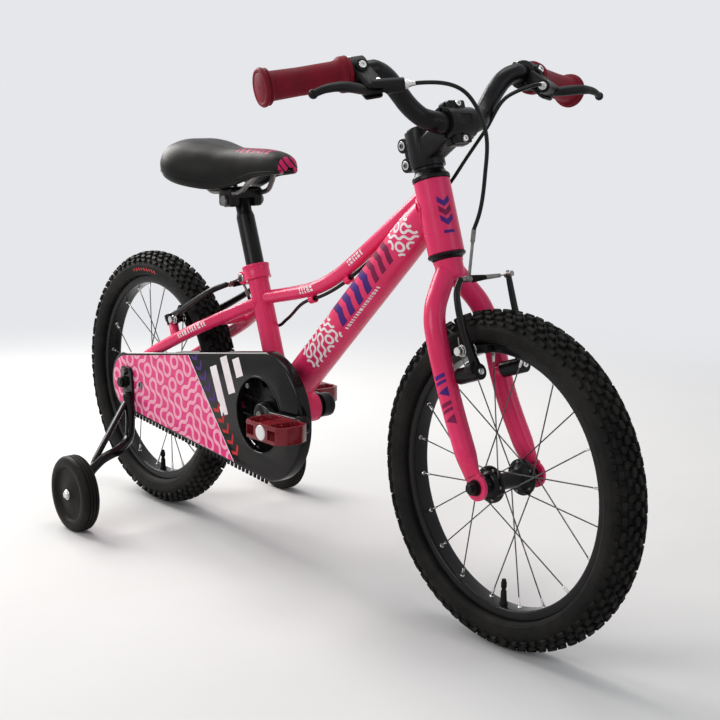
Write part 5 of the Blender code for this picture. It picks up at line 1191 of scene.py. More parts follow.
def clipped(polygon, region):
    """The part of a 2-D polygon that lies inside a convex region drawn anticlockwise."""
    points = [Vector(point) for point in polygon]
    for index, start in enumerate(region):
        start, end = Vector(start), Vector(region[(index + 1) % len(region)])
        edge = end - start
        kept = []
        for here, there in zip(points, points[1:] + points[:1]):
            a = edge.x * (here.y - start.y) - edge.y * (here.x - start.x)
            b = edge.x * (there.y - start.y) - edge.y * (there.x - start.x)
            if a >= 0:
                kept.append(here)
            if a * b < 0:
                kept.append(here.lerp(there, a / (a - b)))
        points = kept
        if len(points) < 3:
            return []
    return points


def band(points, width):
    """Quadrilaterals with mitred joints along a line of points."""
    points = [Vector(point) for point in points]
    edges = []
    for index, here in enumerate(points):
        before, after = points[max(index - 1, 0)], points[min(index + 1, len(points) - 1)]
        run = (after - before).normalized()
        side = Vector((-run.y, run.x)) * width / 2
        edges.append((here - side, here + side))
    return [[a, c, d, b] for (a, b), (c, d) in zip(edges, edges[1:])]


def maze_tile(middle, size, width, flip):
    """Two quarter rings round opposite corners of a square tile."""
    corners = ((-0.5, -0.5, 0.0), (0.5, 0.5, math.pi))
    if flip:
        corners = ((-0.5, 0.5, -math.pi / 2), (0.5, -0.5, math.pi / 2))
    bands = []
    for x, y, start in corners:
        centre = (middle[0] + x * size, middle[1] + y * size)
        bands += band(arc(centre, size / 2, start, start + math.pi / 2, 5), width)
    return bands


def flat_print(polygons, y):
    """Thin printed shapes, drawn in (x, z), on a face that looks toward -Y."""
    bm = bmesh.new()
    for polygon in polygons:
        if len(polygon) > 2:
            bm.faces.new([bm.verts.new((x, y, z)) for x, z in polygon])
    mesh = bpy.data.meshes.new("print")
    bm.to_mesh(mesh)
    bm.free()
    bm = bmesh.new()
    bm.from_mesh(mesh)
    for face in bm.faces:
        if face.normal.y > 0:
            face.normal_flip()
    bm.to_mesh(mesh)
    bm.free()
    return mesh


# Chain guard

FIELD_TOP = Vector((-0.2070, 0.2720))
FIELD_BOTTOM = Vector((-0.0840, 0.1270))
FIELD_INSET = 0.0058


def guard_line(inset, steps=1, convex=False):
    """Outline round the chainring and the rear sprocket, drawn in (x, z)."""
    front = BRACKET.xz + Vector((0.0090, 0))
    rear = REAR_AXLE.xz
    big, small = GUARD_FRONT_RADIUS - inset, GUARD_REAR_RADIUS - inset
    run = front - rear
    slope = math.atan2(run.y, run.x)
    lift = math.acos((small - big if convex else big - small) / run.length)
    return (arc(rear, small, slope + lift, slope + 2 * math.pi - lift, 24 * steps)
            + arc(front, big, slope - lift, slope + lift, 48 * steps))


def guard_shell():
    """Dished cover with a rounded front edge, a lipped opening and a hole for the axle."""
    face = -GUARD_FACE_Y
    rings = []
    bm = bmesh.new()
    for inset, depth in ((0.0022, GUARD_DEPTH), (0.0, GUARD_DEPTH), (0.0, 0.0040),
                         (0.0004, 0.0022), (0.0014, 0.0008), (0.0030, 0.0)):
        rings.append([bm.verts.new((x, face + depth, z)) for x, z in guard_line(inset)])
    for here, there in zip(rings, rings[1:]):
        skin(bm, here, there)
    inner = [bm.verts.new((x, face + GUARD_WALL, z)) for x, z in guard_line(0.0022)]
    skin(bm, inner, rings[0])
    bm.faces.new(inner)
    bm.faces.new(rings[-1])
    solid = mesh_of(bm)
    back = block((-1, face + GUARD_WALL, 0), (-0.2400, face + GUARD_DEPTH + 0.01, 1))
    opening = rod((BRACKET.x, face - 0.01, BRACKET.z), (BRACKET.x, 0, BRACKET.z),
                  GUARD_OPENING_RADIUS, 96)
    axle = rod((REAR_AXLE.x, face - 0.01, AXLE_HEIGHT), (REAR_AXLE.x, 0, AXLE_HEIGHT),
               0.0120, 48)
    return cut(solid, back, opening, axle)


def guard_lip():
    """Rounded rim round the guard's opening."""
    face = GUARD_FACE_Y
    lip = turned([(0.0506, face - 0.0080), (0.0506, face + 0.0001),
                  (GUARD_OPENING_RADIUS, face + 0.0006), (0.0519, face + 0.0008),
                  (0.0528, face + 0.0005), (0.0532, face - 0.0002),
                  (0.0524, face - 0.0021), (0.0519, face - 0.0080)], 96)
    return moved(lip, Matrix.Translation(BRACKET) @ UPRIGHT)


def guard_ribs():
    """Row of small blocks that show along the guard's straight lower edge."""
    line = guard_line(0)
    start, end = Vector(line[24]), Vector(line[25])
    run = (end - start).normalized()
    blocks = []
    for index in range(int((end - start).length / GUARD_RIB_PITCH)):
        place = start + run * (0.0040 + index * GUARD_RIB_PITCH)
        turn = Matrix.Translation((place.x, -GUARD_FACE_Y + 0.0020, place.y))
        turn = turn @ Matrix.Rotation(-math.atan2(run.y, run.x), 4, "Y")
        blocks.append(moved(block((-0.0021, -0.0012, -0.0046), (0.0021, 0.0012, 0.0020)), turn))
    return gathered(*blocks)


def shade_disc_behind_chainring():
    """Dark disc behind the chainring, put there as painted shade seen through the guard's opening.
    """
    hole = [Vector(point) - Vector((-0.0330, 0)) for point in circle(0.0225, 40)]
    disc = plate(circle(0.0560, 72), 0.0010, [hole])
    return moved(upright(disc, -0.0320), Matrix.Translation((BRACKET.x - 0.0330, 0, BRACKET.z)))


def guard_field():
    """Convex outline of the pink field: the guard's rear part up to the slanted line."""
    half_plane = [FIELD_BOTTOM, FIELD_TOP, Vector((-1, 0.30)), Vector((-1, 0.05))]
    return clipped([Vector(point) for point in guard_line(FIELD_INSET, 1, True)], half_plane)


def guard_maze(field):
    """Rounded maze of quarter rings on a slightly turned grid of tiles."""
    chance = random.Random(11)
    slant = Matrix(((1.0, 0.16), (-0.16, 1.0)))
    size = 0.0176
    shapes = []
    for row in range(-7, 8):
        for column in range(-15, 11):
            for box in maze_tile((column * size, row * size), size, 0.0054,
                                 chance.random() < 0.5):
                shape = [Vector((-0.220, 0.200)) + slant @ point for point in box]
                shapes.append(clipped(shape, field))
    return shapes


def guard_marks():
    """Chevrons beside the slanted line and three broad bars, by colour."""
    run = (FIELD_BOTTOM - FIELD_TOP).normalized()
    side = Vector((-run.y, run.x))
    limit = [Vector(point) for point in guard_line(0.0050, 1, True)]
    purple, red, white = [], [], []
    for index in range(10):
        start = FIELD_TOP + run * (0.0150 + index * CHEVRON_PITCH) + side * 0.0050
        tip = start + run * 0.0075 + side * 0.0095
        for a, b in ((start, tip), (tip, start + side * 0.0190)):
            box = [a, a + run * 0.0058, b + run * 0.0058, b]
            (purple if index < 5 else red).append(clipped(box[::-1], limit))
    down = Vector((0.40, -0.92)).normalized()
    wide = Vector((0.0160, 0.0058))
    for x, top, low in ((-0.1440, 0.2550, 0.1900), (-0.1180, 0.2720, 0.2240),
                        (-0.0880, 0.2740, 0.2500)):
        head = Vector((x, top))
        foot = head + down * (top - low) / -down.y
        white.append(clipped([head, foot, foot + wide, head + wide], limit))
    return purple, red, white


def build_guard():
    face = -GUARD_FACE_Y
    field = guard_field()
    purple, red, white = guard_marks()
    line = [FIELD_TOP, FIELD_BOTTOM]
    run = (line[1] - line[0]).normalized()
    side = Vector((-run.y, run.x)) * 0.0007
    border = clipped([line[0] - side, line[0] + side, line[1] + side, line[1] - side][::-1],
                     [Vector(point) for point in guard_line(FIELD_INSET, 1, True)])
    screws = []
    for x, z, radius in ((REAR_AXLE.x + 0.043, AXLE_HEIGHT + 0.001, 0.0056),
                         (-0.0500, 0.2440, 0.0034)):
        screws.append(socket_head((x, face - 0.0001, z), (x, face - 0.0022, z), radius))
    piece("guard_cover", "frame",
          [(guard_shell(), GLOSS_BLACK), (guard_lip(), GLOSS_BLACK),
           # dark disc that paints the shade seen behind the chainring
           (guard_ribs(), BLACK_PLASTIC), (shade_disc_behind_chainring(), BLACK_PLASTIC),
           (flat_print([field], face - 0.00012), PINK_INK),
           (flat_print(guard_maze(field), face - 0.00022), ROSE_INK),
           (flat_print([border], face - 0.00030), WHITE_INK),
           (flat_print(purple, face - 0.00022), PURPLE_INK),
           (flat_print(red, face - 0.00022), RED_INK),
           (flat_print(white, face - 0.00022), WHITE_INK),
           (gathered(*screws), DARK_STEEL)], "chain_guard", "gloss_plastic", 30)


# Drive

def pitch_radius(teeth):
    return CHAIN_PITCH / (2 * math.sin(math.pi / teeth))


def toothed_outline(teeth, phase):
    """Teeth with rounded roots centred between the chain's rollers."""
    pitch = pitch_radius(teeth)
    root, tip = pitch - 0.0044, pitch + 0.0030
    step = 2 * math.pi / teeth
    outline = []
    for index in range(teeth):
        middle = phase + (index + 0.5) * step
        for radius, half in ((root + 0.0006, 0.0029), (root + 0.0024, 0.0022),
                             (pitch, 0.0019), (tip - 0.0008, 0.0012), (tip, 0.0006)):
            outline.append((radius, middle - half / radius))
        for radius, half in ((tip, 0.0006), (tip - 0.0008, 0.0012), (pitch, 0.0019),
                             (root + 0.0024, 0.0022), (root + 0.0006, 0.0029)):
            outline.append((radius, middle + half / radius))
        outline.append((root, middle + step / 2))
    return [(radius * math.cos(a), radius * math.sin(a)) for radius, a in outline]


def chain_path():
    """Pin positions (x, z) round both sprockets, starting on top of the chainring."""
    front, rear = BRACKET.xz, REAR_AXLE.xz
    big, small = pitch_radius(RING_TEETH), pitch_radius(SPROCKET_TEETH)
    run = front - rear
    slope = math.atan2(run.y, run.x)
    lift = math.acos((big - small) / run.length)
    top, bottom = slope + math.pi - lift, slope + math.pi + lift
    dense = [Vector(point) for point in arc(rear, small, top, bottom, 40)]
    start = dense[-1].copy()
    finish = Vector(arc(front, big, bottom, bottom, 1)[0])
    for step in range(1, 60):
        t = step / 60
        point = start.lerp(finish, t)
        point.y -= CHAIN_SAG * 4 * t * (1 - t)
        dense.append(point)
    dense += [Vector(point) for point in arc(front, big, bottom, top + 2 * math.pi, 80)]
    dense.append(dense[0].copy())
    lengths = [0.0]
    for a, b in zip(dense, dense[1:]):
        lengths.append(lengths[-1] + (b - a).length)
    count = 2 * round(lengths[-1] / CHAIN_PITCH / 2)
    pins = []
    place = 0
    for index in range(count):
        target = lengths[-1] * index / count
        while lengths[place + 1] < target:
            place += 1
        t = (target - lengths[place]) / (lengths[place + 1] - lengths[place])
        pins.append(dense[place].lerp(dense[place + 1], t))
    return pins


def roller_phase(centre, teeth):
    """Mean angle, within one tooth, of the chain's rollers that lie on a sprocket."""
    step = 2 * math.pi / teeth
    total = Vector((0, 0))
    for pin in chain_path():
        reach = pin - centre.xz
        if abs(reach.length - pitch_radius(teeth)) < 0.0004:
            angle = math.atan2(reach.y, reach.x) * teeth
            total += Vector((math.cos(angle), math.sin(angle)))
    return math.atan2(total.y, total.x) / teeth % step


def link_plate(bm, start, end, y, thickness):
    """Waisted side plate between two pins."""
    run = (end - start).normalized()
    side = Vector((-run.y, run.x))
    half = (end - start).length / 2
    middle = (start + end) / 2
    outline = []
    for step in range(9):
        angle = -math.pi / 2 + math.pi * step / 8
        outline.append((half + LINK_RADIUS * math.cos(angle), LINK_RADIUS * math.sin(angle)))
    outline.append((0, 0.0031))
    for step in range(9):
        angle = math.pi / 2 + math.pi * step / 8
        outline.append((-half + LINK_RADIUS * math.cos(angle), LINK_RADIUS * math.sin(angle)))
    outline.append((0, -0.0031))
    rings = []
    for depth in (y, y + thickness):
        ring_points = []
        for u, v in outline:
            spot = middle + run * u + side * v
            ring_points.append(bm.verts.new((spot.x, depth - CHAINLINE, spot.y)))
        rings.append(ring_points)
    skin(bm, *rings)
    bm.faces.new(rings[0])
    bm.faces.new(rings[1])


def chain_links():
    pins = chain_path()
    bm = bmesh.new()
    rollers, ends = [], []
    for index, start in enumerate(pins):
        end = pins[(index + 1) % len(pins)]
        outer = index % 2
        offset = 0.0032 if outer else 0.0020
        for y in (offset, -offset - LINK_THICKNESS):
            link_plate(bm, start, end, y, LINK_THICKNESS)
        rollers.append(rod((start.x, -CHAINLINE - 0.0020, start.y),
                           (start.x, -CHAINLINE + 0.0020, start.y), 0.0038, 14))
        ends.append(rod((start.x, -CHAINLINE - 0.0048, start.y),
                        (start.x, -CHAINLINE + 0.0048, start.y), 0.0017, 8))
    return mesh_of(bm), gathered(*rollers, *ends)


def chainring():
    phase = roller_phase(BRACKET, RING_TEETH)
    windows = []
    for index in range(5):
        middle = 2 * math.pi * (index + 0.5) / 5
        windows.append(rounded(arc((0, 0), 0.0470, middle - 0.22, middle + 0.22, 6)
                               + arc((0, 0), 0.0360, middle + 0.20, middle - 0.20, 5), 0.002, 2))
    hole = circle(0.0088, 40)
    flat = plate(toothed_outline(RING_TEETH, phase), SPROCKET_THICKNESS, [hole, *windows])
    collar = turned([(0.0088, 0.0010), (0.0200, 0.0010), (0.0215, 0.0022), (0.0215, 0.0030),
                     (0.0120, 0.0032), (0.0088, 0.0032)], 48)
    raised = gathered(softened(flat, 0.0003, 2, 50), collar)
    return moved(upright(raised, -CHAINLINE), Matrix.Translation((BRACKET.x, 0, BRACKET.z)))


def sprocket():
    phase = roller_phase(REAR_AXLE, SPROCKET_TEETH)
    hole = circle(0.0150, 40)
    flat = plate(toothed_outline(SPROCKET_TEETH, phase), SPROCKET_THICKNESS, [hole])
    flat = softened(flat, 0.0003, 2, 50)
    inner = 0.0278
    body = turned([(0.0092, inner), (0.0225, inner), (0.0235, inner + 0.0010),
                   (0.0235, CHAINLINE + 0.0020), (0.0222, CHAINLINE + 0.0034),
                   (0.0180, CHAINLINE + 0.0035), (0.0176, CHAINLINE + 0.0028),
                   (0.0092, CHAINLINE + 0.0028)], 64)
    turn = Matrix.Translation(REAR_AXLE) @ UPRIGHT
    return gathered(moved(upright(flat, -CHAINLINE), Matrix.Translation(REAR_AXLE)),
                    moved(body, turn))


def crank_arm():
    """Right crank arm along +X, stepping outward past the chain guard."""
    inner = CHAINLINE + 0.0013 + CLEARANCE
    outer = inner + BOSS_WIDTH
    near, far = outer - 0.0050, outer + 0.0094
    bm = bmesh.new()
    rings = []
    for x, y, wide, thick in ((0.004, near, 0.0150, 0.0050), (0.014, near, 0.0122, 0.0050),
                              (0.024, near + 0.0035, 0.0116, 0.0050),
                              (0.036, far - 0.0040, 0.0112, 0.0050), (0.046, far, 0.0108, 0.0050),
                              (0.075, far, 0.0098, 0.0049), (0.098, far, 0.0090, 0.0049),
                              (0.112, far, 0.0084, 0.0048)):
        section = rounded([(-wide, -thick), (wide, -thick), (wide, thick), (-wide, thick)],
                          0.0028, 3)
        rings.append([bm.verts.new((x, -y - b, a)) for a, b in section])
    arm = lofted(bm, rings)
    boss = moved(turned([(0, 0), (0.0165, 0), (0.0165, 0.0095), (0.0160, 0.0100),
                         (0.0165, 0.0105), (0.0165, 0.0135), (0.0159, 0.0140), (0.0163, 0.0146),
                         (0.0160, 0.0165), (0.0145, 0.0182), (0.0118, BOSS_WIDTH),
                         (0, BOSS_WIDTH)], 64),
                 along((0, -inner, 0), (0, -outer, 0)))
    end = rod((CRANK_LENGTH, -far + 0.0050, 0), (CRANK_LENGTH, -far - 0.0050, 0), 0.0120, 56,
              None, 0.0010)
    cap = moved(turned([(0.0068, 0), (0.0112, 0), (0.0112, 0.0006), (0.0104, 0.0012),
                        (0.0072, 0.0012), (0.0068, 0.0004)], 48),
                along((0, -outer + 0.0002, 0), (0, -outer - 1, 0)))
    return gathered(arm, boss, end, cap), outer


def crank_bolt(outer):
    return hex_head((0, -outer + 0.0012, 0), (0, -outer - 0.0012, 0), 0.0062)


def pedal_body():
    """Moulded pedal with ribbed sides, open windows and small grip studs."""
    middle = PEDAL_INNER_Y + PEDAL_WIDTH / 2
    long, wide, high = PEDAL_LENGTH / 2, PEDAL_WIDTH / 2, PEDAL_HEIGHT / 2
    outline = rounded([(-long, -wide * 0.48), (-long * 0.80, -wide), (long * 0.80, -wide),
                       (long, -wide * 0.48), (long, wide * 0.48), (long * 0.80, wide),
                       (-long * 0.80, wide), (-long, wide * 0.48)], 0.003, 3)
    windows = []
    for side in (-1, 1):
        windows.append(rounded([(side * x, y) for x, y in (
            (0.0118, -wide + 0.0042), (0.0305, -wide + 0.0042), (0.0362, -wide * 0.42),
            (0.0362, wide * 0.42), (0.0305, wide - 0.0042), (0.0118, wide - 0.0042))], 0.0025, 3))
    body = softened(plate(outline, PEDAL_HEIGHT, windows), 0.0008, 2)
    pockets = []
    for side in (-1, 1):
        for x in (-0.0225, 0.0225):
            pockets.append(block((x - 0.0080, side * wide - 0.0060, -high + 0.0046),
                                 (x + 0.0080, side * wide + 0.0060, high - 0.0046), 0.0008))
    body = cut(body, *pockets)
    barrel = rod((0, -wide, 0), (0, wide, 0), 0.0105, 48, None, 0.0008)
    studs = []
    for x in (-0.0380, -0.0220, 0.0220, 0.0380):
        for y in (-wide * 0.62, -wide * 0.2, wide * 0.2, wide * 0.62):
            reach = 0.66 if abs(x) > 0.03 else 1.48
            for face in (-1, 1):
                studs.append(rod((x, y * reach, face * (high - 0.0004)),
                                 (x, y * reach, face * (high + 0.0009)), 0.0012, 10, 0.0008))
    place = Matrix.Translation((0, -middle, 0))
    cap = rod((0, -wide + 0.0004, 0), (0, -wide - 0.0010, 0), 0.0098, 56, 0.0092, 0.0004)
    return moved(gathered(body, barrel, *studs), place), moved(cap, place)


def pedal_spindle():
    start = 0.0743
    profile = [(0, 0), (0.0095, 0), (0.0095, 0.0008), (0.0088, 0.0075), (0.0060, 0.0078),
               (0.0060, 0.0500), (0, 0.0500)]
    flats = turned([(0.0058, 0.0015), (0.0102, 0.0015), (0.0102, 0.0062), (0.0058, 0.0062)], 6)
    turn = along((0, -start, 0), (0, -1, 0))
    return gathered(moved(turned(profile, 40), turn), moved(flats, turn))


def build_drive():
    links, rollers = chain_links()
    piece("chain_links", "frame", [(links, DARK_STEEL), (rollers, SPOKE_STEEL)], "chain",
          "dark_steel")
    piece("front_chainring", "crank", [(chainring(), BLACK_METAL)], "chainring", "black_metal")
    piece("rear_freewheel", "sprocket", [(sprocket(), DARK_STEEL)], "rear_sprocket",
          "dark_steel")
    dress("crank_spindle", DARK_STEEL)
    tilt = Matrix.Translation(BRACKET) @ Matrix.Rotation(-CRANK_RISE, 4, "Y")
    half_turn = Matrix.Rotation(math.pi, 4, "Y")
    arm, outer = crank_arm()
    for side, turn, mirror in (("right", tilt, Matrix()), ("left", tilt @ half_turn, MIRROR_Y)):
        piece(f"{side}_crank", "crank",
              [(moved(arm, turn @ mirror), BLACK_METAL),
               (moved(crank_bolt(outer), turn @ mirror), DARK_STEEL)],
              f"crank_arm_{side}", "black_metal")
        spot = Matrix.Translation(turn @ Vector((CRANK_LENGTH, 0, 0)))
        body, cap = pedal_body()
        piece(f"{side}_pedal_body", f"pedal_{side}",
              [(moved(body, spot @ mirror), RED_PLASTIC), (moved(cap, spot @ mirror), WHITE_CAP)],
              f"pedal_{side}", "red_plastic")
        piece(f"{side}_pedal_spindle", "crank",
              [(moved(pedal_spindle(), spot @ mirror), DARK_STEEL)], f"pedal_spindle_{side}",
              "dark_steel")


RED_PLASTIC = plastic("red_plastic", (0.170, 0.005, 0.011), (0.240, 0.007, 0.016), 0.26, 0.12,
                      coat=0.25)
principled_of(RED_PLASTIC).inputs["Transmission Weight"].default_value = 0.25
WHITE_CAP = plastic("white_cap", (0.70, 0.68, 0.68), (0.80, 0.78, 0.78), 0.35, 0.08)


# Training wheels

def side_wheel():
    """Moulded wheel with a grooved tread, a recessed web and a raised hub."""
    half, r = SIDE_WHEEL_WIDTH / 2, SIDE_WHEEL_RADIUS
    side = [(AXLE_BORE, half - 0.0010), (0.0090, half - 0.0010), (0.0110, half - 0.0016),
            (0.0200, half - 0.0034), (0.0300, half - 0.0052), (0.0345, half - 0.0056),
            (0.0378, half - 0.0048), (0.0396, half - 0.0024), (0.0412, half - 0.0007),
            (0.0440, half), (0.0490, half - 0.0004), (0.0532, half - 0.0020),
            (0.0554, half - 0.0046)]
    tread = [(r, half - 0.0066)]
    for place in (0.0050, 0.0):
        tread += [(r, place + 0.0011), (r - 0.0013, place + 0.0006), (r - 0.0013, place - 0.0006),
                  (r, place - 0.0011)]
    tread = tread[:-2]
    whole = side + tread
    profile = whole + [(a, -b) for a, b in reversed(whole)]
    return moved(turned(profile, 96), WHEEL_TURN)


def side_axle():
    """Bolt with its head and washer outside and its nut inside, on the right wheel."""
    half = SIDE_WHEEL_WIDTH / 2
    head = -half + 0.0010 - CLEARANCE
    nut = half + SIDE_EYE_GAP + SIDE_EYE_WIDTH + CLEARANCE
    return gathered(
        rod((0, head, 0), (0, nut, 0), AXLE_RADIUS, 32),
        ring((0, head, 0), (0, head - 0.0012, 0), 0.0045, 0.0078),
        moved(turned([(0, 0), (0.0062, 0), (0.0062, 0.0006), (0.0056, 0.0022), (0.0042, 0.0036),
                      (0.0022, 0.0044), (0, 0.0046)], 40),
              along((0, head - 0.0010, 0), (0, head - 1, 0))),
        hex_head((0, nut, 0), (0, nut + 0.0055, 0), 0.0078))


def side_bracket():
    """Plate on the rear axle, bent bar and flat brace that carry the right wheel."""
    y = GUARD_FACE_Y + CLEARANCE + 0.0020
    centre = SIDE_WHEEL_CENTRE
    eye_near = centre.y + SIDE_WHEEL_WIDTH / 2 + SIDE_EYE_GAP
    foot = eye_near + 0.0060
    outline = rounded([(-0.0110, 0.0170), (-0.0070, 0.0240), (0.0170, 0.0240),
                       (0.0210, 0.0180), (0.0240, -0.0200), (0.0220, -0.0340),
                       (0.0060, -0.0340), (-0.0060, -0.0160)], 0.005)
    hole = circle(AXLE_BORE, 32)
    flat = softened(plate(outline, 0.0040, [hole]), 0.0006)
    flat = moved(upright(flat, -y), Matrix.Translation(REAR_AXLE))
    spacer = ring((REAR_AXLE.x, -REAR_SPACING / 2 - DROPOUT_THICKNESS - CLEARANCE, AXLE_HEIGHT),
                  (REAR_AXLE.x, -y, AXLE_HEIGHT), AXLE_BORE, 0.0095)
    out = -GUARD_FACE_Y - 2 * CLEARANCE - 0.0072
    start = Vector((REAR_AXLE.x + 0.0150, out, AXLE_HEIGHT - 0.0200))
    bar = sweep(smooth_line([
        start, start + Vector((0.0080, -0.0005, -0.0330)),
        start + Vector((0.0150, -0.0080, -0.0600)),
        (centre.x - 0.010, out - 0.0350, centre.z + 0.0520),
        (centre.x, foot + 0.0200, centre.z + 0.0400),
        (centre.x, foot + 0.0020, centre.z + 0.0220),
        (centre.x, foot, centre.z)], 48), 0.0072, 28)
    low, high = (Vector((centre.x - 0.0030, foot + 0.0120, centre.z + 0.0390)),
                 start + Vector((-0.0030, 0.0, -0.0060)))
    brace = sweep([high, high.lerp(low, 0.06), high.lerp(low, 0.94), low], 0.0044, 28,
                  [0.8, 1, 1, 0.8], 1.6)
    eye = ring((centre.x, eye_near, centre.z),
               (centre.x, eye_near + SIDE_EYE_WIDTH, centre.z), AXLE_BORE, 0.0100)
    bolt = REAR_AXLE + Vector((0.0020, -y - 0.0020, 0.0165))
    return (gathered(flat, spacer, bar, brace, eye,
                     moved(ball((0, 0, 0), 0.0072), Matrix.Translation(start))),
            hex_head(bolt, bolt - Vector((0, 0.0042, 0)), 0.0062))


def build_training_wheels():
    bar, bolt = side_bracket()
    for side, mirror in (("right", Matrix()), ("left", MIRROR_Y)):
        place = mirror @ Matrix.Translation(SIDE_WHEEL_CENTRE)
        piece(f"{side}_training_tyre", f"training_wheel_{side}",
              [(moved(side_wheel(), place), SIDE_RUBBER)], f"training_wheel_{side}",
              "black_rubber")
        piece(f"{side}_training_bolt", "frame",
              [(moved(side_axle(), place), BRIGHT_STEEL)], f"training_axle_{side}",
              "bright_steel")
        piece(f"{side}_training_bracket", "frame",
              [(moved(bar, mirror), GLOSS_BLACK), (moved(bolt, mirror), DARK_STEEL)],
              f"training_bracket_{side}", "gloss_plastic")


# Stem and handlebar, in the fork's coordinates

def bar_centre():
    return Vector((0.0600, 0, 0.1385))


def from_clamp(back, side, rise):
    """Fork coordinates of a point given level back, side and rise from the bar clamp."""
    level = STEERING_TURN.to_3x3().inverted() @ Vector((-back, side, rise))
    return bar_centre() + level


def bar_end_run():
    """Direction of the handlebar's right-hand end, outward."""
    spread = math.cos(BAR_SWEEP)
    level = Vector((-math.sin(BAR_SWEEP), -spread, -math.tan(BAR_DROP) * spread))
    return (STEERING_TURN.to_3x3().inverted() @ level).normalized()


def bar_bend_end():
    return from_clamp(BAR_SET_BACK, BAR_STRAIGHT - BAR_HALF_WIDTH, BAR_RISE)


def bar_end():
    run = bar_end_run()
    return bar_bend_end() + run * (BAR_STRAIGHT / -run.y)


def bar_end_frame():
    """Frame on the bar's right-hand end: Z outward along the bar, X forward and down."""
    run = bar_end_run()
    level_down = STEERING_TURN.to_3x3().inverted() @ Vector(
        (math.cos(LEVER_TILT), 0, -math.sin(LEVER_TILT)))
    forward = (level_down - run * level_down.dot(run)).normalized()
    matrix = Matrix.Identity(4)
    matrix.col[0][:3] = forward
    matrix.col[1][:3] = run.cross(forward)
    matrix.col[2][:3] = run
    matrix.translation = bar_end()
    return matrix


def handlebar():
    side = BAR_STRAIGHT - BAR_HALF_WIDTH
    half = [from_clamp(0, -0.024, 0),
            from_clamp(0.001, side * 0.296, 0.002),
            from_clamp(BAR_SET_BACK * 0.45, side * 0.400, BAR_RISE * 0.12),
            from_clamp(BAR_SET_BACK * 0.80, side * 0.522, BAR_RISE * 0.33),
            from_clamp(BAR_SET_BACK, side * 0.670, BAR_RISE * 0.66),
            from_clamp(BAR_SET_BACK, side * 0.817, BAR_RISE * 0.92),
            bar_bend_end() - bar_end_run() * 0.006]
    coarse = smooth_line(half, 10)
    right = [*smooth_line(coarse, 60), bar_bend_end() + bar_end_run() * 0.002, bar_end()]
    left = [MIRROR_Y @ Vector(point) for point in right]
    scales = [1.14 - 0.14 * min(1.0, index / 14) for index in range(len(right))]
    return sweep([*reversed(right), *left], BAR_RADIUS, 40, [*reversed(scales), *scales])


PINCH_BOLT_X = -STEM_RADIUS - 0.0042


def pinch_heights():
    """Heights of the two bolts that close the stem round the steerer."""
    return [STEM_BOTTOM + STEM_HEIGHT * share for share in (0.23, 0.77)]


def stem_body():
    """Stem that clamps the steerer and carries half of the handlebar clamp."""
    top = STEM_BOTTOM + STEM_HEIGHT
    tower = rod((0, 0, STEM_BOTTOM), (0, 0, top), STEM_RADIUS, 72)
    centre = bar_centre()
    barrel = rod(centre + Vector((0, -0.022, 0)), centre + Vector((0, 0.022, 0)), 0.0185, 64)
    root = Vector((0, 0, STEM_BOTTOM + STEM_HEIGHT * 0.42))
    run = centre - root
    neck = block((0, -0.0165, -0.0160), (run.length, 0.0165, 0.0130), 0.0060, 4)
    neck = moved(neck, Matrix.Translation(root)
                 @ Matrix.Rotation(-math.atan2(run.z, run.x), 4, "Y"))
    lugs = block((-STEM_RADIUS - 0.0045, -0.0120, STEM_BOTTOM + 0.004),
                 (-STEM_RADIUS + 0.008, 0.0120, top - 0.004), 0.0030, 3)
    lobes = [rod((PINCH_BOLT_X, -0.0125, height), (PINCH_BOLT_X, 0.0125, height), 0.0088, 48,
                 None, 0.0012) for height in pinch_heights()]
    ears = block((centre.x - 0.011, -0.0135, centre.z - 0.0255),
                 (centre.x + 0.004, 0.0135, centre.z + 0.0255), 0.0030, 3)
    body = joined(tower, neck, barrel, lugs, *lobes, ears)
    face = centre.x + 0.0006
    middle = STEM_BOTTOM + STEM_HEIGHT / 2
    body = cut(body,
               rod((0, 0, 0), (0, 0, 0.3), STEERER_RADIUS + 0.0003, 48),
               rod(centre + Vector((0, -0.04, 0)), centre + Vector((0, 0.04, 0)),
                   BAR_CLAMP_BORE, 48),
               block((face, -0.05, centre.z - 0.05), (face + 0.06, 0.05, centre.z + 0.05)),
               block((-0.05, -0.0010, 0), (-0.010, 0.0010, 0.3)),
               block((-STEM_RADIUS - 0.02, -0.02, middle - 0.002),
                     (-STEM_RADIUS - 0.003, 0.02, middle + 0.002), 0.0008))
    spacer = ring((0, 0, HEAD_TUBE_LENGTH + 0.0114), (0, 0, STEM_BOTTOM - 0.0001),
                  STEERER_RADIUS + 0.0002, 0.0176, 64)
    return gathered(softened(body, 0.0011, 3, 32), spacer)


def faceplate():
    """Front half of the handlebar clamp, with an ear above and below the bar."""
    centre = bar_centre()
    barrel = rod(centre + Vector((0, -0.020, 0)), centre + Vector((0, 0.020, 0)), 0.0180, 64)
    ears = block((centre.x - 0.002, -0.0125, centre.z - 0.0250),
                 (centre.x + 0.0085, 0.0125, centre.z + 0.0250), 0.0025, 3)
    window = block((centre.x + 0.0120, -0.0090, centre.z - 0.0060),
                   (centre.x + 0.0300, 0.0090, centre.z + 0.0060), 0.0020, 3)
    face = centre.x + 0.0012
    body = cut(joined(barrel, ears),
               rod(centre + Vector((0, -0.04, 0)), centre + Vector((0, 0.04, 0)),
                   BAR_CLAMP_BORE, 48),
               block((face - 0.06, -0.05, centre.z - 0.05), (face, 0.05, centre.z + 0.05)),
               moved(window, Matrix.Translation((0.0035, 0, 0))))
    return softened(body, 0.0009, 3, 32)


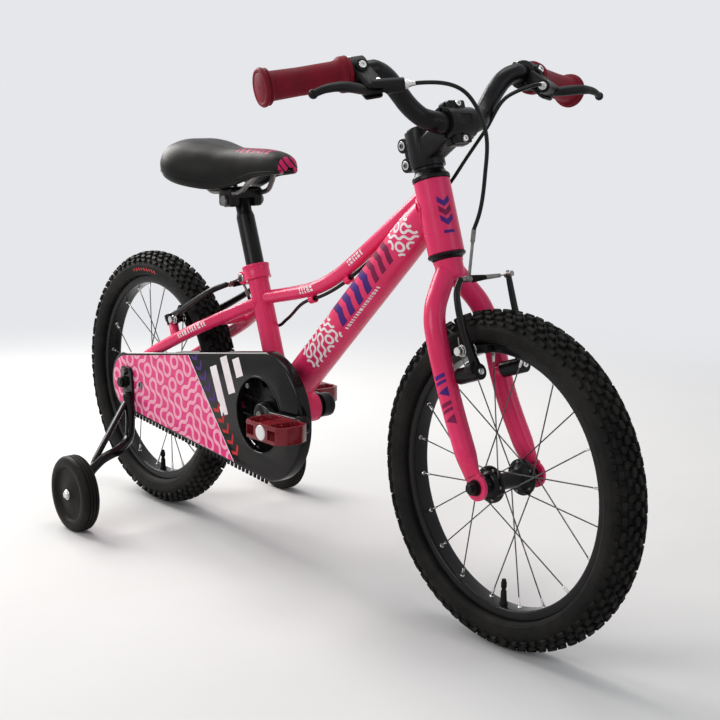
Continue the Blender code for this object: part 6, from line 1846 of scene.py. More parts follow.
def stem_bolts():
    """Bright washers and nuts, and the dark socket screws that go through them."""
    washers, screws = [], []
    for height in pinch_heights():
        near, far = Vector((PINCH_BOLT_X, -0.0124, height)), Vector((PINCH_BOLT_X, 0.0124, height))
        washers.append(ring(near, near - Vector((0, 0.0012, 0)), 0.0034, 0.0054))
        washers.append(hex_head(far, far + Vector((0, 0.0024, 0)), 0.0042))
        screws.append(socket_head(near, near - Vector((0, 0.0020, 0)), 0.0034))
    for rise in (-0.0205, 0.0205):
        spot = bar_centre() + Vector((0.0083, 0, rise))
        washers.append(socket_head(spot, spot + Vector((0.0028, 0, 0)), 0.0036))
    return gathered(*washers), gathered(*screws)


def steerer_cap():
    base = STEM_BOTTOM + STEM_HEIGHT + CLEARANCE
    return turned([(0, base + 0.0026), (0.0042, base + 0.0026), (0.0046, base + 0.0040),
                   (0.0145, base + 0.0040), (0.0168, base + 0.0030), (0.0175, base + 0.0012),
                   (0.0175, base), (0, base)], 64)


def grip():
    """Soft grip with a double ring at its outer end, a collar inside and a vent hole."""
    cap = GRIP_WALL + CLEARANCE
    inner = cap - GRIP_LENGTH
    flange, body = GRIP_FLANGE, GRIP_RADIUS
    profile = [(0.0011, cap - 0.0030), (0.0012, cap - 0.0004), (0.0150, cap - 0.0004),
               (0.0158, cap - 0.0009), (0.0166, cap - 0.0004), (flange - 0.0026, cap),
               (flange - 0.0010, cap - 0.0006), (flange, cap - 0.0022),
               (flange, cap - 0.0040), (flange - 0.0008, cap - 0.0052),
               (flange - 0.0022, cap - 0.0058), (flange - 0.0020, cap - 0.0068),
               (flange - 0.0010, cap - 0.0074), (flange - 0.0010, cap - 0.0088),
               (flange - 0.0022, cap - 0.0100), (body + 0.0008, cap - 0.0112),
               (body + 0.0001, cap - 0.0140), (body - 0.0006, cap - 0.045),
               (body, inner + 0.0170), (body + 0.0010, inner + 0.0128),
               (flange - 0.0024, inner + 0.0104), (flange - 0.0014, inner + 0.0090),
               (flange - 0.0012, inner + 0.0062), (flange - 0.0020, inner + 0.0052),
               (flange - 0.0012, inner + 0.0042), (flange - 0.0010, inner + 0.0016),
               (flange - 0.0020, inner), (BAR_RADIUS + 0.0003, inner), (BAR_RADIUS + 0.0003, 0)]
    return turned([(0, cap - 0.0030), *profile, (0, 0)], 72)


def lever_ring_z():
    """Middle of the brake lever's clamp ring, inboard of the grip."""
    return GRIP_WALL - GRIP_LENGTH - 0.0010 - LEVER_RING_HALF_WIDTH


def lever_pivot():
    return Vector((0.0360, 0, lever_ring_z() - 0.0080))


def barrel_line():
    """Axis of the lever's cable barrel in the bar-end frame, from root to tip."""
    reach, middle = lever_pivot().x, lever_ring_z()
    return (Vector((reach + 0.0020, 0.0045, middle)),
            Vector((reach + 0.0140, 0.0098, middle - 0.0420)))


CLAMP_SCREW_RUN = Vector((math.cos(math.radians(55)), math.sin(math.radians(55)), 0))


def lever_bracket():
    """Clamp ring, body and cable barrel of the brake lever, in the bar-end frame."""
    middle = lever_ring_z()
    low, high = middle - LEVER_RING_HALF_WIDTH, middle + LEVER_RING_HALF_WIDTH
    clamp = rod((0, 0, low), (0, 0, high), 0.0172, 64)
    pivot = lever_pivot()
    body = block((0.008, -0.0075, low - 0.004), (pivot.x + 0.0085, 0.0125, high), 0.0035, 3)
    root, tip = barrel_line()
    barrel = rod(root, root.lerp(tip, 0.80), 0.0090, 40, 0.0076)
    lug = block((-0.0225, -0.0060, low + 0.003), (-0.0105, 0.0060, high - 0.003), 0.0020, 3)
    screw_boss = rod(CLAMP_SCREW_RUN * 0.0120 + Vector((0, 0, middle)),
                     CLAMP_SCREW_RUN * 0.0204 + Vector((0, 0, middle)), 0.0066, 40)
    gap = 0.0035
    solid = cut(joined(clamp, body, barrel, lug, screw_boss),
                rod((0, 0, low - 0.03), (0, 0, high + 0.03), BAR_RADIUS + 0.0003, 48),
                block((pivot.x - 0.0110, -gap, low + 0.0010),
                      (pivot.x + 0.02, gap + 0.0055, high + 0.01)),
                block((pivot.x - 0.0110, -gap, low - 0.0060), (pivot.x + 0.02, gap, high + 0.01)),
                block((-0.04, -0.0008, low - 0.01), (-0.008, 0.0008, high + 0.01)))
    return softened(solid, 0.0009, 3, 32)


def lever_fittings():
    """Barrel adjuster, clamp screw and reach screw of the right lever."""
    root, tip = barrel_line()
    run = (tip - root).normalized()
    middle = lever_ring_z()
    pivot = lever_pivot()
    knurl = []
    seat = root.lerp(tip, 0.82)
    turn = along(seat, tip)
    for index in range(18):
        angle = 2 * math.pi * index / 18
        spot = Vector((0.0044 * math.cos(angle), 0.0044 * math.sin(angle), 0.0003))
        knurl.append(rod(turn @ spot, turn @ (spot + Vector((0, 0, 0.0034))), 0.0005, 6))
    adjuster = [rod(seat - run * 0.002, seat + run * 0.0040, 0.0044, 32, None, 0.0004),
                rod(seat + run * 0.0038, tip, 0.0036, 32, 0.0031, 0.0004)]
    top = Vector((0, 0, middle))
    screw = [socket_head((-0.0175, -0.0060, middle), (-0.0175, -0.0086, middle), 0.0034),
             hex_head((-0.0175, 0.0060, middle), (-0.0175, 0.0080, middle), 0.0036),
             socket_head(top + CLAMP_SCREW_RUN * 0.0200, top + CLAMP_SCREW_RUN * 0.0228, 0.0042),
             rod((pivot.x, -0.0082, pivot.z), (pivot.x, 0.0131, pivot.z), 0.0026, 24, None,
                 0.0004)]
    return gathered(*adjuster, *knurl, *screw)


def lever_blade():
    """Curved lever blade with its ball end, origin at the pivot."""
    route = [(0.0010, 0.0010, 0.0060), (0.0040, 0.0040, 0.0160), (0.0104, 0.0120, 0.0290),
             (0.0160, 0.0205, 0.0459), (0.0180, 0.0240, 0.0640), (0.0200, 0.0236, 0.0790),
             (0.0206, 0.0216, 0.0860)]
    coarse = smooth_line(route, 8)
    shares = smooth_values([0.70, 0.95, 1.15, 1.15, 0.95, 0.80, 0.72], route, 44)
    blade = sweep(smooth_line(coarse, 44), 0.0048, 28, shares, 1.25)
    tongue = softened(cut(block((-0.0060, -0.0031, -0.0050), (0.0062, 0.0031, 0.0180), 0.0012),
                          rod((0, -0.02, 0), (0, 0.02, 0), 0.0033, 24)), 0.0005)
    return gathered(tongue, blade, ball(coarse[-1], 0.0052))


def build_cockpit():
    washers, screws = stem_bolts()
    piece("stem_body", "steering",
          [(moved(stem_body(), STEERING), BLACK_METAL), (moved(washers, STEERING), BRIGHT_STEEL),
           (moved(screws, STEERING), DARK_STEEL)], "stem", "black_metal")
    for name, mesh, node in (("bar_clamp_cap", faceplate(), "stem_faceplate"),
                             ("steerer_top_cap", steerer_cap(), "steerer_cap"),
                             ("bent_handlebar", handlebar(), "handlebar")):
        piece(name, "steering", [(moved(mesh, STEERING), BLACK_METAL)], node, "black_metal")
    spot = Matrix.Translation(lever_pivot())
    for side, place in (("right", STEERING @ bar_end_frame()),
                        ("left", STEERING @ MIRROR_Y @ bar_end_frame())):
        piece(f"{side}_grip_sleeve", "steering", [(moved(grip(), place), GRIP_RUBBER)],
              f"grip_{side}", "grip_rubber")
        piece(f"{side}_lever_perch", "steering",
              [(moved(lever_bracket(), place), BLACK_PLASTIC),
               (moved(lever_fittings(), place), BRIGHT_STEEL)], f"lever_bracket_{side}",
              "black_plastic")
        piece(f"{side}_lever_blade", f"lever_{side}",
              [(moved(lever_blade(), place @ spot), BLACK_PLASTIC)], f"lever_{side}",
              "black_plastic")


# Brakes, each arm drawn with its pivot at the origin, X along the pivot and Z up the arm

FRONT_ARMS = (0.0120, 0.0, 0.0050, 0.1050, 0.0030, -0.0090)
REAR_ARMS = (0.0060, 0.0120, 0.0060, 0.1500, 0.0060, 0.0120)
PAD_GAPS = {"front": 0.0021, "rear": 0.0028}


def brake_arm(length, curl):
    """Bowed oval arm that grows out of its pivot boss and curls inward at its tip."""
    bow = 0.105 / length
    route = [(0, 0.0004, 0.0040), (0, -0.0045 * bow, length * 0.28),
             (0, -0.0078 * bow, length * 0.50), (0, -0.0082 * bow, length * 0.72),
             (0, min(-0.0050 * bow, curl * 0.95), length * 0.89), (0, curl, length)]
    shares = [1.50, 1.10, 1.0, 0.95, 0.90, 0.82]
    bar = sweep(smooth_line(route, 44), 0.0018 + 0.0250 * length, 28,
                smooth_values(shares, route, 44), 0.84)
    foot = rod((-0.0050, -0.0062, 0.0050), (0.0046, -0.0062, 0.0050), 0.0078, 40, None, 0.0014)
    return gathered(bar, foot, ball((0, curl, length), 0.0038))


def brake_pivot(back):
    """Sleeve, bolt head and return spring at the arm's pivot."""
    sleeve = ring((-back, 0, 0), (0.0056, 0, 0), 0.0030, 0.0094, 48)
    bolt = socket_head((0.0052, 0, 0), (0.0078, 0, 0), 0.0038)
    spring = sweep([(-0.0060, -0.0070, 0.0020), (-0.0062, -0.0110, 0.0120),
                    (-0.0060, -0.0132, 0.0300), (-0.0040, -0.0138, 0.0420)], 0.0007, 8)
    return sleeve, bolt, spring


def brake_pad(forward, gap):
    """Curved pad beside the rim, its post and the washers that angle it."""
    rim_face = BRAKE_PIVOT_Y - RIM_WIDTH / 2 - gap
    inner, outer = BRAKE_PAD_RADIUS - 0.0048, BRAKE_PAD_RADIUS + 0.0042
    lean = math.pi / 2 - math.asin(forward / BRAKE_PAD_RADIUS)
    axle = (-forward, BRAKE_PAD_RISE - math.sqrt(BRAKE_PAD_RADIUS ** 2 - forward ** 2))
    sweep_half = math.radians(8.5)
    outline = (arc(axle, outer, lean - sweep_half, lean + sweep_half, 14)
               + arc(axle, inner, lean + sweep_half, lean - sweep_half, 14))
    pad = softened(upright(plate(rounded(outline, 0.003, 3), 0.0080), rim_face - 0.0040),
                   0.0009, 2, 50)
    rise = BRAKE_PAD_RISE
    post = rod((0, rim_face - 0.006, rise), (0, -0.0060, rise), 0.0030, 24)
    cups = gathered(
        ring((0, rim_face - 0.0078, rise), (0, rim_face - 0.0098, rise), 0.0030, 0.0066),
        ring((0, rim_face - 0.0102, rise), (0, rim_face - 0.0122, rise), 0.0030, 0.0056),
        ring((0, 0.0008, rise), (0, -0.0010, rise), 0.0030, 0.0070),
        ring((0, -0.0014, rise), (0, -0.0030, rise), 0.0030, 0.0058),
        hex_head((0, -0.0030, rise), (0, -0.0078, rise), 0.0054))
    return pad, post, cups


def brake_link(matrix, setting):
    """Holder, bellows, wire's two halves, sleeve and anchor bolt between the arms' tips."""
    forward, rise, inset, length, near_curl, far_curl = setting
    reach = BRAKE_PIVOT_Y - inset
    near = Vector((forward, near_curl - reach, rise + length))
    far = Vector((forward, reach - far_curl + 0.0020, rise + length + 0.0010))
    middle = near.lerp(far, 0.50)
    wire, tail = rod(near, middle, 0.0008, 12), rod(middle, far, 0.0008, 12)
    rings = []
    count = 9
    for index in range(count):
        share = 0.24 + 0.26 * index / count
        size = 0.0044 - 0.0014 * index / count
        a = near.lerp(far, share)
        b = near.lerp(far, share + 0.26 / count)
        rings.append(rod(a, b, size, 24, size * 0.80, 0.0002))
    sleeve = rod(near.lerp(far, 0.50), near.lerp(far, 0.80), 0.0030, 20, 0.0024, 0.0004)
    head = near.lerp(far, 0.14)
    up = Vector((0, 0, 0.0040))
    holder = gathered(rod(near.lerp(far, 0.02), near.lerp(far, 0.22), 0.0032, 24, None, 0.0006),
                      rod(head - up * 0.4, head + up, 0.0036, 24, None, 0.0005))
    clamp = near.lerp(far, 0.975)
    across = Vector((0.0050, 0, 0))
    anchor = gathered(rod(clamp - across, clamp + across * 0.7, 0.0032, 28, None, 0.0004),
                      hex_head(clamp + across * 0.7, clamp + across * 1.3, 0.0036),
                      rod(clamp - up * 0.6, clamp + up * 1.2, 0.0020, 20, None, 0.0004),
                      rod(clamp, clamp + (far - near).normalized() * 0.0090, 0.0007, 10))
    meshes = [moved(mesh, matrix)
              for mesh in (wire, gathered(*rings), tail, sleeve, holder, anchor)]
    return meshes, [matrix @ near.lerp(far, share) for share in (0.08, 0.50, 0.92)]


def build_brake(end, matrix, setting, offset, back, flip):
    """Both arms with their pads; the setting places the arms beside their pivot pins."""
    forward, rise, inset, length, near_curl, far_curl = setting
    sleeve, bolt, spring = brake_pivot(back)
    pad, post, cups = brake_pad(offset, PAD_GAPS[end])
    shift = Matrix.Translation((forward, inset, rise))
    carrier = block((-0.0062, 0.0004, BRAKE_PAD_RISE - 0.0066),
                    (forward, 0.0096, BRAKE_PAD_RISE + 0.0066), 0.0024, 3)
    for side, curl in (("right", near_curl), ("left", far_curl)):
        arm = brake_arm(length, curl)
        toward_minus = (side == "right") != flip
        y = -BRAKE_PIVOT_Y if toward_minus else BRAKE_PIVOT_Y
        place = matrix @ Matrix.Translation((0, y, 0)) @ (Matrix() if toward_minus else MIRROR_Y)
        body = f"{end}_brake_arm_{side}"
        piece(f"{end}_{side}_caliper_arm", body,
              [(moved(gathered(arm, sleeve), place @ shift), BLACK_METAL),
               (moved(carrier, place), BLACK_METAL),
               (moved(bolt, place @ shift), BRIGHT_STEEL),
               (moved(spring, place @ shift), DARK_STEEL)], body,
              "black_metal")
        piece(f"{end}_{side}_pad_block", body,
              [(moved(pad, place), BLACK_RUBBER), (moved(post, place), DARK_STEEL),
               (moved(cups, place), BRIGHT_STEEL)], f"{end}_brake_pad_{side}", "black_rubber")


def build_brakes():
    front = STEERING @ front_brake_matrix()
    rear = rear_brake_matrix()
    build_brake("front", front, FRONT_ARMS, BRAKE_PLANE_FORWARD - FORK_RAKE, 0.0290, False)
    build_brake("rear", rear, REAR_ARMS, REAR_BRAKE_OFFSET, 0.0090, True)
    for end, carrier, link in (
            ("front", "steering", brake_link(front, FRONT_ARMS)),
            ("rear", "frame", brake_link(rear @ MIRROR_Y, REAR_ARMS))):
        (wire, bellows, tail, sleeve, holder, anchor), (near, middle, far) = link
        right, left = f"{end}_brake_arm_right", f"{end}_brake_arm_left"
        piece(f"{end}_noodle_holder", right, [(holder, DARK_STEEL)], slot="dark_steel")
        half = piece(f"{end}_brake_link", None, [(wire, DARK_STEEL), (bellows, BLACK_RUBBER)],
                     slot="black_rubber")
        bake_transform(half)
        half = piece(f"{end}_wire_tail", None, [(tail, DARK_STEEL), (sleeve, DARK_STEEL)],
                     slot="dark_steel")
        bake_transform(half)
        piece(f"{end}_wire_anchor", left, [(anchor, DARK_STEEL)], slot="dark_steel")


# Brake cables, routed through given points

def lever_cable_start():
    """First two points of the cable, straight out of the right lever's barrel."""
    root, tip = barrel_line()
    run = (tip - root).normalized()
    return [bar_end_frame() @ (tip + run * step) for step in (CLEARANCE, 0.008)]


def front_cable_route():
    """Right lever to the front brake's noodle."""
    start = [STEERING @ point for point in lever_cable_start()]
    return [*start, Vector((0.336, -0.030, 0.628)), Vector((0.350, -0.016, 0.590)),
            Vector((0.352, -0.017, 0.540)), Vector((0.3455, -0.0190, 0.4960))]


def front_noodle():
    """Thin straight tube from the casing's ferrule down to the right arm's tip."""
    brake = STEERING @ front_brake_matrix()
    return [brake @ Vector(point) for point in (
        (0.0354, -0.0180, 0.1560), (0.0266, -0.0178, 0.1380), (0.0125, -0.0176, 0.1085))]


def rear_cable_route():
    """Left lever, past the head tube, under the top tube, to the rear brake's noodle."""
    start = [STEERING @ (MIRROR_Y @ point) for point in lever_cable_start()]
    (guide_1, run_1, _), (guide_2, run_2, _) = cable_line_under_top_tube()
    seat = seat_point(SEAT_TUBE_LENGTH - 0.0860) + Vector((0, SEAT_TUBE_RADIUS + 0.0045, 0))
    past_head = [head_point(HEAD_TUBE_LENGTH) + Vector(offset) for offset in (
        (0.0490, 0.0700, 0.0960), (0.0375, 0.0500, 0.0600), (0.0170, 0.0370, 0.0241),
        (0.0025, 0.0290, -0.0008), (-0.0200, 0.0240, -0.0240), (-0.0470, 0.0180, -0.0440),
        (-0.0760, 0.0140, -0.0670), (-0.1101, 0.0105, -0.0956))]
    past_seat = [seat + Vector(offset) for offset in (
        (0.0180, -0.0010, 0.0100), (0, 0, 0), (-0.0190, -0.0045, 0.0),
        (-0.0330, -0.0085, 0.0080), (-0.0430, -0.0135, 0.0210), (-0.0490, -0.0180, 0.0380))]
    return [*start, *past_head,
            guide_2 + run_2 * 0.008, guide_2 - run_2 * 0.008,
            guide_1 + run_1 * 0.008, guide_1 - run_1 * 0.008, *past_seat]


def rear_noodle():
    """Thin tube that curls from the casing's end over to the right arm's tip."""
    tip = rear_brake_matrix() @ Vector((0.0060, 0.0230, 0.1640))
    end = rear_cable_route()[-1]
    return [end, end + Vector((-0.0030, -0.0050, 0.0150)), end + Vector((-0.0062, -0.0110, 0.0235)),
            tip + Vector((0.0010, 0.0080, 0.0040)), tip]


def build_cables():
    for name, route, noodle, body in (
            ("front", front_cable_route(), front_noodle(), "steering"),
            ("rear", rear_cable_route(), rear_noodle(), None)):
        end = noodle[0] + (noodle[0] - noodle[1]).normalized() * 0.0010
        casing_line = smooth_line([*route, end], 240)
        noodle_line = smooth_line(noodle, 40)
        ferrule = [casing_line[-1], *noodle_line[:11 if body else 6]]
        cable = piece(f"{name}_cable_casing", body,
                      [(sweep(casing_line, CASING_RADIUS, 18), CABLE_SKIN),
                       (sweep(casing_line[:4], CASING_RADIUS + 0.0004, 20), BRIGHT_STEEL),
                       (sweep(ferrule, CASING_RADIUS + 0.0004, 20), DARK_STEEL)],
                      f"{name}_brake_cable", "cable_skin", 60)
        tube = piece(f"{name}_brake_noodle", None,
                     [(sweep(noodle_line, 0.0018, 16), DARK_STEEL)], slot="dark_steel", angle=60)
        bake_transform(tube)
    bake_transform(cable)


# Saddle and seat post

SADDLE_LENGTH = 0.2640
SADDLE_HALF_WIDTH = 0.0690
SADDLE_HEIGHT = 0.0814


def seat_frame():
    turn = Matrix.Rotation(SEAT_ANGLE - math.pi / 2, 4, "Y")
    return Matrix.Translation(SEAT_TOP) @ turn


def saddle_pivot():
    """Centre of the bar on the post that the saddle tilts on."""
    return seat_frame() @ Vector((0, 0, POST_EXPOSED - 0.0060))


def saddle_stations():
    """Sections from nose to tail: x, half width, and heights of crown, edge and recess."""
    pivot = saddle_pivot()
    shares = [(0.0000, 0.116, 0.693, 0.546, 0.599), (0.0265, 0.239, 0.778, 0.500, 0.602),
              (0.1098, 0.312, 0.846, 0.465, 0.618), (0.2424, 0.355, 0.877, 0.410, 0.633),
              (0.3939, 0.449, 0.877, 0.262, 0.618), (0.5265, 0.638, 0.883, 0.175, 0.565),
              (0.6591, 0.870, 0.938, 0.192, 0.506), (0.7917, 1.000, 1.000, 0.262, 0.481),
              (0.8939, 0.928, 1.000, 0.352, 0.505), (0.9621, 0.696, 0.938, 0.430, 0.537),
              (1.0000, 0.377, 0.803, 0.530, 0.600)]
    return [(pivot.x + 0.1243 - SADDLE_LENGTH * back - 0.0095 * max(0, 1 - back / 0.39),
             SADDLE_HALF_WIDTH * wide,
             pivot.z + SADDLE_HEIGHT * crown, pivot.z + SADDLE_HEIGHT * edge,
             pivot.z + SADDLE_HEIGHT * ceiling)
            for back, wide, crown, edge, ceiling in shares]


def hermite(values, places, x):
    """Smooth curve through values given at falling or rising places."""
    count = len(places)
    span = 0
    while span < count - 2 and (x - places[span + 1]) * (places[-1] - places[0]) > 0:
        span += 1

    def slope(index):
        low, high = max(index - 1, 0), min(index + 1, count - 1)
        return (values[high] - values[low]) / (places[high] - places[low])
    width = places[span + 1] - places[span]
    t = (x - places[span]) / width
    return (values[span] * (1 + 2 * t) * (1 - t) ** 2 + slope(span) * width * t * (1 - t) ** 2
            + values[span + 1] * t * t * (3 - 2 * t)
            + slope(span + 1) * width * t * t * (t - 1))


def saddle_section(x, wide, crown, edge, ceiling):
    """Closed ring across the saddle: crown, rolled side, lower edge and recess."""
    deep = crown - edge
    control = [(0, crown), (wide * 0.30, crown - deep * 0.010), (wide * 0.56, edge + deep * 0.915),
               (wide * 0.80, edge + deep * 0.775), (wide * 0.945, edge + deep * 0.55),
               (wide * 0.992, edge + deep * 0.34), (wide * 0.972, edge + deep * 0.16),
               (wide * 0.915, edge + deep * 0.03), (wide * 0.850, edge),
               (wide * 0.74, edge + deep * 0.03), (wide * 0.66, edge + deep * 0.16),
               (wide * 0.62, ceiling)]
    smooth = [(p.x, p.y) for p in smooth_line([Vector((a, b, 0)) for a, b in control[:-1]], 34)]
    half = smooth + [control[-1], (wide * 0.3, ceiling)]
    ring_points = [(x, y, z) for y, z in half]
    ring_points += [(x, -y, z) for y, z in reversed(half[1:])]
    return ring_points


def saddle_shell():
    stations = saddle_stations()
    places = [station[0] for station in stations]
    columns = [[station[index] for station in stations] for index in (1, 2, 3, 4)]
    steps = 84
    rings = []
    bm = bmesh.new()
    for step in range(steps + 1):
        share = step / steps
        share = 0.5 - 0.5 * math.cos(math.pi * share) if step in (0, steps) else share
        x = places[0] + (places[-1] - places[0]) * share
        wide, crown, edge, ceiling = [hermite(column, places, x) for column in columns]
        if step in (0, steps):
            wide, crown, edge = wide * 0.86, crown - 0.0012, edge + 0.0008
        section = saddle_section(x, wide, crown, edge, ceiling)
        rings.append([bm.verts.new(point) for point in section])
    return softened(lofted(bm, rings), 0.0022, 3, 55)


def saddle_seam():
    """Piping along the saddle's side, where the top panel is sewn to the side panel."""
    stations = saddle_stations()
    places = [station[0] for station in stations]
    columns = [[station[index] for station in stations] for index in (1, 2, 3)]
    lines = []
    for side in (-1, 1):
        points = []
        for step in range(90):
            x = places[0] + (places[-1] - places[0]) * (0.012 + 0.976 * step / 89)
            wide, crown, edge = [hermite(column, places, x) for column in columns]
            points.append((x, side * wide * 0.976, edge + (crown - edge) * 0.155))
        lines.append(sweep(points, 0.0008, 8))
    return gathered(*lines)


def saddle_pan():
    stations = saddle_stations()[1:-1]
    rings = []
    bm = bmesh.new()
    for x, wide, _, _, ceiling in stations:
        top = ceiling - CLEARANCE
        low = top - SADDLE_PAN_THICKNESS
        upper, lower = wide * 0.62 - CLEARANCE, wide * 0.55 - CLEARANCE
        rings.append([bm.verts.new(point) for point in (
            (x, upper, top), (x, -upper, top), (x, -lower, low), (x, lower, low))])
    return softened(lofted(bm, rings), 0.0010, 2, 40)


def pan_floor(x):
    stations = saddle_stations()
    for (x0, *_, ceiling0), (x1, *_, ceiling1) in zip(stations, stations[1:]):
        if x1 <= x <= x0:
            t = (x - x0) / (x1 - x0)
            return ceiling0 + (ceiling1 - ceiling0) * t - CLEARANCE - SADDLE_PAN_THICKNESS
    return 0


def rail_height():
    return saddle_pivot().z + 0.0060 + RAIL_RADIUS + 0.0010


def saddle_rails():
    """One bent wire: along the pan at the tail, through the clamp and round the nose."""
    z = rail_height()
    middle = saddle_pivot().x
    seat = 2 * CLEARANCE + RAIL_RADIUS
    side = -RAIL_HALF_SPACING
    tail, rear, front, nose = [middle + SADDLE_LENGTH * share
                               for share in (-0.371, -0.318, 0.250, 0.312)]
    half = [(tail, side * 1.32, pan_floor(tail) - seat),
            (rear, side * 1.27, pan_floor(rear) - seat),
            (middle - SADDLE_LENGTH * 0.235, side * 1.14, (z + pan_floor(rear)) / 2),
            (middle - SADDLE_LENGTH * 0.159, side, z), (middle - 0.025, side, z),
            (middle + 0.016, side, z), (middle + 0.030, side, z + 0.0030),
            (middle + 0.048, side * 0.82, (z + pan_floor(front)) / 2),
            (front, side * 0.48, pan_floor(front) - seat),
            (nose, side * 0.39, pan_floor(nose) - seat),
            (nose + 0.0060, side * 0.18, pan_floor(nose) - seat)]
    right = [Vector(point) for point in half]
    left = [MIRROR_Y @ point for point in reversed(right)]
    return sweep(smooth_line(smooth_line(right + left, 43), 150), RAIL_RADIUS, 20)


def saddle_clamp():
    """Clamp that turns on the post's bar and holds both rails."""
    centre = saddle_pivot()
    half = RAIL_HALF_SPACING + 0.0055
    rail = rail_height()
    jaw = block((centre.x - 0.0190, -half, centre.z - 0.0090),
                (centre.x + 0.0125, half, rail + RAIL_RADIUS + 0.0035), 0.0045, 3)
    tail = rod((centre.x - 0.0180, -0.0160, centre.z - 0.0020),
               (centre.x - 0.0180, 0.0160, centre.z - 0.0020), 0.0090, 48)
    bar = rod((centre.x, -0.05, centre.z), (centre.x, 0.05, centre.z), 0.0063, 40)
    room = POST_RADIUS + 0.0002
    neck = block((-room, -room, -0.04), (room, room, 0.0085))
    neck = moved(neck, Matrix.Translation(centre)
                 @ Matrix.Rotation(SEAT_ANGLE - math.pi / 2, 4, "Y"))
    grooves = [rod((centre.x - 0.06, side * RAIL_HALF_SPACING, rail),
                   (centre.x + 0.06, side * RAIL_HALF_SPACING, rail), RAIL_RADIUS + CLEARANCE,
                   24) for side in (-1, 1)]
    body = softened(cut(joined(jaw, tail), bar, neck, *grooves), 0.0010, 3, 32)
    nuts = []
    for side in (-1, 1):
        face = Vector((centre.x, side * (half + 0.0006), centre.z))
        nuts.append(hex_head(face, face + Vector((0, side * 0.0040, 0)), 0.0078))
    return body, gathered(*nuts)


def seat_post():
    top = POST_EXPOSED
    neck = POST_RADIUS - 0.0020
    profile = [(0, top), (neck - 0.0010, top), (neck, top - 0.0010), (neck, top - 0.0240),
               (neck + 0.0008, top - 0.0258), (POST_RADIUS - 0.0006, top - 0.0288),
               (POST_RADIUS, top - 0.0305), (POST_RADIUS, -0.0850), (0.0109, -0.0850),
               (0.0109, top - 0.0400), (0, top - 0.0400)]
    half = RAIL_HALF_SPACING + 0.0095
    bar = rod((0, -half, top - 0.0060), (0, half, top - 0.0060), 0.0060, 36, None, 0.0006)
    return moved(gathered(turned(profile, 64), bar), seat_frame())


COLLAR_BOLT_X = -CLAMP_RADIUS - 0.0085


def seat_collar():
    """Split band round the top of the seat tube with two ears at the back."""
    band = turned([(SEAT_TUBE_RADIUS + 0.0003, -CLAMP_HEIGHT),
                   (SEAT_TUBE_RADIUS + 0.0003, CLEARANCE), (POST_RADIUS + 0.0010, CLEARANCE),
                   (POST_RADIUS + 0.0010, 0.0014), (CLAMP_RADIUS + 0.0004, 0.0016),
                   (CLAMP_RADIUS + 0.0008, 0.0010), (CLAMP_RADIUS + 0.0008, -0.0016),
                   (CLAMP_RADIUS, -0.0024), (CLAMP_RADIUS, -CLAMP_HEIGHT + 0.0024),
                   (CLAMP_RADIUS + 0.0006, -CLAMP_HEIGHT + 0.0016),
                   (CLAMP_RADIUS + 0.0006, -CLAMP_HEIGHT)], 72)
    ears = joined(block((COLLAR_BOLT_X, -COLLAR_EAR, -CLAMP_HEIGHT + 0.0012),
                        (-SEAT_TUBE_RADIUS - 0.0015, COLLAR_EAR, -0.0010), 0.0020, 3),
                  rod((COLLAR_BOLT_X, -COLLAR_EAR, -COLLAR_EAR),
                      (COLLAR_BOLT_X, COLLAR_EAR, -COLLAR_EAR), COLLAR_EAR, 48, None, 0.0014))
    slit = block((-0.05, -0.0012, -0.05), (-0.008, 0.0012, 0.05))
    return moved(softened(cut(joined(band, ears), slit), 0.0005, 2, 40), seat_frame())


def collar_bolt():
    """Bright washers and nut, and the dark socket screw through the collar's ears."""
    spot = Vector((COLLAR_BOLT_X, 0, -COLLAR_EAR))
    side = Vector((0, 1, 0))
    washers = gathered(
        ring(spot - side * COLLAR_EAR, spot - side * 0.0108, 0.0050, 0.0062),
        ring(spot + side * COLLAR_EAR, spot + side * 0.0101, 0.0024, 0.0056),
        hex_head(spot + side * 0.0100, spot + side * 0.0124, 0.0048))
    screw = gathered(rod(spot - side * COLLAR_EAR, spot + side * COLLAR_EAR, 0.0026, 20),
                     socket_head(spot - side * 0.0090, spot - side * 0.0114, 0.0046))
    return moved(washers, seat_frame()), moved(screw, seat_frame())


def compared(material, output, operation, level):
    node = add_node(material, "ShaderNodeMath", operation=operation)
    node.inputs[1].default_value = level
    link(material, output, node.inputs[0])
    return node.outputs["Value"]


def above(material, output, level):
    return compared(material, output, "GREATER_THAN", level)


def below(material, output, level):
    return compared(material, output, "LESS_THAN", level)


def product(material, first, second):
    node = add_node(material, "ShaderNodeMath", operation="MULTIPLY")
    link(material, first, node.inputs[0])
    link(material, second, node.inputs[1])
    return node.outputs["Value"]


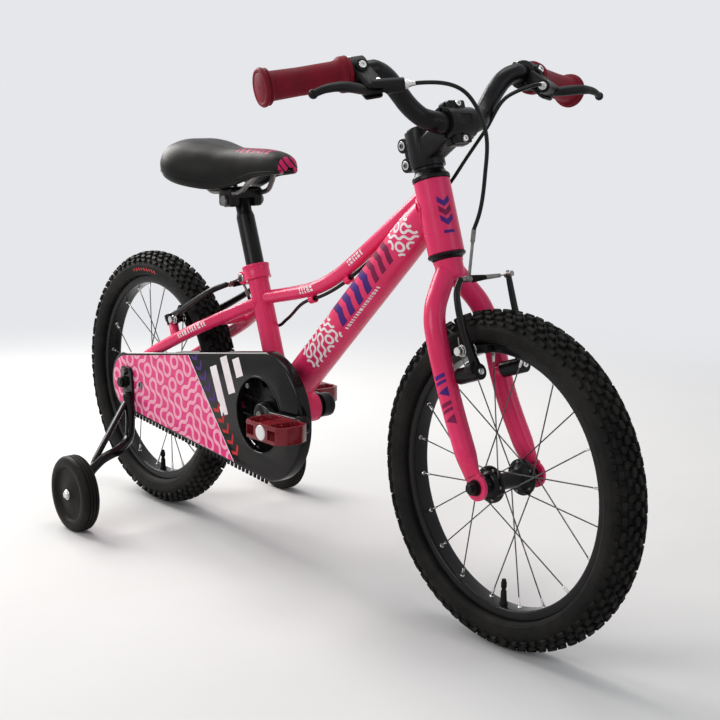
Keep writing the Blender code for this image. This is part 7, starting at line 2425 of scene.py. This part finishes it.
def saddle_vinyl():
    """Black grained vinyl, printed pink at the nose and in small marks behind it."""
    material = shader("saddle_vinyl", (0.008, 0.008, 0.008), 0.46, Specular_IOR_Level=0.12)
    inputs = principled_of(material).inputs
    nose = saddle_stations()[0][0]
    position = add_node(material, "ShaderNodeTexCoord")
    split = add_node(material, "ShaderNodeSeparateXYZ")
    link(material, position.outputs["Object"], split.inputs["Vector"])
    streaks = texture(material, "ShaderNodeTexWave", 52, bands_direction="DIAGONAL",
                      Distortion=0.8, Detail=0.0)
    strokes = texture(material, "ShaderNodeTexWave", 34, (1, 0.35, 1), Distortion=9.0, Detail=1.5)
    tip = product(material, above(material, split.outputs["X"], nose - 0.0058),
                  above(material, streaks.outputs["Fac"], 0.16))
    band = product(material, above(material, split.outputs["X"], nose - 0.1000),
                   below(material, split.outputs["X"], nose - 0.0280))
    crown = product(material, above(material, split.outputs["Z"],
                                    saddle_pivot().z + SADDLE_HEIGHT * 0.810),
                    above(material, strokes.outputs["Fac"], 0.72))
    marks = product(material, band, crown)
    printed = add_node(material, "ShaderNodeMath", operation="MAXIMUM")
    link(material, tip, printed.inputs[0])
    link(material, marks, printed.inputs[1])
    tone = texture(material, "ShaderNodeTexNoise", 30, Detail=4.0)
    base = add_node(material, "ShaderNodeMix", data_type="RGBA")
    link(material, printed.outputs["Value"], base.inputs["Factor"])
    link(material, ramp(material, tone.outputs["Fac"], (0.006, 0.0055, 0.005),
                        (0.012, 0.011, 0.010), (0.3, 0.7)), base.inputs["A"])
    base.inputs["B"].default_value = (0.56, 0.024, 0.130, 1)
    link(material, base.outputs["Result"], inputs["Base Color"])
    grain = texture(material, "ShaderNodeTexVoronoi", 620, feature="DISTANCE_TO_EDGE")
    fine = texture(material, "ShaderNodeTexNoise", 1400, Detail=2.0)
    mixed = add_node(material, "ShaderNodeMath", operation="ADD")
    link(material, grain.outputs["Distance"], mixed.inputs[0])
    link(material, fine.outputs["Fac"], mixed.inputs[1])
    bumped(material, mixed.outputs["Value"], 0.30, 0.0003)
    link(material, ramp(material, tone.outputs["Fac"], 0.36, 0.50), inputs["Roughness"])
    return material


def build_seat():
    vinyl = saddle_vinyl()
    cover = piece("padded_saddle_cover", "saddle",
                  [(saddle_shell(), vinyl), (saddle_seam(), BLACK_PLASTIC)], "saddle_cover",
                  "saddle_skin", 50)
    piece("saddle_pan", "saddle", [(saddle_pan(), BLACK_PLASTIC)], "saddle_base",
          "black_plastic")
    piece("saddle_rail_wire", "saddle", [(saddle_rails(), DARK_STEEL)], "saddle_rails",
          "dark_steel")
    body, nuts = saddle_clamp()
    piece("saddle_rail_clamp", "saddle", [(body, BLACK_METAL)], "saddle_clamp", "black_metal")
    piece("tilt_bar_nuts", "seat_post", [(nuts, DARK_STEEL)], slot="dark_steel")
    piece("seat_post_tube", "seat_post", [(seat_post(), BLACK_METAL)], "seat_post",
          "black_metal")
    piece("seat_collar", "frame", [(seat_collar(), PINK)], "seat_clamp", "pink_paint")
    washers, screw = collar_bolt()
    piece("seat_collar_bolt", "frame", [(washers, BRIGHT_STEEL), (screw, DARK_STEEL)],
          "seat_clamp_bolt", "bright_steel")


# Prints on the tubes, each wrapped round its tube's line

def line_at(line, reach):
    """Point and direction at a distance along a line of points."""
    for a, b in zip(line, line[1:]):
        run = b - a
        if reach <= run.length or b is line[-1]:
            return a + run.normalized() * reach, run.normalized()
        reach -= run.length
    return line[-1], (line[-1] - line[-2]).normalized()


def diced(polygons, pitch):
    """Polygons cut into squares of the pitch, so that they can bend round a tube."""
    bm = bmesh.new()
    for polygon in polygons:
        if len(polygon) > 2:
            bm.faces.new([bm.verts.new((x, y, 0)) for x, y in polygon])
    for axis in (0, 1):
        values = [vertex.co[axis] for vertex in bm.verts]
        level = math.floor(min(values) / pitch) * pitch
        normal = Vector((axis == 0, axis == 1, 0))
        while level < max(values):
            bmesh.ops.bisect_plane(bm, geom=bm.verts[:] + bm.edges[:] + bm.faces[:],
                                   plane_co=normal * level, plane_no=normal)
            level += pitch
    return bm


def wrapped(polygons, line, facing, surface, lift=0.00015, pitch=0.0035, radius=0.02):
    """Polygons drawn in (along, round), laid on a surface that encloses the line."""
    tree = BVHTree.FromPolygons([v.co for v in surface.vertices],
                                [p.vertices for p in surface.polygons])
    bm = diced(polygons, pitch)
    for vertex in bm.verts:
        centre, run = line_at(line, vertex.co.x)
        out = (facing - run * facing.dot(run)).normalized()
        up = run.cross(out)
        angle = vertex.co.y / radius
        ray = out * math.cos(angle) + up * math.sin(angle)
        hit = tree.ray_cast(centre + ray * 0.06, -ray)[0]
        vertex.co = (hit or centre + ray * radius) + ray * lift
    bmesh.ops.triangulate(bm, faces=bm.faces[:])
    mesh = bpy.data.meshes.new("print")
    bm.to_mesh(mesh)
    bm.free()
    for polygon in mesh.polygons:
        middle = polygon.center
        nearest = min(line, key=lambda point: (point - middle).length)
        if polygon.normal.dot(middle - nearest) < 0:
            polygon.flip()
    return mesh


def slanted(left, right, low, high, lean):
    """Parallelogram whose top leans forward."""
    return [(left, low), (right, low), (right + lean, high), (left + lean, high)]


def dashes(start, end, level, high, seed):
    """Row of leaning bars of uneven width, some of them split in two."""
    chance = random.Random(seed)
    shapes = []
    place = start
    while place < end:
        width = chance.choice((0.0028, 0.0028, 0.0052))
        lean = high * 0.25
        if chance.random() < 0.4:
            shapes.append(slanted(place, place + width, level, level + high * 0.42, lean * 0.42))
            shapes.append(slanted(place + lean * 0.6, place + lean * 0.6 + width,
                                  level + high * 0.6, level + high, lean * 0.4))
        else:
            shapes.append(slanted(place, place + width, level, level + high, lean))
        place += width + chance.choice((0.0020, 0.0028))
    return shapes


def maze_strip(start, columns, seed):
    """Four rows of maze tiles that cover the side of the tube."""
    chance = random.Random(seed)
    size = 0.0112
    shapes = []
    for row in range(4):
        for column in range(columns):
            middle = (start + (column + 0.5) * size, (row - 1.5) * size)
            shapes += maze_tile(middle, size, 0.0034, chance.random() < 0.5)
    return shapes


def arrow(left, width, low, high, point):
    """Thick chevron that points along the tube, as two leaning halves."""
    middle = (low + high) / 2
    return [slanted(left, left + width, low, middle, point),
            [(left + point, middle), (left + point + width, middle), (left + width, high),
             (left, high)]]


def down_tube_print():
    white = maze_strip(0.084, 7, 4) + maze_strip(0.318, 4, 8)
    white += dashes(0.168, 0.250, -0.0235, 0.0038, 6) + dashes(0.172, 0.258, 0.0185, 0.0040, 7)
    purple, wine = [], []
    for index in range(4):
        purple += arrow(0.172 + index * 0.0225, 0.0125, -0.0175, 0.0155, 0.0085)
    for index in range(3):
        wine += arrow(0.262 + index * 0.0180, 0.0095, -0.0165, 0.0150, 0.0075)
    return white, purple, wine


def top_tube_print():
    return (dashes(0.100, 0.128, -0.0040, 0.0080, 12)
            + dashes(0.214, 0.246, -0.0040, 0.0080, 13))


def stay_print():
    return dashes(0.092, 0.154, -0.0036, 0.0072, 14)


def head_print():
    """Stack of three chevrons over a short bar."""
    dark, red = [], []
    for index in range(3):
        low = 0.0300 + index * 0.0110
        for side in (-1, 1):
            arm = [(low, 0), (low + 0.0062, side * 0.0078), (low + 0.0132, side * 0.0078),
                   (low + 0.0070, 0)]
            (red if index == 1 else dark).append(arm[::side])
    dark.append([(0.0210, -0.0066), (0.0246, -0.0066), (0.0246, 0.0066), (0.0210, 0.0066)])
    return dark, red


def fork_print():
    """Slanted bars and triangles in turn down the blade, the upper ones purple."""
    purple, wine = [], []
    for index in range(4):
        low = 0.130 + index * 0.0165
        shape = purple if index < 2 else wine
        if index % 2:
            shape.append([(low, -0.0068), (low + 0.0120, -0.0068), (low + 0.0060, 0.0068)])
        else:
            shape.append(slanted(low, low + 0.0050, -0.0068, 0.0068, 0.0030))
            shape.append(slanted(low + 0.0075, low + 0.0115, -0.0068, 0.0068, 0.0030))
    return purple, wine


def build_prints():
    right = Vector((0, -1, 0))
    tubes = frame_tubes()
    down = down_tube_line()
    white, purple, wine = down_tube_print()

    def on_down(shapes):
        return wrapped(shapes, down, right, tubes, radius=DOWN_TUBE_RADIUS)
    top = smooth_line(top_tube_line(), 40)
    stay = smooth_line(seatstay_line(), 40)
    head = [head_point(0.0), head_point(HEAD_TUBE_LENGTH)]
    emblem, emblem_red = head_print()
    front_right = Vector((0.95, -0.30, 0))
    piece("frame_prints", "frame",
          [(on_down(white), WHITE_INK), (on_down(purple), PURPLE_INK), (on_down(wine), WINE_INK),
           (wrapped(top_tube_print(), top, right, tubes, radius=TOP_TUBE_RADIUS), WHITE_INK),
           (wrapped(stay_print(), stay, right, tubes, radius=STAY_RADIUS), WHITE_INK),
           (wrapped(emblem, head, front_right, tubes, radius=HEAD_TUBE_RADIUS), PURPLE_INK),
           (wrapped(emblem_red, head, front_right, tubes, radius=HEAD_TUBE_RADIUS), WINE_INK)],
          slot="pink_paint")
    blade = moved(fork_blade(), STEERING)
    line = [STEERING @ point for point in smooth_line(fork_blade_line(), 64)]
    purple, wine = fork_print()
    out = Vector((0.35, -0.94, 0))
    piece("fork_prints", "steering",
          [(wrapped(purple, line, out, blade, radius=BLADE_RADIUS), PURPLE_INK),
           (wrapped(wine, line, out, blade, radius=BLADE_RADIUS), WINE_INK)],
          slot="pink_paint")


# Studio

def area_light(name, position, target, size, power, colour=(1, 1, 1)):
    lamp = bpy.data.lights.new(name, "AREA")
    lamp.shape = "RECTANGLE"
    lamp.size, lamp.size_y = size
    lamp.energy = power
    lamp.color = colour
    holder = bpy.data.objects.new(name, lamp)
    position = Vector(position)
    turn = (Vector(target) - position).to_track_quat("-Z", "Y").to_matrix().to_4x4()
    holder.matrix_world = Matrix.Translation(position) @ turn
    bpy.context.scene.collection.objects.link(holder)


PAPER = (0.790, 0.800, 0.825)


def seen_directly(tree):
    """1 for camera, glossy and transmission rays, and 0 for the rays that light things."""
    rays = tree.nodes.new("ShaderNodeLightPath")
    total = rays.outputs["Is Camera Ray"]
    for kind in ("Is Glossy Ray", "Is Transmission Ray"):
        either = tree.nodes.new("ShaderNodeMath")
        either.operation = "MAXIMUM"
        tree.links.new(total, either.inputs[0])
        tree.links.new(rays.outputs[kind], either.inputs[1])
        total = either.outputs["Value"]
    return total


def sky():
    """Soft even light from all round, seen as pale paper."""
    world = bpy.data.worlds.new("studio")
    bpy.context.scene.world = world
    world.use_nodes = True
    tree = world.node_tree
    background = tree.nodes["Background"]
    background.inputs["Color"].default_value = (0.88, 0.91, 0.96, 1)
    background.inputs["Strength"].default_value = 0.40
    paper = tree.nodes.new("ShaderNodeBackground")
    paper.inputs["Color"].default_value = (*PAPER, 1)
    mix = tree.nodes.new("ShaderNodeMixShader")
    tree.links.new(seen_directly(tree), mix.inputs["Fac"])
    tree.links.new(background.outputs["Background"], mix.inputs[1])
    tree.links.new(paper.outputs["Background"], mix.inputs[2])
    tree.links.new(mix.outputs["Shader"], tree.nodes["World Output"].inputs["Surface"])


def floor_plane():
    """Pale floor that fades into the paper behind it, so that no horizon shows."""
    bm = bmesh.new()
    bmesh.ops.create_circle(bm, cap_ends=True, segments=96, radius=9)
    mesh = bpy.data.meshes.new("studio_floor")
    bm.to_mesh(mesh)
    bm.free()
    material = shader("studio_floor", (0.74, 0.74, 0.74), 0.8, Specular_IOR_Level=0.1)
    mottled(material, 3, (0.730, 0.725, 0.720), (0.755, 0.750, 0.745), 0.75, 0.85)
    tree = material.node_tree
    paper = add_node(material, "ShaderNodeEmission")
    paper.inputs["Color"].default_value = (*PAPER, 1)
    place = add_node(material, "ShaderNodeTexCoord")
    reach = add_node(material, "ShaderNodeVectorMath", operation="LENGTH")
    link(material, place.outputs["Object"], reach.inputs[0])
    fade = add_node(material, "ShaderNodeMapRange", interpolation_type="SMOOTHERSTEP")
    fade.inputs["From Min"].default_value = 0.75
    fade.inputs["From Max"].default_value = 2.30
    link(material, reach.outputs["Value"], fade.inputs["Value"])
    share = add_node(material, "ShaderNodeMath", operation="MULTIPLY")
    link(material, fade.outputs["Result"], share.inputs[0])
    tree.links.new(seen_directly(tree), share.inputs[1])
    mix = add_node(material, "ShaderNodeMixShader")
    link(material, share.outputs["Value"], mix.inputs["Fac"])
    link(material, principled_of(material).outputs["BSDF"], mix.inputs[1])
    link(material, paper.outputs["Emission"], mix.inputs[2])
    link(material, mix.outputs["Shader"], tree.nodes["Material Output"].inputs["Surface"])
    mesh.materials.append(material)
    floor = bpy.data.objects.new("studio_floor", mesh)
    bpy.context.scene.collection.objects.link(floor)


def photograph_camera():
    data = bpy.data.cameras.new("photograph")
    data.lens = CAMERA_LENS
    data.sensor_width = 36
    data.clip_start = 0.05
    camera = bpy.data.objects.new("photograph", data)
    away = Vector((math.sin(CAMERA_AZIMUTH) * math.cos(CAMERA_ELEVATION),
                   -math.cos(CAMERA_AZIMUTH) * math.cos(CAMERA_ELEVATION),
                   math.sin(CAMERA_ELEVATION)))
    position = CAMERA_TARGET + CAMERA_DISTANCE * away
    turn = (-away).to_track_quat("-Z", "Y").to_matrix().to_4x4()
    camera.matrix_world = (Matrix.Translation(position) @ turn
                           @ Matrix.Rotation(CAMERA_ROLL, 4, "Z"))
    bpy.context.scene.collection.objects.link(camera)
    bpy.context.scene.camera = camera


def build_studio():
    bpy.context.scene.view_settings.view_transform = "Standard"
    sky()
    floor_plane()
    middle = (0, 0, 0.3)
    area_light("window", (-2.3, -0.2, 1.7), middle, (1.5, 1.5), 78, (1.0, 0.975, 0.94))
    area_light("key", (0.1, -2.6, 1.7), middle, (1.5, 1.2), 27, (1.0, 0.985, 0.96))
    area_light("fill", (2.7, 0.6, 1.4), middle, (1.2, 1.2), 7, (0.94, 0.97, 1.0))
    area_light("top", (-0.3, 0.5, 2.6), middle, (1.6, 1.0), 16, (1.0, 0.99, 0.97))


photograph_camera()
build_wheel("front", FRONT_AXLE, 0.0250, 0.0250, FORK_SPACING / 2,
            FORK_SPACING / 2 + DROPOUT_THICKNESS + CLEARANCE, "front_wheel", "steering")
build_wheel("rear", REAR_AXLE, 0.0200, 0.0270, REAR_SPACING / 2,
            GUARD_FACE_Y + 0.0040 + 2 * CLEARANCE, "rear_wheel", "frame")
build_frame()
build_fork()
build_guard()
build_drive()
build_training_wheels()
build_cockpit()
build_brakes()
build_cables()
build_seat()
build_prints()
build_studio()
